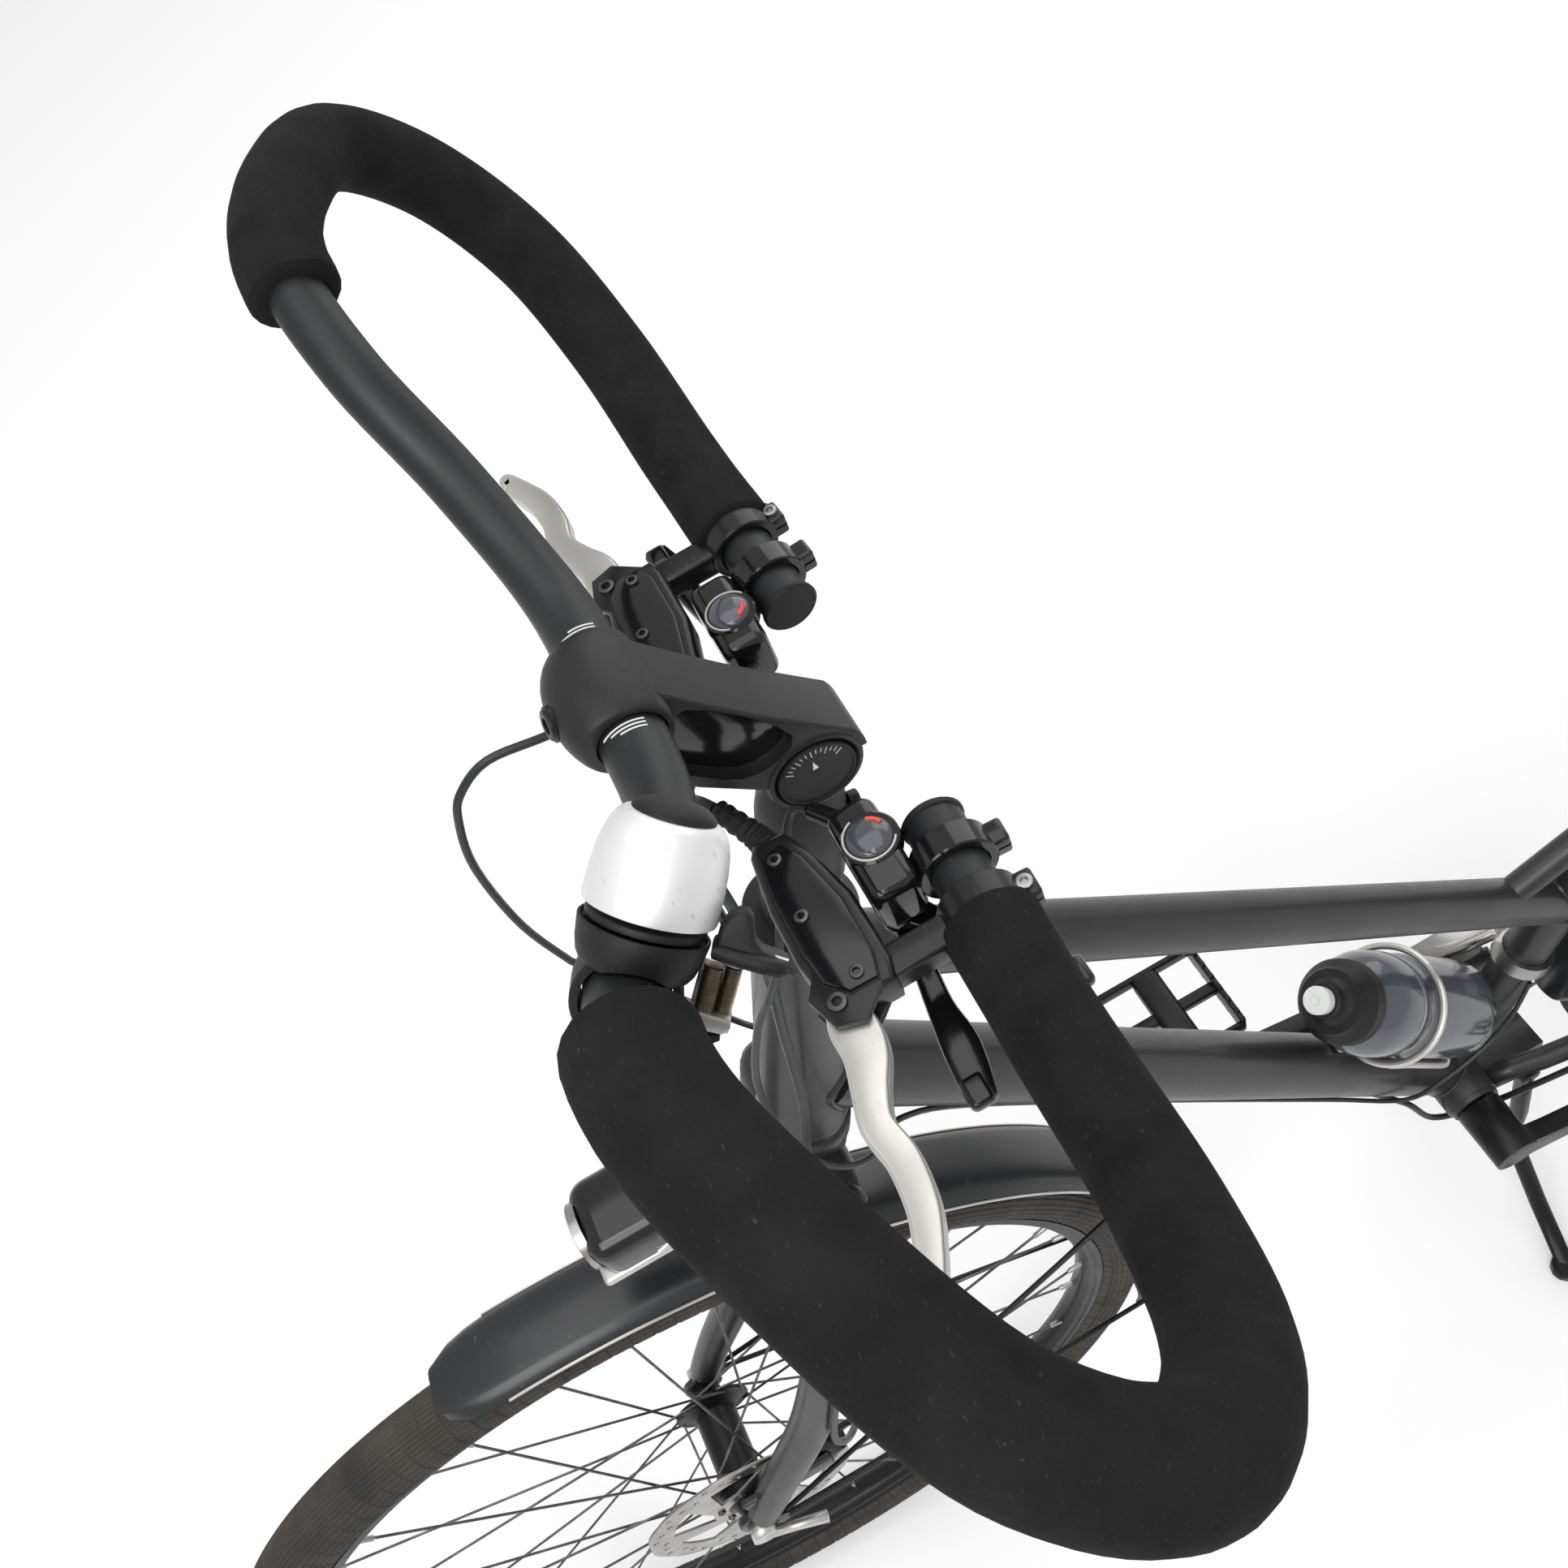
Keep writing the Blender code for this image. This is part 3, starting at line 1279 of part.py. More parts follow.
def bell_base():
    """The bell's clamp round the front arm, its round deck and the post that holds the cup."""
    ring_half = 0.0060
    profile = (
        (-ring_half, BAND_BORE),
        (-ring_half, BAND_RADIUS),
        (ring_half, BAND_RADIUS),
        (ring_half, BAND_BORE),
    )
    ring = turned(profile, 16, BELL_SEAT, BELL_TANGENT, ring=True)
    lug = block(
        (0.014, 2 * ring_half, 0.016),
        BELL_SEAT + BELL_LEVER_WAY * 0.0190,
        BELL_LEVER_WAY,
        BELL_UP,
        bevel=0.0015,
        segments=1,
    )
    deck = (
        (0.0100, 0),
        (0.0100, 0.0105),
        (0.0122, BELL_BASE_RADIUS - 0.0015),
        (BELL_DECK, BELL_BASE_RADIUS),
        (BELL_DECK, 0.0040),
        (BELL_LIP + BELL_HEIGHT - BELL_WALL - GAP, 0.0040),
        (BELL_LIP + BELL_HEIGHT - BELL_WALL - GAP, 0),
    )
    disc = turned(deck, 16, BELL_SEAT, BELL_UP)
    room = rod(
        BELL_SEAT - BELL_TANGENT * 0.03, BELL_SEAT + BELL_TANGENT * 0.03, BAND_BORE + 0.0004, 16
    )
    return joined(cut(joined(disc, lug), room), ring)


def bell_cup():
    """The bell's metal cup, open below, with its low domed cap."""
    top = BELL_LIP + BELL_HEIGHT
    profile = (
        (BELL_LIP, BELL_RADIUS - BELL_WALL),
        (BELL_LIP, BELL_RADIUS),
        (BELL_LIP + 0.010, BELL_RADIUS - 0.0006),
        (BELL_LIP + 0.020, BELL_RADIUS - 0.0024),
        (top - 0.002, BELL_RADIUS - 0.0046),
        (top, BELL_RADIUS - 0.0066),
        (top + 0.0022, BELL_RADIUS - 0.0100),
        (top + 0.0032, 0),
    )
    inside = (
        (top - BELL_WALL, 0),
        (top - BELL_WALL, BELL_RADIUS - 0.0080),
        (BELL_LIP + 0.020, BELL_RADIUS - 0.0024 - BELL_WALL),
    )
    return turned(inside + profile, 18, BELL_SEAT, BELL_UP)


def bell_lever():
    """The bell's thumb lever, whose ring turns on the post between the deck and the cup."""
    low = BELL_DECK + GAP
    half = 0.0055
    outline = (
        (0.006, -half),
        (0.020, -half - 0.002),
        (BELL_LEVER_REACH - 0.005, -0.0095),
        (BELL_LEVER_REACH, -0.006),
        (BELL_LEVER_REACH, 0.006),
        (BELL_LEVER_REACH - 0.005, 0.0095),
        (0.020, half + 0.002),
        (0.006, half),
    )
    tab = plate(outline, low, low + 0.0026, BELL_SEAT, BELL_LEVER_WAY, BELL_UP)
    disc = rod(BELL_SEAT + BELL_UP * low, BELL_SEAT + BELL_UP * (low + 0.0026), 0.0140, 14)
    hook = block(
        (0.009, 0.008, 0.014),
        BELL_SEAT + BELL_LEVER_WAY * (BELL_RADIUS + 0.0063) + BELL_UP * (low + 0.0048),
        BELL_LEVER_WAY,
        BELL_UP,
        bevel=0.001,
        segments=1,
    )
    hole = rod(BELL_SEAT, BELL_SEAT + BELL_UP * BELL_LIP, 0.0040 + RUNNING_GAP, 16)
    return cut(joined(tab, disc, hook), hole)


CRANK_WAY = Vector((cos(CRANK_ANGLE), 0, sin(CRANK_ANGLE)))
CRANK_SIDE = Vector((-sin(CRANK_ANGLE), 0, cos(CRANK_ANGLE)))


def crank_arm(side):
    """A crank arm, thick at its boss and slim at the eye of its pedal."""
    way = CRANK_WAY * (-side)
    outline = (
        (0, -0.0160),
        (0.030, -0.0125),
        (CRANK_LENGTH - 0.020, -0.0095),
        (CRANK_LENGTH, -0.0120),
        (CRANK_LENGTH + 0.010, -0.0085),
        (CRANK_LENGTH + 0.0135, 0),
        (CRANK_LENGTH + 0.010, 0.0085),
        (CRANK_LENGTH, 0.0120),
        (CRANK_LENGTH - 0.020, 0.0095),
        (0.030, 0.0125),
        (0, 0.0160),
    )
    arm = plate(outline, CRANK_INNER, CRANK_OUTER, BRACKET, way, LEFT)
    return arm if side > 0 else mirrored(arm)


def crank_left():
    """The left crank arm with the spindle that runs through the shell."""
    arm = crank_arm(1)
    spindle = rod(
        BRACKET - LEFT * (CRANK_OUTER - 0.002), BRACKET + LEFT * CRANK_INNER, SPINDLE_RADIUS, 20
    )
    boss = rod(
        BRACKET + LEFT * (CUP_END + 0.002),
        BRACKET + LEFT * (CRANK_OUTER + 0.0010),
        CRANK_BOSS_RADIUS,
        20,
    )
    return joined(arm, spindle, boss)


def ring_profile(at, half, low, high):
    """The section of a flat ring square to the left-right axis."""
    return ((at - half, low), (at + half, low), (at + half, high), (at - half, high))


def crankset():
    """The right crank arm with its boss, four-armed spider and two chainrings."""
    arm = crank_arm(-1)
    boss_end = CRANK_OUTER + 0.0010
    boss = rod(
        BRACKET - LEFT * boss_end, BRACKET - LEFT * (CUP_END + 0.002), CRANK_BOSS_RADIUS, 20
    )
    outer_radius = RING_PITCH_RADIUS - CHAIN_HALF_HEIGHT - CHAIN_CLEARANCE
    outer = turned(ring_profile(RING_AT, 0.0015, 0.057, outer_radius), 32, BRACKET, ring=True)
    inner_profile = ring_profile(INNER_RING_AT, 0.00125, 0.047, INNER_RING_RADIUS)
    inner = turned(inner_profile, 20, BRACKET, ring=True)
    parts = [boss, outer, inner]
    spider = []
    for index in range(4):
        angle = CRANK_ANGLE + pi / 4 + index * pi / 2
        for reach, aside in ((0.020, -0.013), (0.0635, -0.0078), (0.0635, 0.0078), (0.020, 0.013)):
            corner = around(Vector(), reach, angle) + around(Vector(), aside, angle + pi / 2)
            spider.append((corner.x, -corner.z))
        bolt = around(BRACKET, 0.0592, angle)
        start, end = LEFT * (RING_AT - 0.008), LEFT * (INNER_RING_AT + 0.002)
        parts.append(rod(bolt + start, bolt + end, 0.0042, 8))
    parts.append(plate(spider, RING_AT - 0.0065, RING_AT - 0.0010, BRACKET, AHEAD, LEFT))
    bore = rod(
        BRACKET - LEFT * (CRANK_OUTER - 0.001),
        BRACKET - LEFT * 0.02,
        SPINDLE_RADIUS + RUNNING_GAP,
        20,
    )
    return cut(joined(arm, *parts), bore)


def pedal(side):
    """A flat pedal: an axle with a cage round it that has a window on each side of the axle."""
    eye = BRACKET + CRANK_WAY * CRANK_LENGTH * (-side)
    start = CRANK_OUTER + RUNNING_GAP
    middle = CRANK_OUTER + 0.006 + PEDAL_WIDTH / 2
    cage = block(
        (PEDAL_LENGTH, PEDAL_WIDTH, PEDAL_THICKNESS), eye + LEFT * middle, bevel=0.005, segments=1
    )
    windows = []
    for way in (1, -1):
        reach = PEDAL_LENGTH / 2 - 0.008
        centre = eye + AHEAD * way * (0.011 + reach) / 2 + LEFT * middle
        size = (reach - 0.011, PEDAL_WIDTH - 0.018, PEDAL_THICKNESS * 2)
        windows.append(block(size, centre, bevel=0.003, segments=1))
    axle = rod(eye + LEFT * start, eye + LEFT * (middle + PEDAL_WIDTH / 2 - 0.004), 0.0075, 16)
    shape = joined(cut(cage, *windows), axle)
    return shape if side > 0 else mirrored(shape)


GUIDE_PULLEY = REAR_AXLE + Vector((0.003, 0, -0.0680))
TENSION_PULLEY = GUIDE_PULLEY + Vector((0.022, 0, -0.0515))
HANGER = REAR_AXLE + Vector((-0.004, 0, -0.030))
CAGE_SIDE = CHAIN_HALF_WIDTH + 0.0030
CAGE_PLATE = 0.0020
# Centre, pitch radius and sense of each wheel that the chain runs round, seen from the right.
CHAIN_WHEELS = (
    (BRACKET, RING_PITCH_RADIUS, -1, RING_AT),
    (TENSION_PULLEY, PULLEY_PITCH_RADIUS, -1, SPROCKET_AT),
    (GUIDE_PULLEY, PULLEY_PITCH_RADIUS, 1, SPROCKET_AT),
    (REAR_AXLE, SPROCKET_PITCH_RADIUS, -1, SPROCKET_AT),
)


def tangent(first, second):
    """The angles at which a straight run leaves one wheel and meets the next."""
    centre, radius, sense, _ = first
    next_centre, next_radius, next_sense, _ = second
    away = next_centre - centre
    lean = acos((sense * radius - next_sense * next_radius) / hypot(away.x, away.z))
    normal = atan2(away.z, away.x) - lean
    leave = normal if sense > 0 else normal + pi
    meet = normal if next_sense > 0 else normal + pi
    return leave, meet


def chain():
    """The chain: one closed belt round the ring, the two pulleys and the sprocket."""
    runs = []
    count = len(CHAIN_WHEELS)
    for index, wheel in enumerate(CHAIN_WHEELS):
        before = CHAIN_WHEELS[index - 1]
        after = CHAIN_WHEELS[(index + 1) % count]
        start = tangent(before, wheel)[1]
        end = tangent(wheel, after)[0]
        sense = wheel[2]
        sweep = ((end - start) * sense) % (2 * pi)
        steps = max(2, ceil(sweep / radians(14)))
        for step in range(steps + 1):
            angle = start + sense * sweep * step / steps
            runs.append((wheel, angle))
    sections = []
    for (centre, radius, sense, at), angle in runs:
        way = around(Vector(), 1, angle) * sense
        middle = around(centre, radius, angle, at)
        high = middle + way * CHAIN_HALF_HEIGHT
        low = middle - way * CHAIN_HALF_HEIGHT
        wide = LEFT * CHAIN_HALF_WIDTH
        sections.append((high + wide, high - wide, low - wide, low + wide))
    return loft(sections, closed=True)


def derailleur_cage():
    """The sprung cage of the rear derailleur with its two pulleys."""
    inner_at = SPROCKET_AT + CAGE_SIDE
    outer_at = SPROCKET_AT - CAGE_SIDE
    way = TENSION_PULLEY - GUIDE_PULLEY
    reach = way.length
    outline = (
        (-0.010, -0.005), (-0.006, -0.010), (0.006, -0.010), (reach - 0.004, -0.008),
        (reach + 0.008, -0.005), (reach + 0.008, 0.005), (reach - 0.004, 0.008),
        (0.006, 0.010), (-0.006, 0.010), (-0.010, 0.005),
    )
    plates = [
        plate(outline, low, low + CAGE_PLATE, GUIDE_PULLEY, way, LEFT)
        for low in (inner_at, outer_at - CAGE_PLATE)
    ]
    parts = []
    radius = PULLEY_PITCH_RADIUS - CHAIN_HALF_HEIGHT - CHAIN_CLEARANCE
    for centre in (GUIDE_PULLEY, TENSION_PULLEY):
        middle = centre + LEFT * SPROCKET_AT
        parts.append(rod(middle - LEFT * 0.002, middle + LEFT * 0.002, radius, 14))
        parts.append(rod(centre + LEFT * (outer_at - 0.001), centre + LEFT * (inner_at + 0.001), 0.004, 8))
    return joined(*plates, *parts)


def rear_derailleur():
    """The body of the rear derailleur, hung from the right dropout, with its cable adjuster."""
    face = LEFT * -(REAR_HUB_HALF + RUNNING_GAP + DROPOUT_THICKNESS + GAP)
    bolt = rod(HANGER + face, HANGER + face - LEFT * 0.0155, 0.0095, 16)
    cage_face = LEFT * (SPROCKET_AT - CAGE_SIDE - CAGE_PLATE - GAP)
    knuckle = rod(GUIDE_PULLEY + cage_face, GUIDE_PULLEY + cage_face - LEFT * 0.024, 0.0105, 16)
    low = GUIDE_PULLEY + cage_face - LEFT * 0.0180
    high = HANGER + face - LEFT * 0.0095
    link = pipe([low, low.lerp(high, 0.5), high], 0.0065, 10)
    adjuster = rod(high, high + Vector((-0.018, 0, -0.009)), 0.0034, 10)
    return joined(bolt, knuckle, link, adjuster)


def front_derailleur():
    """The front derailleur: a clamp round the seat tube and a cage round the chain's upper run."""
    clamp_low, clamp_high = 0.150, 0.162
    profile = (
        (clamp_low, SEAT_TUBE_RADIUS + RUNNING_GAP),
        (clamp_low, SEAT_TUBE_RADIUS + 0.0045),
        (clamp_high, SEAT_TUBE_RADIUS + 0.0045),
        (clamp_high, SEAT_TUBE_RADIUS + RUNNING_GAP),
    )
    clamp = turned(profile, 20, BRACKET, SEAT_UP, ring=True)
    top = BRACKET.z + RING_PITCH_RADIUS + CHAIN_HALF_HEIGHT + 0.012
    centre = BRACKET + Vector((-0.030, RING_AT, 0))
    half = CHAIN_HALF_WIDTH + 0.0045
    height = 0.036
    parts = []
    for side in (1, -1):
        middle = Vector((centre.x, RING_AT + side * half, top - height / 2))
        parts.append(block((0.056, 0.0014, height), middle))
    parts.append(block((0.056, 2 * half + 0.0014, 0.0014), Vector((centre.x, RING_AT, top))))
    start = seat_point((clamp_low + clamp_high) / 2, 0.004, -SEAT_TUBE_RADIUS - 0.0062)
    end = Vector((centre.x + 0.002, RING_AT + half, top - 0.003))
    parts.append(pipe([start, start.lerp(end, 0.5), end], 0.0052, 8))
    return joined(clamp, *parts)


def seatpost():
    """The seatpost with its head and the two rails that the saddle sits on."""
    post = rod(seat_point(SEATPOST_FOOT), seat_point(SEATPOST_HEAD), SEATPOST_RADIUS, 20)
    head = block((0.036, 0.052, 0.020), seat_point(SEATPOST_HEAD))
    rail_height = seat_point(SEATPOST_HEAD).z + 0.006
    base = saddle_base()
    parts = []
    for side in (1, -1):
        route = (
            Vector((base.x - SADDLE_LENGTH * 0.40, side * 0.034, base.z - 2 * GAP)),
            Vector((base.x - SADDLE_LENGTH * 0.36, side * 0.028, rail_height + 0.006)),
            Vector((base.x - SADDLE_LENGTH * 0.28, side * 0.023, rail_height)),
            Vector((base.x + SADDLE_LENGTH * 0.12, side * 0.022, rail_height)),
            Vector((base.x + SADDLE_LENGTH * 0.30, side * 0.012, rail_height + 0.008)),
            Vector((base.x + SADDLE_LENGTH * 0.36, side * 0.010, base.z - 2 * GAP)),
        )
        parts.append(pipe(route, 0.0035, 6))
    floor = block((0.5, 0.3, 0.05), base + UP * (0.025 - GAP))
    return cut(joined(post, head, *parts), floor)


def saddle_base():
    """The middle of the saddle's flat underside."""
    return seat_point(SEATPOST_HEAD) + Vector((-0.016, 0, SADDLE_RISE))


def saddle():
    """The saddle: broad at the back, slim at the nose and crowned along its length."""
    base = saddle_base()
    # Distance from the middle, half width and height as shares of the length, width and thickness.
    shape = (
        (-0.50, 0.42, 0.55),
        (-0.47, 0.78, 0.85),
        (-0.38, 0.98, 1.00),
        (-0.26, 1.00, 0.97),
        (-0.12, 0.78, 0.84),
        (0.02, 0.46, 0.76),
        (0.18, 0.30, 0.74),
        (0.34, 0.25, 0.74),
        (0.45, 0.21, 0.68),
        (0.50, 0.12, 0.42),
    )
    section = ((-0.86, 0), (-1.0, 0.22), (-0.94, 0.60), (-0.62, 0.92), (0, 1.0),
               (0.62, 0.92), (0.94, 0.60), (1.0, 0.22), (0.86, 0))
    loops = []
    for along, half, height in shape:
        loops.append(
            [
                base
                + Vector(
                    (
                        along * SADDLE_LENGTH,
                        wide * half * SADDLE_WIDTH / 2,
                        high * height * SADDLE_THICKNESS,
                    )
                )
                for wide, high in section
            ]
        )
    return loft(loops)


def bottle():
    """The bottle's body, from its foot to its threaded neck."""
    profile = (
        (0, 0),
        (0, BOTTLE_RADIUS - 0.004),
        (0.004, BOTTLE_RADIUS),
        (BOTTLE_LENGTH * 0.56, BOTTLE_RADIUS),
        (BOTTLE_LENGTH * 0.60, BOTTLE_RADIUS - 0.003),
        (BOTTLE_LENGTH * 0.66, BOTTLE_RADIUS - 0.003),
        (BOTTLE_LENGTH * 0.70, BOTTLE_RADIUS),
        (BOTTLE_LENGTH - 0.018, BOTTLE_RADIUS - 0.001),
        (BOTTLE_LENGTH - 0.006, BOTTLE_RADIUS - 0.006),
        (BOTTLE_LENGTH, BOTTLE_RADIUS - 0.010),
        (BOTTLE_LENGTH, 0),
    )
    return turned(profile, 20, down_point(BOTTLE_FOOT, BOTTLE_OFFSET), DOWN_TUBE_UP)


def bottle_cap():
    """The bottle's stepped cap with its nozzle."""
    low = BOTTLE_LENGTH + GAP
    profile = (
        (low, 0),
        (low, BOTTLE_RADIUS - 0.0075),
        (low + 0.012, BOTTLE_RADIUS - 0.0080),
        (low + 0.016, BOTTLE_RADIUS - 0.0130),
        (low + 0.021, BOTTLE_RADIUS - 0.0150),
        (low + 0.024, 0.0130),
        (low + 0.030, 0.0120),
        (low + 0.031, 0.0095),
        (low + CAP_LENGTH, 0.0090),
        (low + CAP_LENGTH, 0),
    )
    return turned(profile, 20, down_point(BOTTLE_FOOT, BOTTLE_OFFSET), DOWN_TUBE_UP)


def bottle_cage():
    """The bottle cage: a spine bolted to the down tube, a foot under the bottle and a hoop."""
    wire = 0.0028
    radius = BOTTLE_RADIUS + 0.0012 + wire
    hoop_profile = [
        (wire * cos(index * pi / 3), radius + wire * sin(index * pi / 3)) for index in range(6)
    ]
    hoop = turned(
        hoop_profile, 20, down_point(HOOP_AT, BOTTLE_OFFSET), DOWN_TUBE_UP, ring=True
    )
    tube_top = DOWN_TUBE_RADIUS + RUNNING_GAP
    bottle_side = BOTTLE_OFFSET - BOTTLE_RADIUS - 0.0010
    foot_at = BOTTLE_FOOT - RUNNING_GAP - wire
    spine = block(
        (bottle_side - tube_top, 0.016, 0.120),
        down_point(0.150, (tube_top + bottle_side) / 2),
        DOWN_TUBE_TOP_SIDE,
        DOWN_TUBE_UP,
    )
    parts = []
    for side in (1, -1):
        route = (
            down_point(HOOP_AT, BOTTLE_OFFSET - 0.6 * radius, side * 0.8 * radius),
            down_point(HOOP_AT - 0.035, BOTTLE_OFFSET - 0.70 * radius, side * 0.72 * radius),
            down_point(foot_at + 0.030, BOTTLE_OFFSET - 0.73 * radius, side * 0.70 * radius),
            down_point(foot_at + 0.008, BOTTLE_OFFSET - 0.74 * radius, side * 0.69 * radius),
            down_point(foot_at, BOTTLE_OFFSET - 0.69 * radius, side * 0.64 * radius),
            down_point(foot_at, BOTTLE_OFFSET - 0.45 * radius, side * 0.38 * radius),
            down_point(foot_at, BOTTLE_OFFSET + 0.05 * radius, side * 0.16 * radius),
        )
        parts.append(pipe(route, wire, 6))
    tongue = block(
        (0.044, 0.020, 2 * wire),
        down_point(foot_at, (tube_top + BOTTLE_OFFSET) / 2 + 0.002),
        DOWN_TUBE_TOP_SIDE,
        DOWN_TUBE_UP,
    )
    room = turned(
        ((foot_at + wire + GAP, 0), (foot_at + wire + GAP, BOTTLE_RADIUS + GAP * 2),
         (HOOP_AT + 0.05, BOTTLE_RADIUS + GAP * 2), (HOOP_AT + 0.05, 0)),
        24,
        down_point(0, BOTTLE_OFFSET),
        DOWN_TUBE_UP,
    )
    return cut(joined(spine, hoop, tongue, *parts), room)


def cable(route, radius):
    """A cable or hose along its route."""
    return pipe(thinned(smooth(route, 2)), radius, 6)


def front_brake_hose():
    """The hose from the right brake lever down behind the fork to the front caliper."""
    end = around(FRONT_AXLE, ROTOR_RADIUS + 0.0135, FRONT_CALIPER_ANGLE, 0.040)
    route = (
        (0.3869, -0.0106, 1.0675),
        (0.390, -0.003, 1.071),
        (0.395, 0.007, 1.0745),
        (0.400, 0.022, 1.062),
        (0.400, 0.031, 1.035),
        (0.403, 0.0300, 0.977),
        (0.411, 0.0300, 0.928),
        (0.422, 0.0335, 0.865),
        (0.434, 0.040, 0.828),
        (0.443, 0.055, 0.797),
        (0.444, 0.0665, 0.760),
        (0.468, 0.0690, 0.680),
        (0.492, 0.0700, 0.610),
        (0.526, 0.0725, 0.510),
        (0.527, 0.0690, 0.470),
        (0.5225, 0.0560, 0.438),
        (0.526, 0.0440, 0.4115),
        end + around(Vector(), 0.006, FRONT_CALIPER_ANGLE),
        end,
    )
    return cable(route, HOSE_RADIUS)


def rear_brake_hose():
    """The hose from the left brake lever under the down tube to the rear caliper."""
    end = around(REAR_AXLE, ROTOR_RADIUS + 0.0135, REAR_CALIPER_ANGLE, 0.050)
    under = -DOWN_TUBE_RADIUS - HOSE_RADIUS - RUNNING_GAP
    route = (
        (0.3869, 0.0106, 1.0670),
        (0.390, 0.003, 1.064),
        (0.394, -0.006, 1.058),
        (0.400, -0.018, 1.050),
        (0.408, -0.033, 1.020),
        (0.409, -0.040, 0.970),
        (0.412, -0.040, 0.920),
        (0.410, -0.037, 0.870),
        (0.400, -0.034, 0.825),
        (0.398, -0.030, 0.795),
        (0.396, -0.014, 0.768),
        down_point(0.600, under - 0.004),
        down_point(0.560, under),
        down_point(0.350, under),
        down_point(0.130, under),
        (0.075, 0.006, 0.335),
        (0.047, 0.016, 0.295),
        (0.029, 0.024, 0.259),
        (0, 0.030, 0.2470),
        (-0.030, 0.040, 0.262),
        (-0.080, 0.052, 0.285),
        (-0.120, 0.058, 0.300),
        (-0.250, 0.061, 0.325),
        (-0.290, 0.062, 0.350),
        (-0.320, 0.058, 0.375),
        end + around(Vector(), 0.020, REAR_CALIPER_ANGLE),
        end,
    )
    return cable(route, HOSE_RADIUS)


def shift_cable_right():
    """The rear gear cable, in a wide arc ahead of the stem and then under the down tube."""
    under = -DOWN_TUBE_RADIUS - CABLE_RADIUS
    route = (
        (0.3573, -0.0286, 1.0632),
        (0.3625, -0.0235, 1.0670),
        (0.3710, -0.0260, 1.0735),
        (0.3800, -0.0340, 1.0785),
        (0.392, -0.040, 1.083),
        (0.410, -0.042, 1.0865),
        (0.430, -0.040, 1.092),
        (0.452, -0.040, 1.096),
        (0.467, -0.040, 1.088),
        (0.475, -0.040, 1.075),
        (0.483, -0.040, 1.044),
        (0.484, -0.038, 0.998),
        (0.478, -0.036, 0.959),
        (0.470, -0.032, 0.945),
        (0.452, -0.034, 0.895),
        (0.437, -0.036, 0.845),
        (0.430, -0.041, 0.815),
        (0.418, -0.040, 0.790),
        (0.402, -0.028, 0.766),
        down_point(0.560, under, -0.0095),
        down_point(0.350, under, -0.0095),
        down_point(0.110, under, -0.0095),
        (0.047, -0.0165, 0.293),
        (0.029, -0.0240, 0.258),
        (0, -0.029, 0.2475),
        (-0.050, -0.031, 0.262),
        (-0.100, -0.036, 0.274),
        (-0.250, -0.052, 0.298),
        (-0.360, -0.066, 0.316),
        (-0.395, -0.084, 0.300),
        (-0.440, -0.0945, 0.290),
        (-0.477, -0.0945, 0.289),
        (-0.493, -0.087, 0.298),
        (-0.486, -0.0830, 0.3065),
        HANGER + Vector((-0.0190, -0.0823, -0.0095)),
    )
    return cable(route, CABLE_RADIUS)


def shift_cable_left():
    """The front gear cable, under the down tube and up beside the seat tube."""
    under = -DOWN_TUBE_RADIUS - CABLE_RADIUS
    route = (
        (0.3573, 0.0286, 1.0632),
        (0.3625, 0.0235, 1.0600),
        (0.370, 0.0265, 1.0500),
        (0.380, 0.031, 1.032),
        (0.395, 0.040, 1.000),
        (0.408, 0.041, 0.976),
        (0.420, 0.037, 0.950),
        (0.434, 0.034, 0.902),
        (0.437, 0.043, 0.862),
        (0.430, 0.051, 0.835),
        (0.415, 0.050, 0.808),
        (0.398, 0.034, 0.780),
        (0.387, 0.018, 0.757),
        down_point(0.550, under, 0.0095),
        down_point(0.350, under, 0.0095),
        down_point(0.160, under, 0.0120),
        (0.062, 0.0278, 0.352),
        (0.030, 0.029, 0.350),
        (-0.005, 0.027, 0.362),
        (-0.030, 0.0235, 0.385),
        seat_point(0.1470, 0.006, 0.0192),
    )
    return cable(route, CABLE_RADIUS)


def body_origins():
    """Where each body turns or slides, with the body that carries it."""
    pivot = control_point(*BLADE_PIVOT)
    post = control_point(*LEVER_POST_AT)
    pedal_reach = CRANK_OUTER + 0.006 + PEDAL_WIDTH / 2
    other = Vector((1, -1, 1))
    return {
        "frame": (Vector(), None),
        "saddle_body": (seat_point(SEAT_TUBE_LENGTH), "frame"),
        "bottle_body": (down_point(BOTTLE_FOOT, BOTTLE_OFFSET), "frame"),
        "stand": (STAND_PIVOT, "frame"),
        "rear_wheel": (REAR_AXLE, "frame"),
        "cage_body": (GUIDE_PULLEY, "frame"),
        "crank": (BRACKET, "frame"),
        "pedal_body_left": (BRACKET - CRANK_WAY * CRANK_LENGTH + LEFT * pedal_reach, "crank"),
        "pedal_body_right": (BRACKET + CRANK_WAY * CRANK_LENGTH - LEFT * pedal_reach, "crank"),
        "steering": (steer_point(FORK_LENGTH), "frame"),
        "front_wheel": (FRONT_AXLE, "steering"),
        "bar": (STEM_PIVOT, "steering"),
        "blade_left": (pivot, "bar"),
        "blade_right": (pivot * other, "bar"),
        "bell_thumb": (BELL_SEAT + BELL_UP * BELL_DECK, "bar"),
        "thumb_body_left": (post, "bar"),
        "thumb_body_right": (post * other, "bar"),
        "trigger_body_left": (post, "bar"),
        "trigger_body_right": (post * other, "bar"),
    }


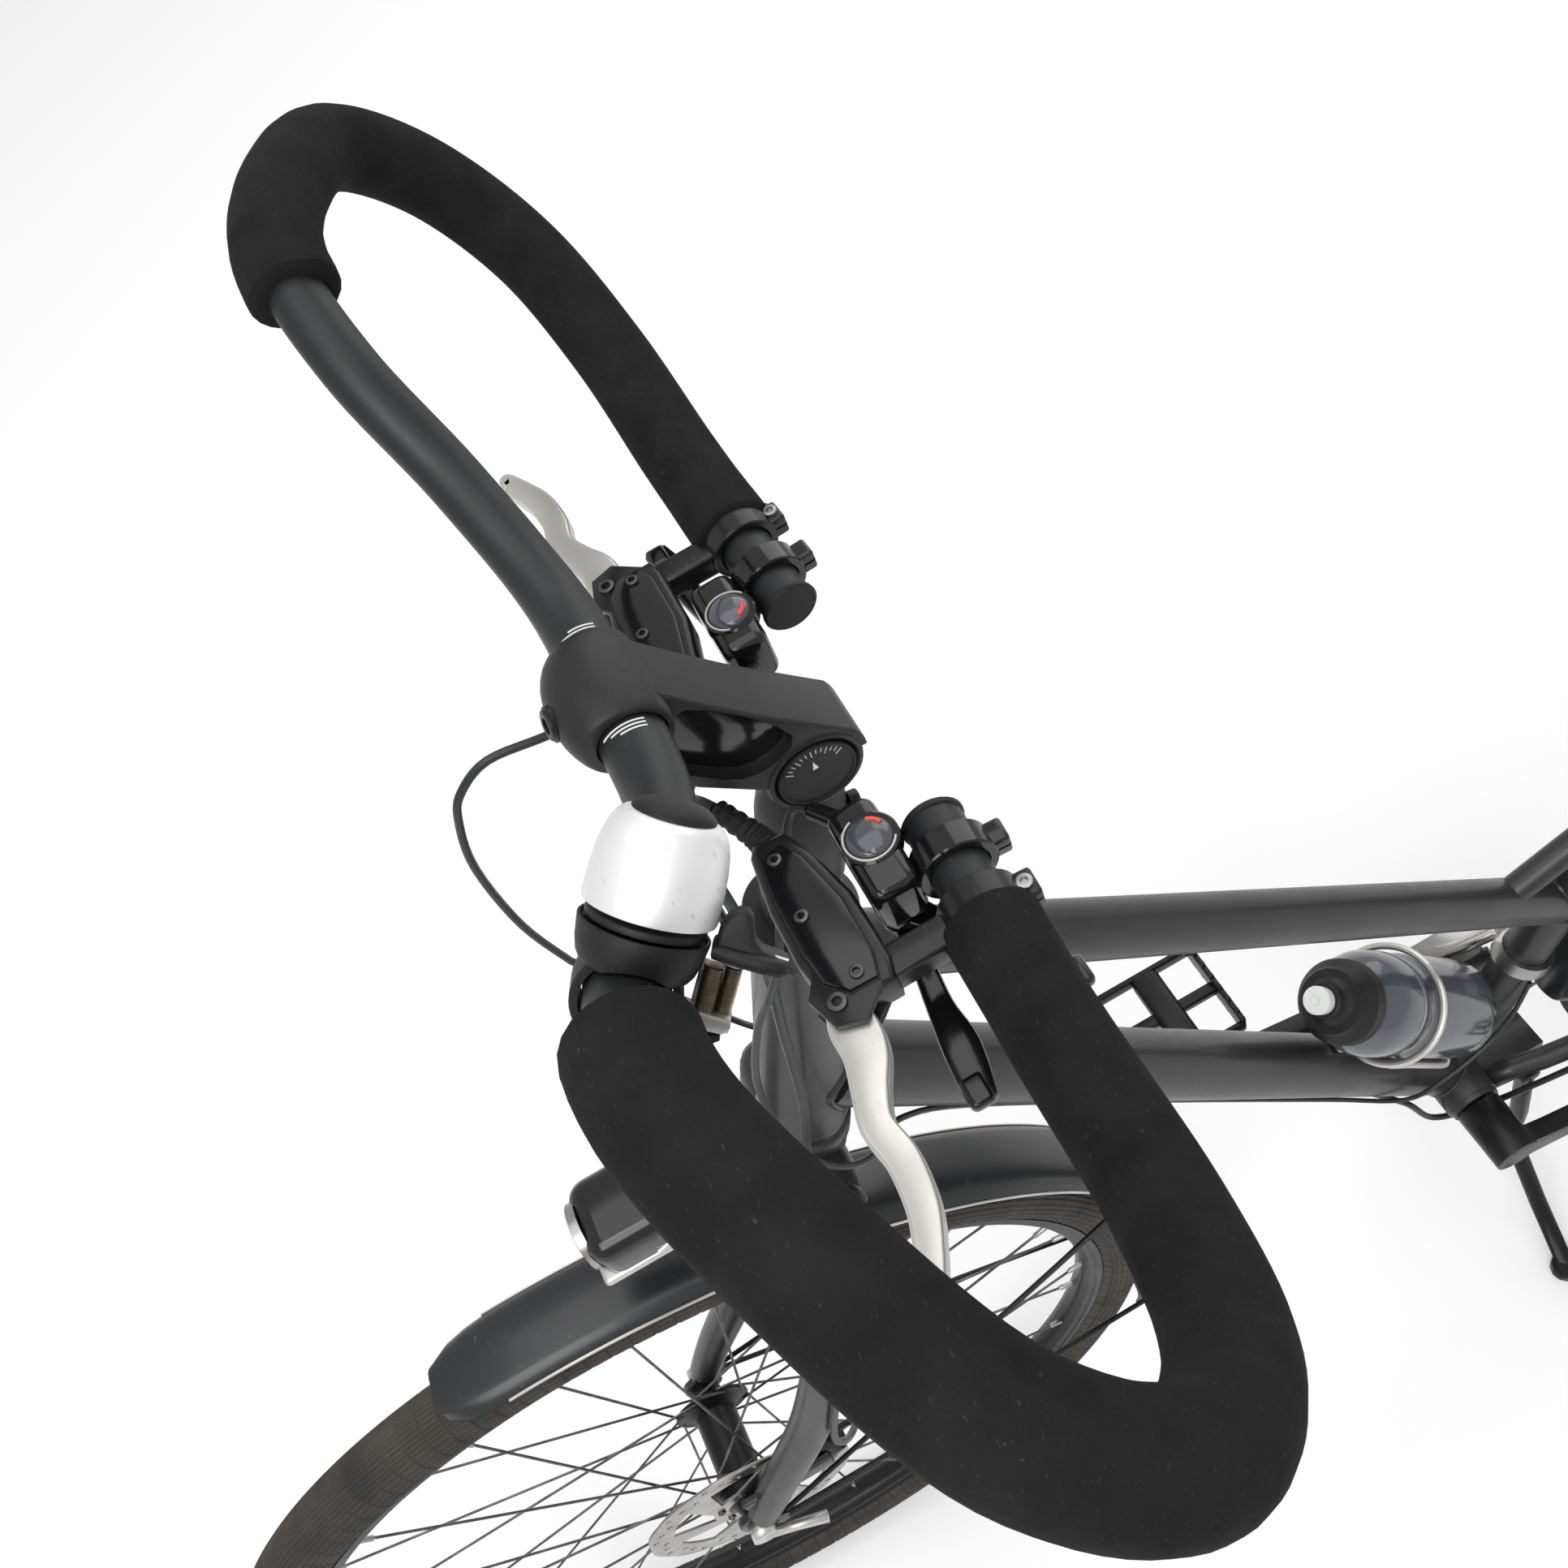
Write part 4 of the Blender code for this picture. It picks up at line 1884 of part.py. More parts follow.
def pieces():
    """Every piece: its name, the body that carries it, its finish and its shape."""
    return (
        ("head_tube", "frame", "frame_paint", head_tube()),
        ("top_tube", "frame", "frame_paint", top_tube()),
        ("down_tube", "frame", "frame_paint", down_tube()),
        ("seat_tube", "frame", "frame_paint", seat_tube()),
        ("bb_shell", "frame", "frame_paint", bb_shell()),
        ("stays_left", "frame", "frame_paint", stays(1)),
        ("stays_right", "frame", "frame_paint", stays(-1)),
        ("rear_fender", "frame", "black_plastic", rear_fender()),
        ("bottle_cage", "frame", "silver", bottle_cage()),
        ("rear_caliper", "frame", "black_metal", rear_caliper()),
        ("rear_derailleur", "frame", "black_metal", rear_derailleur()),
        ("front_derailleur", "frame", "steel", front_derailleur()),
        ("chain", "frame", "steel", chain()),
        ("rear_skewer", "frame", "silver", skewer(REAR_AXLE, REAR_HUB_HALF + 0.0055)),
        ("rear_brake_hose", "frame", "rubber", rear_brake_hose()),
        ("shift_cable_left", "frame", "rubber", shift_cable_left()),
        ("shift_cable_right", "frame", "rubber", shift_cable_right()),
        ("seatpost", "saddle_body", "black_metal", seatpost()),
        ("saddle", "saddle_body", "saddle_cover", saddle()),
        ("bottle", "bottle_body", "bottle_plastic", bottle()),
        ("bottle_cap", "bottle_body", "black_plastic", bottle_cap()),
        ("kickstand", "stand", "black_metal", kickstand()),
        ("rear_tyre", "rear_wheel", "rubber", tyre(REAR_AXLE)),
        ("rear_rim", "rear_wheel", "black_metal", rim(REAR_AXLE, REAR_FLANGES)),
        ("rear_hub", "rear_wheel", "steel", rear_hub()),
        ("cassette", "rear_wheel", "steel", cassette()),
        ("derailleur_cage", "cage_body", "steel", derailleur_cage()),
        ("crankset", "crank", "black_metal", crankset()),
        ("crank_left", "crank", "black_metal", crank_left()),
        ("pedal_left", "pedal_body_left", "black_metal", pedal(1)),
        ("pedal_right", "pedal_body_right", "black_metal", pedal(-1)),
        ("fork", "steering", "frame_paint", fork()),
        ("stem_post", "steering", "black_metal", stem_post()),
        ("front_fender", "steering", "black_plastic", front_fender()),
        ("headlight", "steering", "black_plastic", headlight()),
        ("front_caliper", "steering", "black_metal", front_caliper()),
        ("front_skewer", "steering", "silver", skewer(FRONT_AXLE, FRONT_HUB_HALF + 0.0065)),
        ("front_brake_hose", "steering", "rubber", front_brake_hose()),
        ("front_tyre", "front_wheel", "rubber", tyre(FRONT_AXLE)),
        ("front_rim", "front_wheel", "black_metal", rim(FRONT_AXLE, FRONT_FLANGES)),
        ("front_hub", "front_wheel", "black_metal", front_hub()),
        ("front_rotor", "front_wheel", "steel", front_rotor()),
        ("stem_arm", "bar", "black_metal", stem_arm()),
        ("stem_dial", "bar", "black_metal", stem_dial()),
        ("handlebar", "bar", "black_metal", handlebar()),
        ("foam_grip_left", "bar", "foam", foam_grip()),
        ("foam_grip_right", "bar", "foam", mirrored(foam_grip())),
        ("brake_body_left", "bar", "black_plastic", brake_body()),
        ("brake_body_right", "bar", "black_plastic", mirrored(brake_body())),
        ("shifter_left", "bar", "black_plastic", shifter()),
        ("shifter_right", "bar", "black_plastic", mirrored(shifter())),
        ("bell_base", "bar", "black_plastic", bell_base()),
        ("bell_cup", "bar", "satin_silver", bell_cup()),
        ("brake_blade_left", "blade_left", "silver", brake_blade()),
        ("brake_blade_right", "blade_right", "silver", mirrored(brake_blade())),
        ("bell_lever", "bell_thumb", "black_plastic", bell_lever()),
        ("thumb_left", "thumb_body_left", "black_plastic", thumb_lever()),
        ("thumb_right", "thumb_body_right", "black_plastic", mirrored(thumb_lever())),
        ("trigger_left", "trigger_body_left", "black_plastic", trigger_lever()),
        ("trigger_right", "trigger_body_right", "black_plastic", mirrored(trigger_lever())),
    )


def finish_material(name, finish):
    """The material of one piece."""
    colour, metallic, roughness = FINISHES[finish]
    material = bpy.data.materials.new(name)
    material.use_nodes = True
    shader = material.node_tree.nodes["Principled BSDF"]
    shader.inputs["Base Color"].default_value = (*colour, 1)
    shader.inputs["Metallic"].default_value = metallic
    shader.inputs["Roughness"].default_value = roughness
    return material


def footprint(meshes):
    """The centre of the bicycle's footprint, on the ground."""
    corners = [corner.co for mesh in meshes for corner in mesh.vertices]
    low = Vector([min(corner[axis] for corner in corners) for axis in range(3)])
    high = Vector([max(corner[axis] for corner in corners) for axis in range(3)])
    return Vector(((low.x + high.x) / 2, (low.y + high.y) / 2, low.z))


def main():
    """Builds every piece and hangs it on the empty of the body that carries it."""
    for obj in list(bpy.data.objects):
        bpy.data.objects.remove(obj)
    built = pieces()
    origin = footprint([shape for _, _, _, shape in built])
    empties = {}
    origins = body_origins()
    for name, (at, carrier) in origins.items():
        empty = bpy.data.objects.new(name, None)
        bpy.context.scene.collection.objects.link(empty)
        if carrier is None:
            empty.location = at - origin
        else:
            empty.parent = empties[carrier]
            empty.location = at - origins[carrier][0]
        empties[name] = empty
    for name, body, finish, shape in built:
        shape.name = name
        shape.transform(Matrix.Translation(-origins[body][0]))
        shape.shade_smooth()
        shape.set_sharp_from_angle(angle=radians(38))
        shape.materials.clear()
        shape.materials.append(finish_material(name, finish))
        obj = bpy.data.objects.new(name, shape)
        obj.parent = empties[body]
        bpy.context.scene.collection.objects.link(obj)
    print("footprint centre", tuple(round(value, 6) for value in origin))


main()
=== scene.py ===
"""The looks of a touring bicycle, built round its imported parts.

The sizes are in metres and in the drawing's own place, whose zero is on the ground under the
bottom bracket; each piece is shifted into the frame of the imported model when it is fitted.
"""

from __future__ import annotations

import logging
from collections.abc import Callable, Iterable, Sequence
from dataclasses import dataclass, field
from enum import Enum
from math import atan2, cos, floor, hypot, pi, radians, sin, tau

import bpy
from mathutils import Matrix, Vector

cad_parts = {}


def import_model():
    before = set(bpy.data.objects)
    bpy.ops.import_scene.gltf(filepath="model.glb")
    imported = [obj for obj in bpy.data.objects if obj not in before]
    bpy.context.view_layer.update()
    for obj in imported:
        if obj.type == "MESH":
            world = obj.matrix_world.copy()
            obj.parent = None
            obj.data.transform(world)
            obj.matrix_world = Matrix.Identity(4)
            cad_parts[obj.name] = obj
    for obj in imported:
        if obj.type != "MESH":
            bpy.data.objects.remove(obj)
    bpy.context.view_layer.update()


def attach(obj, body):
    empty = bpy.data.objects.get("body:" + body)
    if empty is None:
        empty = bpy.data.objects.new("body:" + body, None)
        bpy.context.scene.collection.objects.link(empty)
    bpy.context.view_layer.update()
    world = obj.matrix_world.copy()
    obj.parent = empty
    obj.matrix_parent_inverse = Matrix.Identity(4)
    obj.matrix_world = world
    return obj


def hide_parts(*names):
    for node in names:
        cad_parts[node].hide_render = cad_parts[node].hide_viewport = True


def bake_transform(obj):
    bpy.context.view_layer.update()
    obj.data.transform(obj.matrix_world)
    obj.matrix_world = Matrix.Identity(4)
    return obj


log = logging.getLogger("bicycle")

AHEAD = Vector((1, 0, 0))
LEFT = Vector((0, 1, 0))
UP = Vector((0, 0, 1))
ORIGIN = Vector((0, 0, 0))
INTO_FRAME = Matrix.Translation((-0.078256, 0, 0))
SIDES = (1, -1)
SIDE_NAMES = {1: "left", -1: "right"}

Outline = Sequence[tuple[float, float]]
Route = Sequence[Sequence[float]]
Piece = bpy.types.Object
Socket = bpy.types.NodeSocket
Outputs = bpy.types.NodeOutputs


class Slot(Enum):
    """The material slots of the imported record."""

    FRAME_PAINT = "frame_paint"
    BLACK_METAL = "black_metal"
    BLACK_PLASTIC = "black_plastic"
    FOAM = "foam"
    TYRE = "tyre"
    CABLE = "cable_housing"
    SILVER = "silver"
    SATIN_SILVER = "satin_silver"
    STEEL = "steel"
    BOTTLE = "bottle_plastic"
    SADDLE = "saddle_cover"


class Body(Enum):
    """The bodies that pieces ride on."""

    FRAME = "frame"
    SADDLE = "saddle_body"
    BOTTLE = "bottle_body"
    STAND = "stand"
    REAR_WHEEL = "rear_wheel"
    CAGE = "cage_body"
    CRANK = "crank"
    PEDAL_LEFT = "pedal_body_left"
    PEDAL_RIGHT = "pedal_body_right"
    STEERING = "steering"
    FRONT_WHEEL = "front_wheel"
    BAR = "bar"
    BLADE_LEFT = "blade_left"
    BLADE_RIGHT = "blade_right"
    BELL_THUMB = "bell_thumb"
    THUMB_LEFT = "thumb_body_left"
    THUMB_RIGHT = "thumb_body_right"
    TRIGGER_LEFT = "trigger_body_left"
    TRIGGER_RIGHT = "trigger_body_right"

    def on(self, side: int) -> Body:
        """The body of the same name on a side: 1 is left and -1 is right."""
        return Body[self.name.rsplit("_", 1)[0] + "_" + SIDE_NAMES[side].upper()]


# Modelling


def only(piece: Piece) -> Piece:
    """Makes a piece the only selected one, and the active one."""
    bpy.ops.object.select_all(action="DESELECT")
    piece.select_set(True)
    bpy.context.view_layer.objects.active = piece
    return piece


def linked(name: str, data: bpy.types.ID) -> Piece:
    """A new object with its data, in the scene."""
    piece = bpy.data.objects.new(name, data)
    bpy.context.scene.collection.objects.link(piece)
    return piece


def turn_to(direction: Vector, roll: Vector = AHEAD) -> Matrix:
    """The rotation that carries +Z to a direction and keeps +X near a second one.

    Args:
        direction: Where +Z goes.
        roll: Where +X goes, as nearly as it can.

    Returns:
        The rotation, as a 4 by 4 matrix.
    """
    third = Vector(direction).normalized()
    first = Vector(roll) - third * third.dot(roll)
    if first.length < 1e-4:
        first = UP - third * third.dot(UP)
    first.normalize()
    return Matrix((first, third.cross(first), third)).transposed().to_4x4()


def smooth(points: Iterable[Sequence[float]], steps: int) -> list[Vector]:
    """A finer line through points, rounded between them.

    Args:
        points: The points that the line passes through.
        steps: How many stretches each gap between two points is split into.

    Returns:
        The points of the finer line.
    """
    line = [Vector(point) for point in points]
    fine = []
    for index in range(len(line) - 1):
        before = line[max(index - 1, 0)]
        start, end = line[index], line[index + 1]
        after = line[min(index + 2, len(line) - 1)]
        for step in range(steps):
            t = step / steps
            fine.append(
                0.5
                * (
                    2 * start
                    + (end - before) * t
                    + (2 * before - 5 * start + 4 * end - after) * t**2
                    + (3 * start - before - 3 * end + after) * t**3
                )
            )
    fine.append(line[-1])
    return fine


def polar(radius: float, angle: float) -> tuple[float, float]:
    """A point in a plane from its distance and its angle in radians."""
    return radius * cos(angle), radius * sin(angle)


def arc(radius: float, start: float, end: float, steps: int, x: float = 0, y: float = 0) -> list:
    """Points on an arc in a plane, its angles in degrees."""
    angles = [radians(start + (end - start) * step / steps) for step in range(steps + 1)]
    return [(x + radius * cos(angle), y + radius * sin(angle)) for angle in angles]


def circle(radius: float, steps: int = 32, x: float = 0, y: float = 0) -> list:
    """A closed circle of points in a plane."""
    return arc(radius, 0, 360, steps, x, y)[:-1]


def placed(piece: Piece, matrix: Matrix) -> Piece:
    """Moves a piece and leaves its place in its mesh."""
    only(piece)
    piece.matrix_world = matrix @ piece.matrix_world
    bpy.ops.object.transform_apply(location=True, rotation=True, scale=True)
    return piece


def tidied(piece: Piece, outside: bool = True) -> Piece:
    """Merges a piece's doubled corners and turns its faces outwards."""
    only(piece)
    bpy.ops.object.mode_set(mode="EDIT")
    bpy.ops.mesh.select_all(action="SELECT")
    bpy.ops.mesh.remove_doubles(threshold=1e-6)
    if outside:
        bpy.ops.mesh.normals_make_consistent(inside=False)
    bpy.ops.object.mode_set(mode="OBJECT")
    return piece


def lathe(
    name: str,
    profile: Outline,
    at: Vector = ORIGIN,
    axis: Vector = LEFT,
    sides: int = 48,
    looped: bool = False,
) -> Piece:
    """Turns a round piece: a circle is extruded and resized along its profile.

    Args:
        name: The piece's name.
        profile: Pairs of a height along the axis and a radius.
        at: The point of the axis that heights are measured from.
        axis: The direction of the axis.
        sides: How many sides the circle has.
        looped: True for a ring, whose profile ends where it starts.

    Returns:
        The turned piece.
    """
    bpy.ops.object.select_all(action="DESELECT")
    height, radius = profile[0]
    bpy.ops.mesh.primitive_circle_add(vertices=sides, radius=radius, location=(0, 0, height))
    piece = bpy.context.object
    piece.name = name
    bpy.ops.object.transform_apply(location=True)
    bpy.ops.object.mode_set(mode="EDIT")
    bpy.ops.mesh.select_all(action="SELECT")
    for next_height, next_radius in [*profile[1:], *profile[: 1 if looped else 0]]:
        rise = (0, 0, next_height - height)
        bpy.ops.mesh.extrude_region_move(TRANSFORM_OT_translate={"value": rise})
        share = next_radius / radius
        if abs(share - 1) > 1e-9:
            bpy.ops.transform.resize(
                value=(share, share, 1), center_override=(0, 0, next_height)
            )
        height, radius = next_height, next_radius
    bpy.ops.mesh.select_all(action="SELECT")
    bpy.ops.mesh.remove_doubles(threshold=1e-5)
    if not looped:
        bpy.ops.mesh.fill_holes(sides=0)
        bpy.ops.mesh.select_all(action="SELECT")
    bpy.ops.mesh.normals_make_consistent(inside=False)
    bpy.ops.object.mode_set(mode="OBJECT")
    return placed(piece, Matrix.Translation(at) @ turn_to(axis))


def rod(name: str, start: Vector, end: Vector, radius: float, sides: int = 24) -> Piece:
    """A straight round rod whose ends have a small chamfer."""
    long = (Vector(end) - Vector(start)).length
    edge = min(radius * 0.12, long * 0.2)
    profile = ((0, radius - edge), (edge, radius), (long - edge, radius), (long, radius - edge))
    return lathe(name, profile, Vector(start), Vector(end) - Vector(start), sides)


def as_mesh(name: str, curve: bpy.types.Curve) -> Piece:
    """Makes a curve into a closed mesh piece."""
    only(linked(name, curve))
    bpy.ops.object.convert(target="MESH")
    return tidied(bpy.context.object)


def sweep(
    name: str,
    route: Iterable[Sequence[float]],
    radius: float,
    sides: int = 16,
    scales: Sequence[float] | None = None,
) -> Piece:
    """A round tube along a route.

    Args:
        name: The piece's name.
        route: The points that its middle follows.
        radius: Its radius.
        sides: How many sides it has, a multiple of four.
        scales: A share of the radius for each point, or None for all of it everywhere.

    Returns:
        The closed tube.
    """
    line = [Vector(point) for point in route]
    curve = bpy.data.curves.new(name, "CURVE")
    curve.dimensions = "3D"
    curve.bevel_depth = radius
    curve.bevel_resolution = sides // 4 - 1
    curve.use_fill_caps = True
    spline = curve.splines.new("POLY")
    spline.points.add(len(line) - 1)
    for index, point in enumerate(line):
        spline.points[index].co = (*point, 1)
        spline.points[index].radius = scales[index] if scales else 1
    return as_mesh(name, curve)


def slab(
    name: str,
    outline: Outline,
    low: float,
    high: float,
    at: Vector = ORIGIN,
    across: Vector = AHEAD,
    up: Vector = UP,
    edge: float = 0.0005,
    holes: Sequence[Outline] = (),
) -> Piece:
    """A plate of any outline, with rounded edges and with holes.

    Args:
        name: The piece's name.
        outline: Its outline in the plane across `up`.
        low: The height of its lower face.
        high: The height of its upper face.
        at: The point that the outline and the heights are measured from.
        across: The direction of the outline's first axis.
        up: The direction of the heights.
        edge: The rounding of its edges.
        holes: The outlines of its holes.

    Returns:
        The plate.
    """
    curve = bpy.data.curves.new(name, "CURVE")
    curve.dimensions = "2D"
    curve.fill_mode = "BOTH"
    curve.extrude = (high - low) / 2 - edge
    curve.bevel_depth = edge
    curve.bevel_resolution = 3 if edge > 0.0015 else 1
    curve.offset = -edge
    for loop in (outline, *holes):
        spline = curve.splines.new("POLY")
        spline.points.add(len(loop) - 1)
        for point, (x, y) in zip(spline.points, loop):
            point.co = (x, y, 0, 1)
        spline.use_cyclic_u = True
    middle = Matrix.Translation(Vector(at)) @ turn_to(up, across)
    return placed(as_mesh(name, curve), middle @ Matrix.Translation((0, 0, (low + high) / 2)))


def brick(
    name: str,
    size: Sequence[float],
    at: Vector,
    across: Vector = AHEAD,
    up: Vector = UP,
    edge: float = 0.001,
    segments: int = 3,
) -> Piece:
    """A block with rounded edges, whose first side runs along `across` and third along `up`."""
    bpy.ops.object.select_all(action="DESELECT")
    bpy.ops.mesh.primitive_cube_add(size=1, scale=size)
    piece = bpy.context.object
    piece.name = name
    bpy.ops.object.transform_apply(scale=True)
    bpy.ops.object.mode_set(mode="EDIT")
    bpy.ops.mesh.select_all(action="SELECT")
    bpy.ops.mesh.bevel(offset=edge, segments=segments, affect="EDGES", clamp_overlap=True)
    bpy.ops.object.mode_set(mode="OBJECT")
    return placed(piece, Matrix.Translation(Vector(at)) @ turn_to(up, across))


def ribbon(route: Outline, widths: Sequence[float]) -> list[tuple[float, float]]:
    """The outline of a flat strip that follows a route and changes its width along it."""
    line = [Vector(point) for point in route]
    left, right = [], []
    for index, (point, width) in enumerate(zip(line, widths)):
        along = (line[min(index + 1, len(line) - 1)] - line[max(index - 1, 0)]).normalized()
        aside = Vector((-along.y, along.x)) * width / 2
        left.append(tuple(point + aside))
        right.append(tuple(point - aside))
    return left + right[::-1]


def rounded_outline(outline: Outline, steps: int = 4) -> list[tuple[float, float]]:
    """A closed outline drawn smooth through its points."""
    points = [(x, y, 0) for x, y in outline]
    line = smooth([points[-1], *points, points[0], points[1]], steps)
    return [tuple(point.xy) for point in line[steps:-steps]][: len(points) * steps]


def loft(name: str, sections: Sequence[Sequence[Vector]], looped: bool = False) -> Piece:
    """A skin bridged over loops that have the same number of points."""
    mesh = bpy.data.meshes.new(name)
    count = len(sections[0])
    corners = [tuple(point) for section in sections for point in section]
    edges = [
        (row * count + index, row * count + (index + 1) % count)
        for row in range(len(sections))
        for index in range(count)
    ]
    mesh.from_pydata(corners, edges, [])
    piece = only(linked(name, mesh))
    bpy.ops.object.mode_set(mode="EDIT")
    bpy.ops.mesh.select_all(action="SELECT")
    bpy.ops.mesh.bridge_edge_loops(type="CLOSED" if looped else "SINGLE", use_merge=False)
    if not looped:
        bpy.ops.mesh.select_all(action="SELECT")
        bpy.ops.mesh.fill_holes(sides=0)
    bpy.ops.mesh.select_all(action="SELECT")
    bpy.ops.mesh.normals_make_consistent(inside=False)
    bpy.ops.object.mode_set(mode="OBJECT")
    return piece


def fused(name: str, *pieces: Piece) -> Piece:
    """Several pieces as one object."""
    first = only(pieces[0])
    for other in pieces[1:]:
        other.select_set(True)
    if len(pieces) > 1:
        bpy.ops.object.join()
    first.name = name
    return first


def modified(piece: Piece, kind: str, **settings: object) -> Piece:
    """A piece with a modifier of some kind applied."""
    modifier = piece.modifiers.new(kind.lower(), kind)
    for key, value in settings.items():
        setattr(modifier, key, value)
    only(piece)
    bpy.ops.object.modifier_apply(modifier=modifier.name)
    return piece


def carved(piece: Piece, *tools: Piece) -> Piece:
    """A piece without what the tools fill; the tools are used up."""
    for tool in tools:
        modified(piece, "BOOLEAN", operation="DIFFERENCE", solver="EXACT", object=tool)
        bpy.data.objects.remove(tool)
    return piece


def reshaped(piece: Piece, place: Callable[[Vector], Vector]) -> Piece:
    """Moves each corner of a piece to where a function puts it."""
    for corner in piece.data.vertices:
        corner.co = place(corner.co.copy())
    return piece


def copied(piece: Piece, name: str, matrix: Matrix) -> Piece:
    """A moved copy of a piece, with a mesh of its own."""
    copy = piece.copy()
    copy.data = piece.data.copy()
    copy.name = name
    bpy.context.scene.collection.objects.link(copy)
    copy.data.transform(matrix)
    if matrix.determinant() < 0:
        copy.data.flip_normals()
    return copy


def mirrored(piece: Piece, name: str) -> Piece:
    """The same piece on the other side of the bicycle."""
    return copied(piece, name, Matrix.Scale(-1, 4, LEFT))


def all_round(piece: Piece, count: int, at: Vector, axis: Vector = LEFT) -> Piece:
    """A piece repeated at even steps round an axis, as one object."""
    name = piece.name
    copies = [piece]
    for index in range(1, count):
        turn = Matrix.Rotation(tau * index / count, 4, axis)
        matrix = Matrix.Translation(at) @ turn @ Matrix.Translation(-Vector(at))
        copies.append(copied(piece, name, matrix))
    return fused(name, *copies)


def around(centre: Vector, radius: float, angle: float, left: float = 0.0) -> Vector:
    """The point at an angle round a centre in the plane of the frame, and to its left."""
    return centre + Vector((cos(angle), 0, sin(angle))) * radius + LEFT * left


def screw(name: str, at: Vector, axis: Vector, radius: float, height: float) -> Piece:
    """A round screw head with a hexagonal socket."""
    edge = radius * 0.16
    profile = (
        (-0.0005, radius * 0.96), (height - edge, radius),
        (height - edge * 0.3, radius - edge * 0.3), (height, radius - edge),
        (height, radius * 0.52), (height - radius * 0.5, radius * 0.46),
        (height - radius * 0.5, radius * 0.10),
    )
    return lathe(name, profile, at, axis, 24)


# Finishes


def feed(tree: bpy.types.NodeTree, node: bpy.types.Node, **feeds: object) -> None:
    """Links inputs of a node to sockets, or sets them to values; a _ stands for a space."""
    for label, value in feeds.items():
        socket = node.inputs[label.replace("_", " ")]
        if isinstance(value, bpy.types.NodeSocket):
            tree.links.new(value, socket)
        else:
            socket.default_value = value


def added(tree: bpy.types.NodeTree, kind: str, **feeds: object) -> bpy.types.Node:
    """A new shader node with its inputs fed."""
    node = tree.nodes.new("ShaderNode" + kind)
    feed(tree, node, **feeds)
    return node


def mixed(tree: bpy.types.NodeTree, share: object, first: object, second: object) -> Socket:
    """A colour between two, by a share from 0 to 1."""
    node = tree.nodes.new("ShaderNodeMix")
    node.data_type = "RGBA"
    feed(tree, node, Factor=share, A=first, B=second)
    return node.outputs["Result"]


def node_group(
    name: str, inputs: dict[str, tuple[str, object]], outputs: dict[str, str]
) -> tuple[bpy.types.NodeTree, dict[str, Socket], bpy.types.Node]:
    """An empty shader node group with named sockets.

    Args:
        name: The group's name.
        inputs: For each input its kind of socket and its value.
        outputs: For each output its kind of socket.

    Returns:
        The group, the sockets that bring its inputs and the node that takes its outputs.
    """
    tree = bpy.data.node_groups.new(name, "ShaderNodeTree")
    for label, (kind, value) in inputs.items():
        socket = tree.interface.new_socket(label, in_out="INPUT", socket_type="NodeSocket" + kind)
        if value is not None:
            socket.default_value = value
    for label, kind in outputs.items():
        tree.interface.new_socket(label, in_out="OUTPUT", socket_type="NodeSocket" + kind)
    given = tree.nodes.new("NodeGroupInput").outputs
    return tree, {label: given[label] for label in inputs}, tree.nodes.new("NodeGroupOutput")


def noise(tree: bpy.types.NodeTree, vector: Socket, scale: Socket, detail: float = 2.0) -> Socket:
    """A noise texture whose place and scale come from two sockets."""
    return added(tree, "TexNoise", Detail=detail, Vector=vector, Scale=scale).outputs["Fac"]


def drift_group() -> bpy.types.NodeTree:
    """A colour that drifts between two, and a roughness that drifts with it."""
    inputs = {
        "Vector": ("Vector", None),
        "Scale": ("Float", 20.0),
        "Colour": ("Color", (0.5, 0.5, 0.5, 1)),
        "Deeper": ("Color", (0.4, 0.4, 0.4, 1)),
        "Smooth": ("Float", 0.3),
        "Rough": ("Float", 0.5),
    }
    tree, given, made = node_group("drift", inputs, {"Colour": "Color", "Roughness": "Float"})
    share = noise(tree, given["Vector"], given["Scale"], 4.0)
    spread = added(tree, "MapRange", From_Min=0.3, From_Max=0.7, Value=share).outputs["Result"]
    colour = mixed(tree, spread, given["Colour"], given["Deeper"])
    level = added(tree, "MapRange", Value=spread, To_Min=given["Smooth"], To_Max=given["Rough"])
    feed(tree, made, Colour=colour, Roughness=level.outputs["Result"])
    return tree


def grain_group() -> bpy.types.NodeTree:
    """The relief of a fine even grain."""
    inputs = {
        "Vector": ("Vector", None),
        "Scale": ("Float", 900.0),
        "Strength": ("Float", 0.2),
        "Depth": ("Float", 0.0002),
    }
    tree, given, made = node_group("grain", inputs, {"Normal": "Vector"})
    height = noise(tree, given["Vector"], given["Scale"])
    bump = added(tree, "Bump", Height=height, Strength=given["Strength"], Distance=given["Depth"])
    feed(tree, made, Normal=bump.outputs["Normal"])
    return tree


def speck_group() -> bpy.types.NodeTree:
    """A mask of sparse small specks and short scratches; on the bar's satin alloy the light specks are
    painted glints.
    """
    inputs = {"Vector": ("Vector", None), "Scale": ("Float", 300.0), "Amount": ("Float", 0.1)}
    tree, given, made = node_group("specks", inputs, {"Mask": "Float"})
    stretch = added(
        tree, "Mapping", Scale=(1.0, 0.25, 0.6), Rotation=(0.4, 0.2, 0.7), Vector=given["Vector"]
    )
    share = noise(tree, stretch.outputs["Vector"], given["Scale"], 3.0)
    peak = added(
        tree, "MapRange", From_Min=0.66, From_Max=0.74, Value=share, To_Max=given["Amount"]
    )
    feed(tree, made, Mask=peak.outputs["Result"])
    return tree


GROUP_MAKERS = {"drift": drift_group, "grain": grain_group, "specks": speck_group}


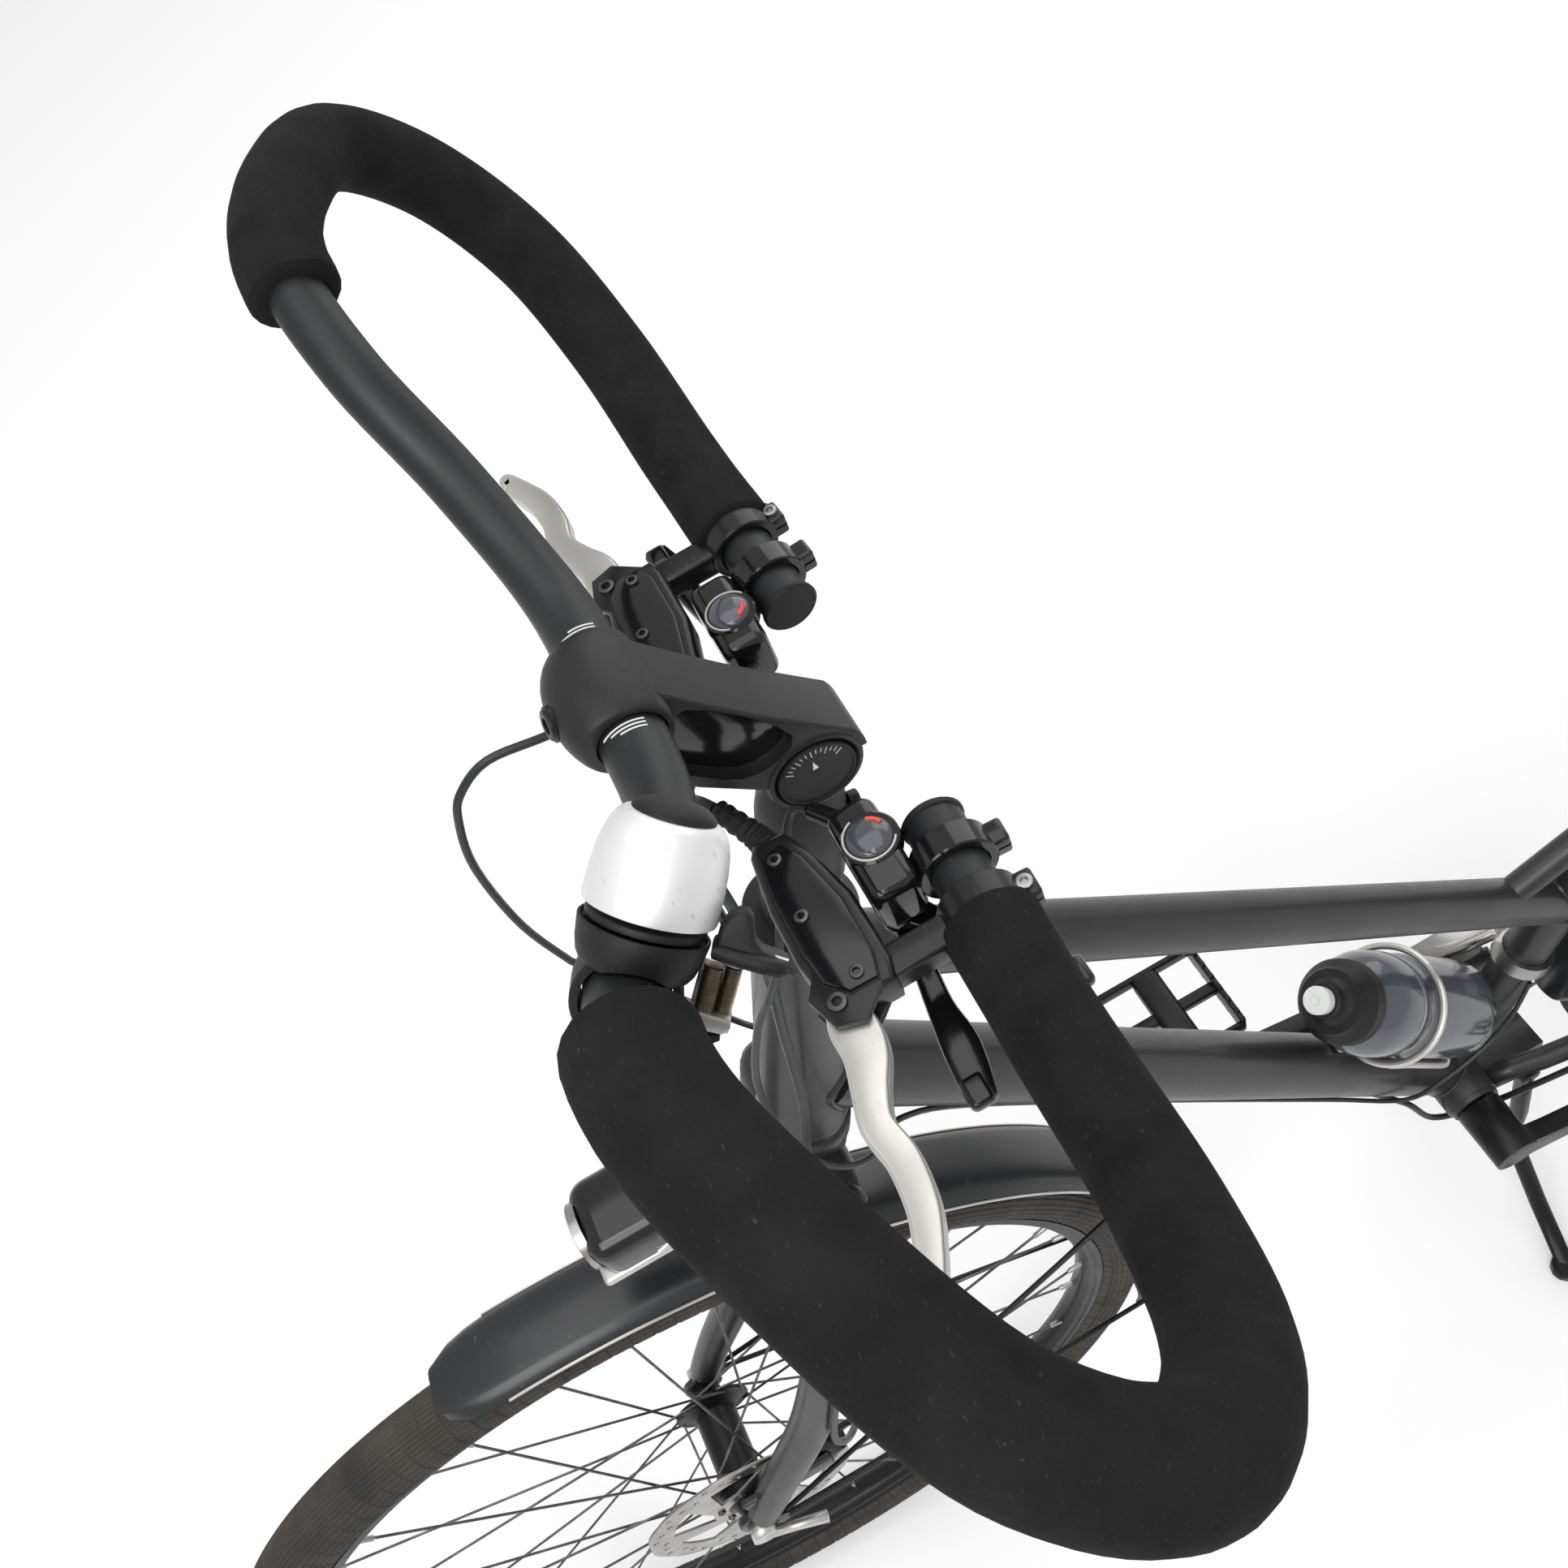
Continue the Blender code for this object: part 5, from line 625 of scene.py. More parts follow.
@dataclass(frozen=True)
class Finish:
    """A surface: its colours, gloss, grain and specks.

    Scales count the features in a metre; depth is the height of the grain in metres.
    """

    name: str
    slot: Slot
    colour: tuple[float, float, float]
    deeper: tuple[float, float, float]
    smooth: float = 0.4
    rough: float = 0.5
    metallic: float = 0.0
    coat: float = 0.0
    drift_scale: float = 25.0
    grain_scale: float = 1400.0
    grain_strength: float = 0.25
    grain_depth: float = 0.0001
    grain_stretch: tuple[float, float, float] = (1, 1, 1)
    speck: tuple[float, float, float] = (0.3, 0.3, 0.3)
    speck_scale: float = 500.0
    speck_amount: float = 0.0
    transmission: float = 0.0
    specular: float = 0.5

    @staticmethod
    def group(tree: bpy.types.NodeTree, name: str, vector: Socket, **values: object) -> Outputs:
        """Places a shared effect in a material.

        Args:
            tree: The material's node tree.
            name: The effect's name.
            vector: The socket that the effect takes its place from.
            values: The effect's own values, by socket name.

        Returns:
            What the effect puts out.
        """
        node = tree.nodes.new("ShaderNodeGroup")
        node.node_tree = bpy.data.node_groups.get(name) or GROUP_MAKERS[name]()
        feed(tree, node, Vector=vector, **values)
        return node.outputs

    def material(self) -> bpy.types.Material:
        """The finish as a material, made the first time that it is asked for."""
        found = bpy.data.materials.get(self.name)
        if found:
            return found
        material = bpy.data.materials.new(self.name)
        material.use_nodes = True
        tree = material.node_tree
        place = tree.nodes.new("ShaderNodeTexCoord").outputs["Object"]
        drift = self.group(
            tree, "drift", place, Scale=self.drift_scale, Colour=(*self.colour, 1),
            Deeper=(*self.deeper, 1), Smooth=self.smooth, Rough=self.rough,
        )
        colour = drift["Colour"]
        if self.speck_amount:
            specks = self.group(
                tree, "specks", place, Scale=self.speck_scale, Amount=self.speck_amount
            )
            colour = mixed(tree, specks["Mask"], colour, (*self.speck, 1))
        shader = tree.nodes["Principled BSDF"]
        feed(
            tree, shader, Base_Color=colour, Roughness=drift["Roughness"],
            Metallic=self.metallic, Coat_Weight=self.coat, Coat_Roughness=0.12,
            Transmission_Weight=self.transmission, Specular_IOR_Level=self.specular,
        )
        if self.grain_strength:
            stretch = added(tree, "Mapping", Scale=self.grain_stretch, Vector=place)
            grain = self.group(
                tree, "grain", stretch.outputs["Vector"], Scale=self.grain_scale,
                Strength=self.grain_strength, Depth=self.grain_depth,
            )
            feed(tree, shader, Normal=grain["Normal"])
        return material


FRAME_PAINT = Finish(
    "satin_frame_paint", Slot.FRAME_PAINT, (0.026, 0.026, 0.027), (0.020, 0.020, 0.021),
    smooth=0.36, rough=0.44, metallic=0.15, coat=0.15, grain_strength=0.06, grain_scale=2200,
    speck=(0.12, 0.12, 0.12), speck_scale=900, speck_amount=0.25,
)
# Its light specks are painted glints that stand for the fine sparkle of light on the satin bar.
BAR_ALLOY = Finish(
    "satin_bar_alloy", Slot.BLACK_METAL, (0.020, 0.021, 0.022), (0.015, 0.016, 0.017),
    smooth=0.40, rough=0.48, metallic=0.30, grain_scale=2600, grain_strength=0.22,
    grain_depth=0.00006, speck=(0.11, 0.11, 0.12), speck_scale=1500, speck_amount=0.35,
)
STEM_ALLOY = Finish(
    "satin_stem_alloy", Slot.BLACK_METAL, (0.021, 0.021, 0.022), (0.016, 0.016, 0.017), specular=0.35,
    smooth=0.42, rough=0.50, metallic=0.20, grain_scale=2400, grain_strength=0.20,
    grain_depth=0.00006, speck=(0.10, 0.10, 0.10), speck_scale=1300, speck_amount=0.20,
)
BLACK_PARTS = Finish(
    "black_anodised_parts", Slot.BLACK_METAL, (0.012, 0.012, 0.013), (0.009, 0.009, 0.010), specular=0.4,
    smooth=0.30, rough=0.40, metallic=0.40, grain_strength=0.12, grain_scale=1800,
    speck=(0.10, 0.10, 0.10), speck_scale=700, speck_amount=0.20,
)
LEVER_BLACK = Finish(
    "lever_body_black", Slot.BLACK_PLASTIC, (0.010, 0.010, 0.011), (0.007, 0.007, 0.008), specular=0.4,
    smooth=0.26, rough=0.36, coat=0.05, grain_strength=0.14, grain_scale=1900,
    speck=(0.12, 0.12, 0.12), speck_scale=650, speck_amount=0.22,
)
MOULDED_BLACK = Finish(
    "moulded_black", Slot.BLACK_PLASTIC, (0.015, 0.015, 0.016), (0.011, 0.011, 0.012), specular=0.3,
    smooth=0.42, rough=0.55, grain_strength=0.35, grain_scale=1500, grain_depth=0.00008,
    speck=(0.12, 0.12, 0.12), speck_scale=800, speck_amount=0.15,
)
GLOSS_BLACK = Finish(
    "gloss_black", Slot.BLACK_PLASTIC, (0.008, 0.008, 0.009), (0.006, 0.006, 0.007), specular=0.4,
    smooth=0.10, rough=0.18, coat=0.25, grain_strength=0.03, grain_scale=500,
    speck=(0.12, 0.12, 0.12), speck_scale=500, speck_amount=0.10,
)
FENDER_BLACK = Finish(
    "fender_black", Slot.BLACK_PLASTIC, (0.015, 0.016, 0.018), (0.011, 0.012, 0.013),
    smooth=0.26, rough=0.36, coat=0.15, drift_scale=9, grain_strength=0.05, grain_scale=900,
    speck=(0.16, 0.16, 0.16), speck_scale=420, speck_amount=0.22,
)
FOAM_BLACK = Finish(
    "charcoal_foam", Slot.FOAM, (0.0175, 0.0170, 0.0170), (0.0120, 0.0117, 0.0117),
    specular=0.12, smooth=0.92, rough=1.0, drift_scale=60, grain_scale=1150, grain_strength=0.75,
    grain_depth=0.00035, speck=(0.060, 0.059, 0.058), speck_scale=1250, speck_amount=0.55,
)
TYRE_RUBBER = Finish(
    "tyre_rubber", Slot.TYRE, (0.052, 0.044, 0.037), (0.030, 0.027, 0.024),
    smooth=0.72, rough=0.92, drift_scale=30, grain_scale=900, grain_strength=0.35,
    grain_depth=0.0002, speck=(0.16, 0.13, 0.10), speck_scale=260, speck_amount=0.35,
)
CABLE_BLACK = Finish(
    "cable_black", Slot.CABLE, (0.014, 0.016, 0.015), (0.010, 0.012, 0.011),
    smooth=0.34, rough=0.46, grain_strength=0.10, grain_scale=1600,
)
BRUSHED_SILVER = Finish(
    "brushed_silver", Slot.SILVER, (0.70, 0.68, 0.65), (0.60, 0.58, 0.55),
    smooth=0.34, rough=0.42, metallic=0.9, drift_scale=35, grain_scale=1600,
    grain_strength=0.16, grain_depth=0.00005, grain_stretch=(1, 0.08, 1),
    speck=(0.25, 0.24, 0.22), speck_scale=600, speck_amount=0.25,
)
SATIN_SILVER = Finish(
    "satin_silver_plate", Slot.SATIN_SILVER, (0.86, 0.86, 0.86), (0.78, 0.78, 0.79),
    smooth=0.38, rough=0.46, metallic=0.55, drift_scale=60, grain_scale=1100,
    grain_strength=0.06, grain_depth=0.00004, speck=(0.30, 0.30, 0.31), speck_scale=520,
    speck_amount=0.40,
)
BRIGHT_STEEL = Finish(
    "bright_steel", Slot.STEEL, (0.44, 0.43, 0.42), (0.33, 0.32, 0.31),
    smooth=0.24, rough=0.38, metallic=1.0, drift_scale=50, grain_scale=1500,
    grain_strength=0.12, speck=(0.16, 0.13, 0.10), speck_scale=420, speck_amount=0.30,
)
DARK_STEEL = Finish(
    "dark_steel", Slot.STEEL, (0.16, 0.16, 0.16), (0.09, 0.088, 0.085),
    smooth=0.30, rough=0.46, metallic=1.0, drift_scale=80, grain_scale=1500,
    grain_strength=0.14, speck=(0.03, 0.028, 0.026), speck_scale=500, speck_amount=0.45,
)
WARM_SCREW = Finish(
    "warm_screw_steel", Slot.STEEL, (0.50, 0.45, 0.37), (0.34, 0.30, 0.24),
    smooth=0.26, rough=0.40, metallic=1.0, drift_scale=300, grain_scale=2200,
    grain_strength=0.10,
)
SMOKY_BOTTLE = Finish(
    "smoky_bottle", Slot.BOTTLE, (0.075, 0.082, 0.098), (0.050, 0.056, 0.068),
    smooth=0.10, rough=0.20, coat=0.5, drift_scale=20, grain_strength=0.03,
    grain_scale=300, speck=(0.25, 0.26, 0.28), speck_scale=160, speck_amount=0.20,
)
SADDLE_SKIN = Finish(
    "saddle_skin", Slot.SADDLE, (0.022, 0.022, 0.023), (0.016, 0.016, 0.017),
    smooth=0.46, rough=0.58, drift_scale=22, grain_scale=1300, grain_strength=0.45,
    grain_depth=0.00018, speck=(0.07, 0.07, 0.07), speck_scale=600, speck_amount=0.15,
)
WHITE_PRINT = Finish(
    "white_print", Slot.SATIN_SILVER, (0.78, 0.79, 0.78), (0.68, 0.69, 0.68),
    smooth=0.45, rough=0.55, grain_strength=0.05,
)
RED_MARK = Finish(
    "red_mark", Slot.BLACK_PLASTIC, (0.90, 0.085, 0.045), (0.80, 0.065, 0.035),
    smooth=0.25, rough=0.35, coat=0.4, grain_strength=0.0,
)
LAMP_GLASS = Finish(
    "lamp_lens", Slot.BLACK_PLASTIC, (0.62, 0.64, 0.66), (0.50, 0.52, 0.54),
    smooth=0.06, rough=0.14, metallic=0.6, coat=1.0, drift_scale=260, grain_scale=420,
    grain_strength=0.30, grain_depth=0.0004,
)
RUBBER_BLACK = Finish(
    "soft_black_rubber", Slot.BLACK_PLASTIC, (0.010, 0.010, 0.011), (0.007, 0.007, 0.008), specular=0.3,
    smooth=0.50, rough=0.65, grain_strength=0.30, grain_scale=1300,
)


def fitted(
    piece: Piece,
    finish: Finish,
    body: Body,
    *nodes: str,
    angle: float = 38,
    second: tuple[Body, Vector, Vector] | None = None,
) -> Piece:
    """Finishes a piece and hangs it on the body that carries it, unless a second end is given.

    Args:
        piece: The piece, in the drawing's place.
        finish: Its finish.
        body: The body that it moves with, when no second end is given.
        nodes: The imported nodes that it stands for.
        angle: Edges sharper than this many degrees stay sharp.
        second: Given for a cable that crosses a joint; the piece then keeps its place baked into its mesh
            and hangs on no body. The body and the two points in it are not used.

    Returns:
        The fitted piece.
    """
    placed(piece, INTO_FRAME)
    bpy.ops.object.shade_smooth_by_angle(angle=radians(angle))
    piece.data.materials.clear()
    piece.data.materials.append(finish.material())
    if second:
        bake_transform(piece)
    else:
        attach(piece, body.value)
    if nodes:
        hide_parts(*nodes)
    log.info("%s rides on %s, %d faces", piece.name, body.value, len(piece.data.polygons))
    return piece


# The drawing

HEAD_ANGLE = radians(73.2)
SEAT_ANGLE = radians(70.0)


def fixed(*numbers: float) -> Vector:
    """A field whose default is a point or a direction."""
    return field(default_factory=lambda: Vector(numbers))


@dataclass(frozen=True)
class Drawing:
    """The points and directions that the sub-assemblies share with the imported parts."""

    bracket: Vector = fixed(0, 0, 0.2766)
    rear_axle: Vector = fixed(-0.45, 0, 0.35)
    front_axle: Vector = fixed(0.6247, 0, 0.35)
    steer_up: Vector = fixed(-cos(HEAD_ANGLE), 0, sin(HEAD_ANGLE))
    steer_ahead: Vector = fixed(sin(HEAD_ANGLE), 0, cos(HEAD_ANGLE))
    seat_up: Vector = fixed(-cos(SEAT_ANGLE), 0, sin(SEAT_ANGLE))
    seat_ahead: Vector = fixed(sin(SEAT_ANGLE), 0, cos(SEAT_ANGLE))

    def steer(self, along: float, ahead: float = 0.0, left: float = 0.0) -> Vector:
        """A point along the steering axis from the height of the axle, and ahead of that axis."""
        foot = self.front_axle - self.steer_ahead * FORK_RAKE
        return foot + self.steer_up * along + self.steer_ahead * ahead + LEFT * left

    def seat(self, along: float, ahead: float = 0.0, left: float = 0.0) -> Vector:
        """A point along the seat tube from the bottom bracket."""
        return self.bracket + self.seat_up * along + self.seat_ahead * ahead + LEFT * left

    def down(self, along: float, above: float = 0.0, left: float = 0.0) -> Vector:
        """A point along the down tube from the bottom bracket, and above that tube's middle."""
        way = (self.steer(DOWN_TUBE_TOP) - self.bracket).normalized()
        return self.bracket + way * along + Vector((-way.z, 0, way.x)) * above + LEFT * left

    def bar(self, ahead: float, left: float, rise: float) -> Vector:
        """A point in the plane of the handlebar, measured from the middle of its clamp."""
        clamp = self.bar_clamp
        return clamp + BAR_AHEAD * ahead + LEFT * left + BAR_RISE * rise

    @property
    def stem_pivot(self) -> Vector:
        """The axis that the stem's arm tilts on."""
        return self.steer(HEAD_TOP + 0.1037)

    @property
    def bar_clamp(self) -> Vector:
        """The middle of the handlebar's clamp."""
        return self.stem_pivot + STEM_AHEAD * STEM_REACH


FORK_RAKE = 0.060
FORK_LENGTH = 0.4651
CROWN = FORK_LENGTH - 0.0205
DOWN_TUBE_TOP = FORK_LENGTH + 0.059
DOWN_TUBE_RADIUS = 0.0225
HEAD_TOP = FORK_LENGTH + 0.1929
STEM_REACH = 0.0898
STEM_ANGLE = radians(55.6)
STEM_AHEAD = Vector((cos(STEM_ANGLE), 0, sin(STEM_ANGLE)))
STEM_RISE = Vector((-sin(STEM_ANGLE), 0, cos(STEM_ANGLE)))
BAR_PITCH = radians(48.7)
BAR_AHEAD = Vector((cos(BAR_PITCH), 0, sin(BAR_PITCH)))
BAR_RISE = Vector((-sin(BAR_PITCH), 0, cos(BAR_PITCH)))
BAR_ROUTE = (
    (0.000, 0.000, 0.000), (0.003, 0.050, 0.001), (0.030, 0.102, 0.011), (0.065, 0.141, 0.025),
    (0.084, 0.185, 0.037), (0.074, 0.233, 0.046), (0.045, 0.280, 0.049), (-0.004, 0.295, 0.044),
    (-0.050, 0.273, 0.034), (-0.080, 0.225, 0.021), (-0.094, 0.160, 0.012), (-0.0995, 0.113, 0.010),
    (-0.104, 0.062, 0.010),
)
DRAWING = Drawing()


@dataclass
class Handlebar:
    """The bar tube with its end plugs and printed ticks, and the two foam sleeves."""

    radius: float = 0.0111
    centre_radius: float = 0.0124
    clamp_half: float = 0.0207
    taper: float = 0.045
    steps: int = 9
    foam_radius: float = 0.0170
    foam_first: int = 34
    foam_last: int = 99

    def half(self) -> list[Vector]:
        """The middle line of the left half, from the clamp to its end beside the stem."""
        return smooth([DRAWING.bar(*point) for point in BAR_ROUTE], self.steps)

    def radius_at(self, left: float) -> float:
        """The radius of the tube, which swells towards the clamp."""
        share = min(max((abs(left) - self.clamp_half) / self.taper, 0), 1)
        return self.centre_radius + (self.radius - self.centre_radius) * share

    def front(self, left: float) -> tuple[Vector, Vector]:
        """The point and outward direction of the front arm at a distance from the middle."""
        return self.crossing(self.half(), left)

    def rear(self, left: float) -> tuple[Vector, Vector]:
        """The point and outward direction of the rear arm at a distance from the middle."""
        return self.crossing(self.half()[::-1], left)

    @staticmethod
    def crossing(line: list[Vector], left: float) -> tuple[Vector, Vector]:
        """Where a line first reaches a distance to the left, with its direction there."""
        for first, second in zip(line, line[1:]):
            if first.y <= left <= second.y:
                share = (left - first.y) / (second.y - first.y)
                return first.lerp(second, share), (second - first).normalized()
        raise ValueError(f"the bar does not reach {left} m to the left")

    def tube(self) -> None:
        """The bar, one tube bent into a loop on each side."""
        half = self.half()
        line = [Vector((point.x, -point.y, point.z)) for point in half[::-1]] + half[1:]
        scales = [self.radius_at(point.y) / self.radius for point in line]
        fitted(
            sweep("bar_tube", line, self.radius, 32, scales), BAR_ALLOY, Body.BAR, "handlebar"
        )

    def plug(self, side: int) -> None:
        """The plug in one end of the bar."""
        end, before = self.half()[-1], self.half()[-2]
        profile = ((-0.001, 0.0106), (0, 0.0119), (0.0016, 0.0121), (0.0026, 0.0112), (0.0030, 0.004))
        plug = lathe("bar_plug_" + SIDE_NAMES[side], profile, end, end - before, 32)
        self.fit_side(plug, side, MOULDED_BLACK)

    def ticks(self, side: int) -> None:
        """Three printed arcs beside the clamp, each shorter than the last."""
        arcs = []
        for index, (left, spread) in enumerate(((0.0226, 76), (0.0242, 60), (0.0258, 44))):
            centre, _ = self.front(left)
            radius = self.radius_at(left) + 0.00005
            route = []
            for step in range(13):
                angle = radians(14 + spread * step / 12)
                route.append(centre + (BAR_RISE * cos(angle) + BAR_AHEAD * sin(angle)) * radius)
            arcs.append(sweep(f"tick_{index}", route, 0.00032, 8))
        piece = fused("bar_ticks_" + SIDE_NAMES[side], *arcs)
        self.fit_side(piece, side, WHITE_PRINT)

    def foam(self, side: int) -> None:
        """One foam sleeve, whose ends flare a little round a rounded rim."""
        covered = self.half()[self.foam_first : self.foam_last + 1]
        start = (covered[0] - covered[1]).normalized()
        end = (covered[-1] - covered[-2]).normalized()
        head = [covered[0] + start * reach for reach in (0.0062, 0.0059, 0.0047, 0.0024)]
        tail = [covered[-1] + end * reach for reach in (0.0024, 0.0047, 0.0059, 0.0062)]
        line = [*head, *covered, *tail]
        rim = [0.78, 0.93, 1.02, 1.035]
        scales = rim + [1.0] * len(covered) + rim[::-1]
        for index in range(5):
            ease = 1 + 0.03 * (1 - index / 5)
            scales[4 + index] = scales[-5 - index] = ease
        foam = sweep("foam_sleeve_" + SIDE_NAMES[side], line, self.foam_radius, 40, scales)
        self.fit_side(foam, side, FOAM_BLACK, "foam_grip_" + SIDE_NAMES[side])

    @staticmethod
    def fit_side(piece: Piece, side: int, finish: Finish, *nodes: str, body: Body = Body.BAR) -> None:
        """Fits a piece that is modelled for the left side, on one side."""
        if side < 0:
            reshaped(piece, lambda point: Vector((point.x, -point.y, point.z)))
            piece.data.flip_normals()
        fitted(piece, finish, body, *nodes)

    def build(self) -> None:
        """Builds the whole handlebar."""
        self.tube()
        for side in SIDES:
            self.plug(side)
            self.ticks(side)
            self.foam(side)


HANDLEBAR = Handlebar()


@dataclass
class Stem:
    """The adjustable stem: its post and barrel, its hooded arm, its dial and its bolts."""

    barrel_radius: float = 0.0198
    barrel_half: float = 0.0155
    post_radius: float = 0.0185
    spacer_radius: float = 0.0175
    dial_radius: float = 0.0160
    bore_radius: float = 0.0130

    def boss(self) -> Piece:
        """The round clamp of the bar, domed across and fuller towards its bolt."""
        levels = (
            (0.0207, 0.0132), (0.0207, 0.0142), (0.0204, 0.0148), (0.0196, 0.0153), (0.0180, 0.0157),
            (0.0150, 0.0161), (0.0110, 0.0164), (0.0055, 0.0166),
        )
        profile = [(-along, radius) for along, radius in levels] + [(0, 0.0166)]
        boss = lathe("boss", [*profile, *levels[::-1]], DRAWING.bar_clamp, LEFT, 64)
        fuller = (STEM_AHEAD * 0.86 - STEM_RISE * 0.50).normalized()

        def egg(point: Vector) -> Vector:
            """Where a corner goes: further out on the side of the bolt."""
            across = point - DRAWING.bar_clamp
            left = across.y
            across.y = 0
            if across.length < 0.001:
                return point
            share = max(across.normalized().dot(fuller), 0) ** 1.6
            bulge = 1 + 0.38 * share * (1 - (left / 0.0225) ** 2) ** 0.6
            return DRAWING.bar_clamp + across * bulge + LEFT * left

        return reshaped(boss, egg)

    def bore(self) -> Piece:
        """A rod as thick as the bar, which cuts its room out of the arm and its clamp."""
        clamp, reach = DRAWING.bar_clamp, LEFT * 0.05
        return rod("bore", clamp - reach, clamp + reach, self.bore_radius, 48)

    def arm(self) -> None:
        """The arm: a smooth hood over the barrel that runs into the clamp of the bar."""
        outer = self.barrel_radius + 0.0022
        inner = self.barrel_radius - 0.0020
        outline = [
            *arc(outer, 128, 98, 6),
            (STEM_REACH * 0.45, 0.0176),
            (STEM_REACH * 0.72, 0.0166),
            *arc(0.0163, 84, -84, 20, STEM_REACH),
            (STEM_REACH * 0.74, -0.0180),
            (STEM_REACH * 0.50, -0.0190),
            *arc(inner, -50, 128, 26),
        ]
        half = self.barrel_half - 0.0008
        arm = slab(
            "stem_hood", outline, -half, half, DRAWING.stem_pivot, STEM_AHEAD, -LEFT, edge=0.0016
        )
        tools = [self.bore()]
        for side in SIDES:
            tools.append(self.pocket("pocket", side, 0.0088, 0.030, 0.0010, 0))
        arm = carved(arm, *tools)
        boss = carved(self.boss(), self.bore())
        fitted(fused("stem_hood", arm, boss), STEM_ALLOY, Body.BAR, "stem_arm", angle=34)

    @staticmethod
    def pocket(name: str, side: int, low: float, high: float, edge: float, less: float) -> Piece:
        """A four-cornered shape over one of the arm's side pockets.

        Args:
            name: The piece's name.
            side: 1 for the left side and -1 for the right.
            low: Where it starts, from the middle of the arm.
            high: Where it ends.
            edge: The width of its bevels.
            less: How much smaller it is than the pocket, all round.
        """
        corners = ((-0.024 + less, -0.013 + less), (0.026, -0.013 + less), (0.026, 0.0110 - less))
        outline = rounded_outline((*corners, (-0.018 + less, 0.0105 - less)))
        if side < 0:
            outline = [(x, -y) for x, y in outline[::-1]]
        centre = DRAWING.stem_pivot + STEM_AHEAD * 0.047
        return slab(name, outline, low, high, centre, STEM_AHEAD, LEFT * side, edge=edge)

    def liners(self) -> None:
        """The glossy floors of the two side pockets."""
        for side in SIDES:
            name = "pocket_floor_" + SIDE_NAMES[side]
            liner = self.pocket(name, side, 0.0080, 0.0092, 0.0003, 0.0006)
            fitted(liner, GLOSS_BLACK, Body.BAR)

    def bolts(self) -> None:
        """The clamp's bolt low at the front."""
        way = (STEM_AHEAD * 0.80 - STEM_RISE * 0.60 + LEFT * 0.12).normalized()
        seat = DRAWING.bar_clamp + way * 0.0216
        front = screw("clamp_bolt", seat, way, 0.0058, 0.0030)
        collar = lathe(
            "clamp_collar", ((-0.003, 0.0066), (0.0016, 0.0066), (0.0022, 0.0058)), seat, way, 32
        )
        fitted(fused("clamp_bolt", front, collar), BLACK_PARTS, Body.BAR)

    def post(self) -> None:
        """The spacers, the tapered post and the barrel at its top."""
        low = HEAD_TOP + 0.0005
        top = HEAD_TOP + 0.1037
        profile = (
            (low, self.spacer_radius - 0.0006), (low + 0.0006, self.spacer_radius),
            (low + 0.0120, self.spacer_radius), (low + 0.0126, self.spacer_radius - 0.0007),
            (low + 0.0132, self.spacer_radius), (low + 0.0255, self.spacer_radius),
            (low + 0.0262, self.spacer_radius - 0.0007), (low + 0.0275, self.post_radius - 0.0004),
            (low + 0.0285, self.post_radius), (top - 0.036, self.post_radius),
            (top - 0.027, self.post_radius - 0.0010), (top - 0.018, self.barrel_half - 0.0004),
            (top - 0.004, self.barrel_half - 0.0020),
        )
        foot = DRAWING.steer(0)
        post = lathe("post", profile, foot, DRAWING.steer_up, 64)
        pivot, half = DRAWING.stem_pivot, self.barrel_half
        barrel_profile = (
            (-half, self.barrel_radius - 0.0016), (-half + 0.0005, self.barrel_radius - 0.0005),
            (-half + 0.0016, self.barrel_radius), (half - 0.0016, self.barrel_radius),
            (half - 0.0005, self.barrel_radius - 0.0005), (half, self.barrel_radius - 0.0016),
            (half, self.dial_radius + 0.0016), (half - 0.0012, self.dial_radius + 0.0006),
            (half - 0.0050, self.dial_radius + 0.0005),
        )
        barrel = lathe("barrel", barrel_profile, pivot, LEFT, 72)
        behind = DRAWING.steer(HEAD_TOP + 0.045) - DRAWING.steer_ahead * self.post_radius
        clamps = [
            screw(
                "bolt", behind + DRAWING.steer_up * up + LEFT * 0.006, -DRAWING.steer_ahead,
                0.0044, 0.004,
            )
            for up in (0, 0.022)
        ]
        fitted(fused("stem_column", post, barrel), STEM_ALLOY, Body.STEERING, "stem_post")
        fitted(fused("stem_pinch_bolts", *clamps), BLACK_PARTS, Body.STEERING)

    def dial(self) -> None:
        """The round face on the left, with its ring and an angle scale of plain ticks."""
        pivot, half = DRAWING.stem_pivot, self.barrel_half
        profile = (
            (-half - 0.0045, 0.0080), (-half - 0.0040, 0.0094), (-half - 0.0003, 0.0094),
            (-half - 0.0003, 0.0060), (half - 0.0027, 0.0060), (half - 0.0027, self.dial_radius),
            (half + 0.0004, self.dial_radius), (half + 0.0009, self.dial_radius - 0.0005),
            (half + 0.0009, self.dial_radius - 0.0011), (half + 0.0003, self.dial_radius - 0.0016),
        )
        fitted(lathe("stem_dial_face", profile, pivot, LEFT, 72), RUBBER_BLACK, Body.BAR, "stem_dial")
        marks = []
        for index in range(13):
            long = 0.0022 if index % 3 else 0.0034
            angle = radians(150 - index * 9.5)
            way = Vector((cos(angle), 0, sin(angle)))
            reach = self.dial_radius - 0.0022 - long / 2
            marks.append(
                brick(
                    "mark", (0.00035, long, 0.0003), pivot + way * reach + LEFT * (half + 0.0003),
                    way.cross(LEFT), LEFT, edge=0.0001, segments=1,
                )
            )
        pointer = slab(
            "pointer",
            ((-0.0012, 0.0), (0.0012, 0.0), (0.0, 0.0046)),
            half + 0.0002,
            half + 0.0005,
            pivot + Vector((cos(radians(93)), 0, sin(radians(93)))) * 0.0032,
            -AHEAD,
            LEFT,
            edge=0.0001,
        )
        fitted(fused("dial_scale", *marks, pointer), WHITE_PRINT, Body.BAR)

    def build(self) -> None:
        """Builds the whole stem."""
        self.post()
        self.arm()
        self.liners()
        self.bolts()
        self.dial()


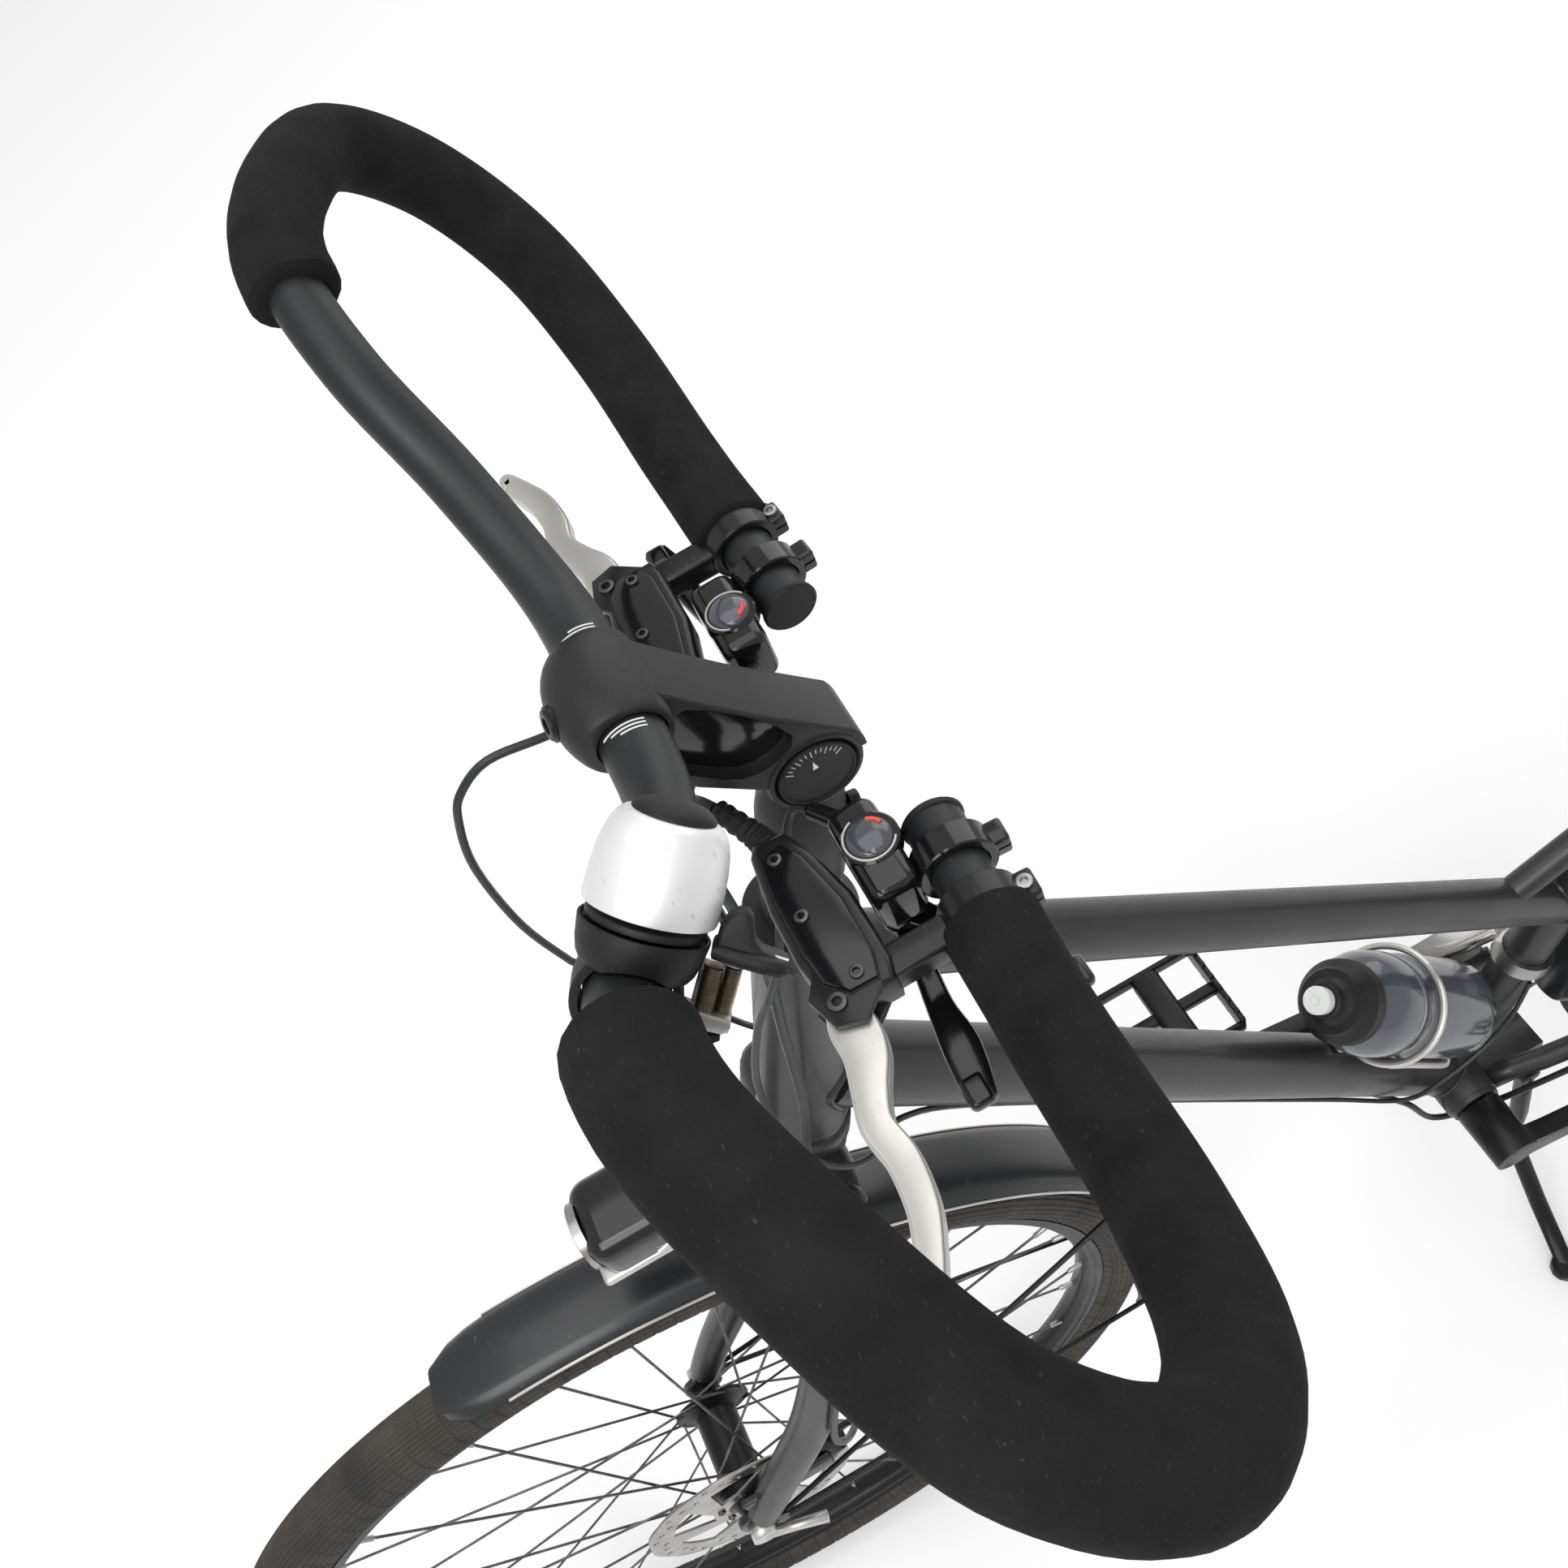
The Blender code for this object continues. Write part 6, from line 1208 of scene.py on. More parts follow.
def paired(piece: Piece, finish: Finish, body: Body, *nodes: str, **more: object) -> None:
    """Fits a piece on the left, and its mirror image on the right.

    Args:
        piece: The piece for the left side, in the drawing's place.
        finish: Its finish.
        body: The body that the left one rides on.
        nodes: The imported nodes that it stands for, without the name of their side.
        more: What else `fitted` takes.
    """
    name = piece.name
    other = mirrored(piece, f"{name}_right")
    piece.name = f"{name}_left"
    for each, side in ((piece, 1), (other, -1)):
        carrier = body.on(side) if body.name.endswith("_LEFT") else body
        named = (f"{node}_{SIDE_NAMES[side]}" for node in nodes)
        fitted(each, finish, carrier, *named, **more)


@dataclass
class Controls:
    """One side's brake lever and shifter, made for the left and mirrored for the right.

    Places in it are (ahead, out, up) from the point `at` on the bar's rear arm.
    """

    at: Vector = fixed(0.32393, 0.1, 1.0668)
    band_bore: float = 0.0118
    band_radius: float = 0.0150
    brake_at: float = 0.1035
    shifter_at: float = 0.079
    blade_half: float = 0.0042
    lug_half: float = 0.0080
    post: tuple[float, float] = (0.0215, -0.027)

    def point(self, ahead: float, out: float, up: float = 0.0) -> Vector:
        """A point from its place beside the bar."""
        return self.at + Vector((ahead, out, up))

    def plate(
        self, name: str, outline: Outline, low: float, high: float, edge: float,
        holes: Sequence[Outline] = (),
    ) -> Piece:
        """A flat part of any outline that lies across the upright direction."""
        return slab(name, outline, low, high, self.at, edge=edge, holes=holes)

    @staticmethod
    def band_place(left: float) -> tuple[Vector, Vector, Vector]:
        """The middle of a clamp band, the bar's direction there and the way back from it."""
        centre, along = HANDLEBAR.rear(left)
        return centre, along, (AHEAD - along * AHEAD.dot(along)).normalized() * -1

    def band(self, left: float, half: float) -> Piece:
        """The clamp band round the bar, with its split ear."""
        centre, along, back = self.band_place(left)
        bore, outer = self.band_bore, self.band_radius
        profile = (
            (-half, bore), (-half, outer - 0.0006), (-half + 0.0006, outer),
            (half - 0.0006, outer), (half, outer - 0.0006), (half, bore),
        )
        ring = lathe("ring", profile, centre, along, 48, looped=True)
        at = centre + back * (outer + 0.0008)
        ear = brick("ear", (0.009, 2 * half - 0.0012, 0.0100), at, back, UP, 0.0014)
        at = centre + back * (outer + 0.002)
        carved(ear, brick("slit", (0.014, 2 * half + 0.002, 0.0011), at, back, UP, 0.0001, 1))
        return fused("band", ring, ear)

    def brake_body(self) -> None:
        """The hydraulic body along the bar, its cover plate, screws, hose boot and lug."""
        outline = (
            (0.0345, 0.004), (0.0370, 0.0125), (0.0540, 0.0125), (0.0615, 0.004), (0.0640, -0.010),
            (0.0638, -0.034), (0.0605, -0.058), (0.0575, -0.0625), (0.0450, -0.0610),
            (0.0400, -0.048), (0.0350, -0.026),
        )
        body = self.plate("body", outline, -0.0088, 0.0080, 0.0032)
        bridge = brick("bridge", (0.030, 0.013, 0.012), self.point(0.026, 0.0045), edge=0.0022)
        band = self.band(self.brake_at, 0.0062)
        lug = (
            (0.044, -0.002), (0.060, -0.006), (0.0665, 0.004), (0.0625, 0.0175), (0.052, 0.0205),
            (0.041, 0.011),
        )
        lugs = [
            self.plate("lug", lug, low, low + 0.0033, 0.0008)
            for low in (-self.lug_half, self.lug_half - 0.0033)
        ]
        paired(
            fused("brake_housing", body, bridge, band, *lugs), LEVER_BLACK, Body.BAR, "brake_body",
            angle=30,
        )
        cover = (
            (0.0395, 0.000), (0.0420, 0.0092), (0.0525, 0.0092), (0.0590, 0.002), (0.0608, -0.012),
            (0.0604, -0.034), (0.0578, -0.054), (0.0485, -0.0555), (0.0440, -0.046), (0.0395, -0.024),
        )
        plate = self.plate("brake_cover", cover, 0.0076, 0.0096, 0.0007)
        seam = self.plate("brake_cover_seam", cover, 0.0072, 0.0082, 0.0001)
        middle = Matrix.Translation(self.point(0.05, -0.022))
        seam.data.transform(middle @ Matrix.Diagonal((1.06, 1.03, 1, 1)) @ middle.inverted())
        paired(plate, GLOSS_BLACK, Body.BAR, angle=30)
        paired(seam, RUBBER_BLACK, Body.BAR)
        heads = [
            screw("head", self.point(x, y, 0.0096), UP, 0.0027, 0.0012)
            for x, y in ((0.0475, 0.0045), (0.0545, -0.0245), (0.0530, -0.0500))
        ]
        heads.append(screw("pin", self.point(0.058, 0.010, self.lug_half), UP, 0.0036, 0.0014))
        paired(fused("brake_screws", *heads), DARK_STEEL, Body.BAR)
        centre, _, back = self.band_place(self.brake_at)
        at = centre + back * (self.band_radius + 0.0012) + UP * 0.0049
        paired(screw("brake_band_bolt", at, UP, 0.0030, 0.0018), BRIGHT_STEEL, Body.BAR)
        route = smooth(
            ((0.0515, -0.056, 0), (0.0530, -0.064, 0), (0.0555, -0.072, 0), (0.062, -0.088, 0)), 7
        )
        line = [self.point(*place) for place in route]
        scales = [1.14 if index % 2 else 0.96 for index in range(len(line))]
        scales = [scale * (1.12 - 0.38 * index / len(line)) for index, scale in enumerate(scales)]
        paired(sweep("hose_boot", line, 0.0052, 20, scales), RUBBER_BLACK, Body.BAR, angle=25)

    @staticmethod
    def strip(line: list[Vector]) -> list[tuple[float, float]]:
        """The outline of a strip whose points hold their place and their width."""
        return ribbon([point.xy for point in line], [point.z for point in line])

    def blade(self) -> None:
        """The silver blade, a flat S whose thick edges are round."""
        rough = (
            (0.0575, 0.0062), (0.0575, 0.016), (0.0580, 0.028), (0.0625, 0.040), (0.0660, 0.052),
            (0.0640, 0.066), (0.0655, 0.082), (0.0700, 0.095), (0.0740, 0.106),
        )
        widths = (0.010, 0.0165, 0.0160, 0.0130, 0.0118, 0.0118, 0.0112, 0.0100, 0.0075)
        line = smooth([(*place, width) for place, width in zip(rough, widths)], 6)
        outline = self.strip(line)
        half = self.blade_half
        tip = arc(0.0036, -12, 168, 8, 0.0740, 0.1058)
        blade = self.plate("blade", outline, -half, half, 0.0017)
        end = self.plate("end", [*tip, (0.0722, 0.100), (0.0768, 0.100)], -half, half, 0.0017)
        lever = fused("brake_lever", blade, end)
        paired(lever, BRUSHED_SILVER, Body.BLADE_LEFT, "brake_blade", angle=30)

    def shifter(self) -> None:
        """The shifter's pod with its window, rim, mark, cable exit and post; its two levers come from
        `shift_lever`.
        """
        pod = brick(
            "pod", (0.0190, 0.0425, 0.0262), self.point(0.0218, -0.036, -0.0025), edge=0.0052,
            segments=5,
        )
        shoulder = lathe(
            "shoulder", ((-0.004, 0.0112), (0.0012, 0.0108), (0.0020, 0.0100)),
            self.point(0.0205, -0.038, 0.0095), UP, 48,
        )
        band = self.band(self.shifter_at, 0.0055)
        exit_route = [
            self.point(0.0225, -0.053, -0.004), self.point(0.0270, -0.062, -0.004),
            self.point(0.0325, -0.0705, -0.004),
        ]
        nozzle = sweep("nozzle", smooth(exit_route, 5), 0.0042, 20, [1 - 0.018 * i for i in range(11)])
        x, y = self.post
        post = lathe(
            "post", ((-0.0322, 0.0052), (-0.0318, 0.0062), (-0.0305, 0.0062), (-0.0303, 0.004),
                     (-0.0120, 0.004)), self.point(x, y), UP, 32,
        )
        paired(
            fused("shifter_pod", pod, shoulder, band, nozzle, post), GLOSS_BLACK, Body.BAR,
            "shifter", angle=34,
        )
        top = self.point(0.0205, -0.038, 0.0095)
        dome = [(0.0010 + 0.0040 * cos(turn), 0.0086 * sin(turn)) for turn in
                [radians(89 - 9.8 * index) for index in range(10)]]
        window = lathe("shifter_window", ((-0.001, 0.0086), *dome), top, UP, 40)
        paired(window, SMOKY_BOTTLE, Body.BAR)
        rim = [top + Vector((*place, 0.0021)) for place in arc(0.0095, -70, 150, 22)]
        paired(sweep("shifter_rim", rim, 0.0005, 8), BRUSHED_SILVER, Body.BAR)
        mark = [top + Vector((*place, 0.0039)) for place in arc(0.0062, 196, 251, 5)]
        paired(sweep("shifter_mark", mark, 0.0009, 8), RED_MARK, Body.BAR)

    def shift_lever(
        self, name: str, body: Body, bottom: float, route: Outline, widths: Sequence[float]
    ) -> None:
        """A lever that turns on the shifter's post.

        Args:
            name: The lever's name.
            body: The body that the left one is.
            bottom: How high its lower face is.
            route: The points of its middle line, from the post on.
            widths: Its width at each of them.
        """
        line = smooth([(*place, width) for place, width in zip(route, widths)], 5)
        arm = self.plate("arm", self.strip(line), bottom, bottom + 0.0045, 0.0014)
        x, y = self.post
        eye = self.plate(
            "eye", circle(0.009, 40, x, y), bottom - 0.0001, bottom + 0.0046, 0.0010,
            [circle(0.0047, 24, x, y)],
        )
        last = line[-1]
        pad = brick(
            "pad", (last.z * 0.9, 0.012, 0.0062), self.point(last.x, last.y - 0.004, bottom + 0.0022),
            edge=0.0024, segments=4,
        )
        hole = rod("hole", self.point(x, y, bottom - 0.002), self.point(x, y, bottom + 0.007), 0.0046)
        carved(arm, hole)
        paired(fused(name, arm, eye, pad), GLOSS_BLACK, body, name.split("_")[0], angle=32)

    def build(self) -> None:
        """Builds both sides."""
        self.brake_body()
        self.blade()
        self.shifter()
        self.shift_lever(
            "thumb_paddle", Body.THUMB_LEFT, -0.0300,
            ((0.0215, -0.027), (0.025, -0.008), (0.028, 0.012), (0.029, 0.030), (0.032, 0.050)),
            (0.012, 0.009, 0.010, 0.014, 0.011),
        )
        self.shift_lever(
            "trigger_paddle", Body.TRIGGER_LEFT, -0.0235,
            ((0.0215, -0.027), (0.008, -0.006), (-0.006, 0.012), (-0.017, 0.034)),
            (0.012, 0.008, 0.008, 0.010),
        )


@dataclass
class Bell:
    """The bell on the left front arm of the bar.

    Places in it are (towards the thumb lever, up the bell's own axis, towards the bar's
    middle) from the middle of the bar under it.
    """

    at: float = 0.149
    up: Vector = field(default_factory=lambda: Vector((-0.695, -0.454, 0.558)).normalized())
    ring_half: float = 0.0060
    cup: Outline = (
        (0.0222, 0.0162), (0.0217, 0.0166), (0.0217, 0.0170), (0.0224, 0.0172), (0.0290, 0.0170),
        (0.0345, 0.0166), (0.0390, 0.0158), (0.0420, 0.0148), (0.0438, 0.0137), (0.0450, 0.0124),
        (0.0456, 0.0112), (0.0458, 0.0100),
    )
    cap: Outline = (
        (0.0452, 0.0103), (0.0460, 0.0107), (0.0465, 0.0106), (0.0476, 0.0095), (0.0486, 0.0072),
        (0.0493, 0.0040), (0.0495, 0.0006),
    )

    def __post_init__(self) -> None:
        """Finds the bell's seat on the bar and its own directions."""
        self.seat, self.tangent = HANDLEBAR.front(self.at)
        rough = Vector((-0.869, 0.412, -0.274))
        self.way = (rough - self.up * rough.dot(self.up)).normalized()
        self.aside = self.up.cross(self.way)

    def point(self, way: float, up: float, aside: float = 0.0) -> Vector:
        """A point from its place in the bell."""
        return self.seat + self.way * way + self.up * up + self.aside * aside

    def profile(self, name: str, outline: Outline, low: float, high: float, edge: float) -> Piece:
        """A plate whose outline lies in the plane of the lever and the bell's axis."""
        outline = [(way, -up) for way, up in outline]
        return slab(name, outline, low, high, self.seat, self.way, self.aside, edge)

    def room(self) -> Piece:
        """A rod as thick as the bar, which cuts its room out of the bell."""
        return rod(
            "room", self.seat - self.tangent * 0.03, self.seat + self.tangent * 0.03, 0.0119, 48
        )

    def base(self) -> None:
        """The ring round the bar, the dish under the cup and the clamp's lower jaw."""
        half = self.ring_half
        ring_profile = (
            (-half, 0.0118), (-half, 0.0134), (-half + 0.0006, 0.0140), (half - 0.0006, 0.0140),
            (half, 0.0134), (half, 0.0118),
        )
        ring = lathe("ring", ring_profile, self.seat, self.tangent, 48, looped=True)
        dish_profile = (
            (0.0060, 0.0020), (0.0060, 0.0128), (0.0068, 0.0142), (0.0084, 0.0152),
            (0.0116, 0.0161), (0.0166, 0.0168), (0.0172, 0.0168), (0.0174, 0.0165),
            (0.0174, 0.0160), (0.0162, 0.0157), (0.0158, 0.0150), (0.0158, 0.0020),
        )
        dish = carved(lathe("dish", dish_profile, self.seat, self.up, 64), self.room())
        neck = lathe("neck", ((0.0150, 0.0070), (0.0222, 0.0070)), self.seat, self.up, 32)
        jaw_outline = (
            (0.0095, -0.0042), (0.0245, -0.0040), (0.0250, -0.0052), (0.0190, -0.0098),
            (0.0120, -0.0118),
        )
        jaw = carved(self.profile("jaw", jaw_outline, -0.0040, 0.0050, 0.0008), self.room())
        base = fused("bell_dish", ring, dish, neck, jaw)
        fitted(base, MOULDED_BLACK, Body.BAR, "bell_base", angle=30)

    def bracket(self) -> None:
        """The silver bracket with its foot, and the two long screws that stand in it."""
        cheek_outline = (
            (0.0030, 0.0125), (0.0122, 0.0125), (0.0130, 0.0040), (0.0142, 0.0012),
            (0.0262, 0.0010), (0.0266, -0.0010), (0.0250, -0.0030), (0.0100, -0.0034),
            (0.0080, -0.0010), (0.0060, 0.0050),
        )
        cheek = carved(self.profile("cheek", cheek_outline, -0.0052, -0.0038, 0.0004), self.room())
        at = self.point(0.0190, -0.0012, 0.0002)
        foot = brick("foot", (0.0150, 0.0100, 0.0034), at, self.way, self.up, 0.0008)
        at = self.point(0.0195, 0.0060, 0.0052)
        wall = brick("wall", (0.0075, 0.0010, 0.0115), at, self.way, self.up, 0.0003, 2)
        fitted(fused("bell_bracket", cheek, foot, wall), BRUSHED_SILVER, Body.BAR, angle=30)
        screws = []
        for way, aside, radius in ((0.0190, -0.0016, 0.0026), (0.0238, 0.0022, 0.0024)):
            thread = [
                (0.00033 * index, radius - (0 if index % 2 else 0.0005)) for index in range(37)
            ]
            screws.append(lathe("thread", thread, self.point(way, 0.0005, aside), self.up, 24))
        fitted(fused("bell_screws", *screws), WARM_SCREW, Body.BAR, angle=20)

    def striker(self) -> None:
        """The thumb lever: a fin that rises beside the cup from a tab with two white dashes."""
        fin_outline = (
            (0.0178, 0.0150), (0.0178, 0.0225), (0.0190, 0.0258), (0.0212, 0.0278), (0.0234, 0.0282),
            (0.0250, 0.0268), (0.0260, 0.0238), (0.0272, 0.0212), (0.0292, 0.0196), (0.0330, 0.0188),
            (0.0340, 0.0150),
        )
        fin = self.profile("fin", fin_outline, -0.0048, 0.0030, 0.0016)
        tab_outline = ribbon(
            [(way, 0) for way in (0.0172, 0.0200, 0.0245, 0.0300, 0.0345, 0.0362, 0.0368)],
            (0.0110, 0.0130, 0.0145, 0.0155, 0.0140, 0.0105, 0.0050),
        )
        place = (self.seat, self.way, self.up)
        tab = slab("tab", tab_outline, 0.0146, 0.0186, *place, edge=0.0013)
        disc = slab("disc", circle(0.0154, 56), 0.0177, 0.0200, *place, edge=0.0005)
        striker = fused("bell_striker", tab, disc, fin)
        fitted(striker, MOULDED_BLACK, Body.BELL_THUMB, "bell_lever", angle=50)
        across = Matrix.Rotation(radians(-8), 4, self.up) @ self.way
        dashes = []
        for way, aside in ((0.0296, 0.0006), (0.0332, -0.0022)):
            at = self.point(way, 0.0187, aside)
            dashes.append(brick("dash", (0.0056, 0.0014, 0.0004), at, across, self.up, 0.0006, 3))
        fitted(fused("bell_dashes", *dashes), WHITE_PRINT, Body.BELL_THUMB)

    def build(self) -> None:
        """Builds the whole bell."""
        self.base()
        cup = lathe("bell_dome", self.cup, self.seat, self.up, 64)
        fitted(cup, SATIN_SILVER, Body.BAR, "bell_cup", angle=50)
        fitted(lathe("bell_cap", self.cap, self.seat, self.up, 48), RUBBER_BLACK, Body.BAR, angle=60)
        self.bracket()
        self.striker()


def refined(
    node: str, finish: Finish, body: Body, angle: float = 42, edge: float = 0.0
) -> Piece:
    """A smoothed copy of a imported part, with the finish of its kind.

    Args:
        node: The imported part's name.
        finish: Its finish.
        body: The body that carries it.
        angle: Edges sharper than this many degrees stay sharp.
        edge: The rounding of its sharp edges, or 0 for none.

    Returns:
        The copy, fitted.
    """
    piece = linked(node + "_finish", bpy.data.objects[node].data.copy())
    piece.data.transform(INTO_FRAME.inverted())
    tidied(piece, outside=False)
    if edge:
        modified(
            piece, "BEVEL", width=edge, segments=2, limit_method="ANGLE",
            angle_limit=radians(angle), use_clamp_overlap=True,
        )
    return fitted(piece, finish, body, node, angle=angle)


@dataclass
class Frame:
    """The frame's tubes with their welds, its stays, its bottom bracket and its stand."""

    head_radius: float = 0.023
    top_radius: float = 0.0166
    down_radius: float = DOWN_TUBE_RADIUS
    seat_radius: float = 0.016
    seat_length: float = 0.504
    shell_radius: float = 0.0215
    bead: float = 0.0019

    def tube(self, start: Vector, end: Vector, radius: float) -> Piece:
        """A plain tube between two points."""
        long = (end - start).length
        profile = ((0, radius), (long * 0.5, radius), (long, radius))
        return lathe("tube", profile, start, end - start, 64)

    def weld(
        self, start: Vector, way: Vector, radius: float, into: Vector, axis: Vector, size: float
    ) -> Piece:
        """The bead of weld where a tube meets a round one.

        Args:
            start: A point of the tube's middle line.
            way: The direction in which it runs to the other one.
            radius: Its radius.
            into: A point of the other one's middle line.
            axis: The direction of the other one.
            size: The radius of the other one.

        Returns:
            The bead.
        """
        way, axis = way.normalized(), axis.normalized()
        side = way.cross(axis).normalized()
        third = side.cross(way)
        points = []
        for step in range(96):
            angle = tau * step / 96
            point = start + side * (radius * cos(angle)) + third * (radius * sin(angle))
            away = point - into
            away -= axis * away.dot(axis)
            along = way - axis * way.dot(axis)
            a, b, c = along.dot(along), away.dot(along), away.dot(away) - size * size
            root = max(b * b - a * c, 0)
            points.append(point + way * ((-b - root**0.5) / a))
        points.append(points[0])
        scales = [1 + 0.10 * (step % 2) for step in range(97)]
        return sweep("weld", points, self.bead, 12, scales)

    def tubes(self) -> None:
        """The head, top, down and seat tubes with their welds."""
        d = DRAWING
        foot, up = d.steer(0), d.steer_up
        low, high = FORK_LENGTH, HEAD_TOP
        profile = (
            (low, 0.0168), (low, 0.0249), (low + 0.0008, 0.0255), (low + 0.0104, 0.0255),
            (low + 0.0120, 0.0244), (low + 0.0128, 0.0233), (low + 0.0150, self.head_radius),
            (low + 0.0172, 0.0240), (low + 0.0200, 0.0236), (low + 0.0225, self.head_radius),
            (high - 0.0225, self.head_radius), (high - 0.0200, 0.0236), (high - 0.0172, 0.0240),
            (high - 0.0150, self.head_radius), (high - 0.0128, 0.0233), (high - 0.0120, 0.0244),
            (high - 0.0104, 0.0255), (high - 0.0008, 0.0255), (high, 0.0249), (high, 0.0168),
        )
        shell = lathe("head_tube_shell", profile, foot, up, 72, looped=True)
        fitted(shell, FRAME_PAINT, Body.FRAME, "head_tube")
        top_head, top_seat = d.steer(HEAD_TOP - 0.033), d.seat(0.21883)
        down_head = d.steer(DOWN_TUBE_TOP)
        back = (top_seat - top_head).normalized()
        reach = 0.030
        top = self.tube(top_head + back * reach * 0.6, top_seat - back * 0.006, self.top_radius)
        start = top_seat - back * (0.055 / -back.x)
        brace_end = d.seat(0.318)
        brace = self.tube(start, brace_end, 0.010)
        to_head = (foot, up, self.head_radius)
        to_seat = (d.bracket, d.seat_up, self.seat_radius)
        welds = [
            self.weld(top_head + back * 0.1, -back, self.top_radius, *to_head),
            self.weld(top_seat - back * 0.1, back, self.top_radius, *to_seat),
            self.weld(start, brace_end - start, 0.010, *to_seat),
        ]
        fitted(fused("top_tube_run", top, brace, *welds), FRAME_PAINT, Body.FRAME, "top_tube")
        way = (down_head - d.bracket).normalized()
        down = self.tube(d.bracket + way * 0.018, down_head - way * 0.014, self.down_radius)
        to_shell = (d.bracket, LEFT, self.shell_radius)
        welds = [
            self.weld(down_head - way * 0.1, way, self.down_radius, *to_head),
            self.weld(d.bracket + way * 0.1, -way, self.down_radius, *to_shell),
        ]
        fitted(fused("down_tube_run", down, *welds), FRAME_PAINT, Body.FRAME, "down_tube")
        long = self.seat_length
        profile = (
            (0.018, self.seat_radius), (long - 0.0165, self.seat_radius), (long - 0.0160, 0.0188),
            (long - 0.0154, 0.0195), (long - 0.0008, 0.0195), (long, 0.0188), (long, 0.0142),
            (long - 0.060, 0.0142), (long - 0.060, 0.002),
        )
        seat = lathe("seat", profile, d.bracket, d.seat_up, 56)
        axes = (d.seat_ahead, d.seat_up)
        lug = brick("lug", (0.016, 0.014, 0.0135), d.seat(long - 0.008, -0.0195), *axes, 0.0015)
        at = d.seat(long - 0.008, -0.0225)
        carved(lug, brick("slit", (0.030, 0.0018, 0.03), at, *axes, 0.0002, 1))
        bolt = screw("seat_clamp_bolt", d.seat(long - 0.008, -0.0225, 0.0070), LEFT, 0.0040, 0.003)
        fitted(fused("seat_tube_run", seat, lug), FRAME_PAINT, Body.FRAME, "seat_tube")
        fitted(bolt, BRIGHT_STEEL, Body.FRAME)

    def build(self) -> None:
        """Builds the frame."""
        self.tubes()
        refined("bb_shell", FRAME_PAINT, Body.FRAME, 40, 0.0006)
        for side in SIDES:
            refined("stays_" + SIDE_NAMES[side], FRAME_PAINT, Body.FRAME, 46)
        refined("kickstand", BLACK_PARTS, Body.STAND, 50)
        tips = [
            lathe("tip", ((-0.0004, 0.0102), (0.0010, 0.0112), (0.0160, 0.0104), (0.0180, 0.0088)),
                  Vector((-0.050, side * 0.125, 0.0004)), UP, 32)
            for side in SIDES
        ]
        fitted(fused("stand_tips", *tips), RUBBER_BLACK, Body.STAND)


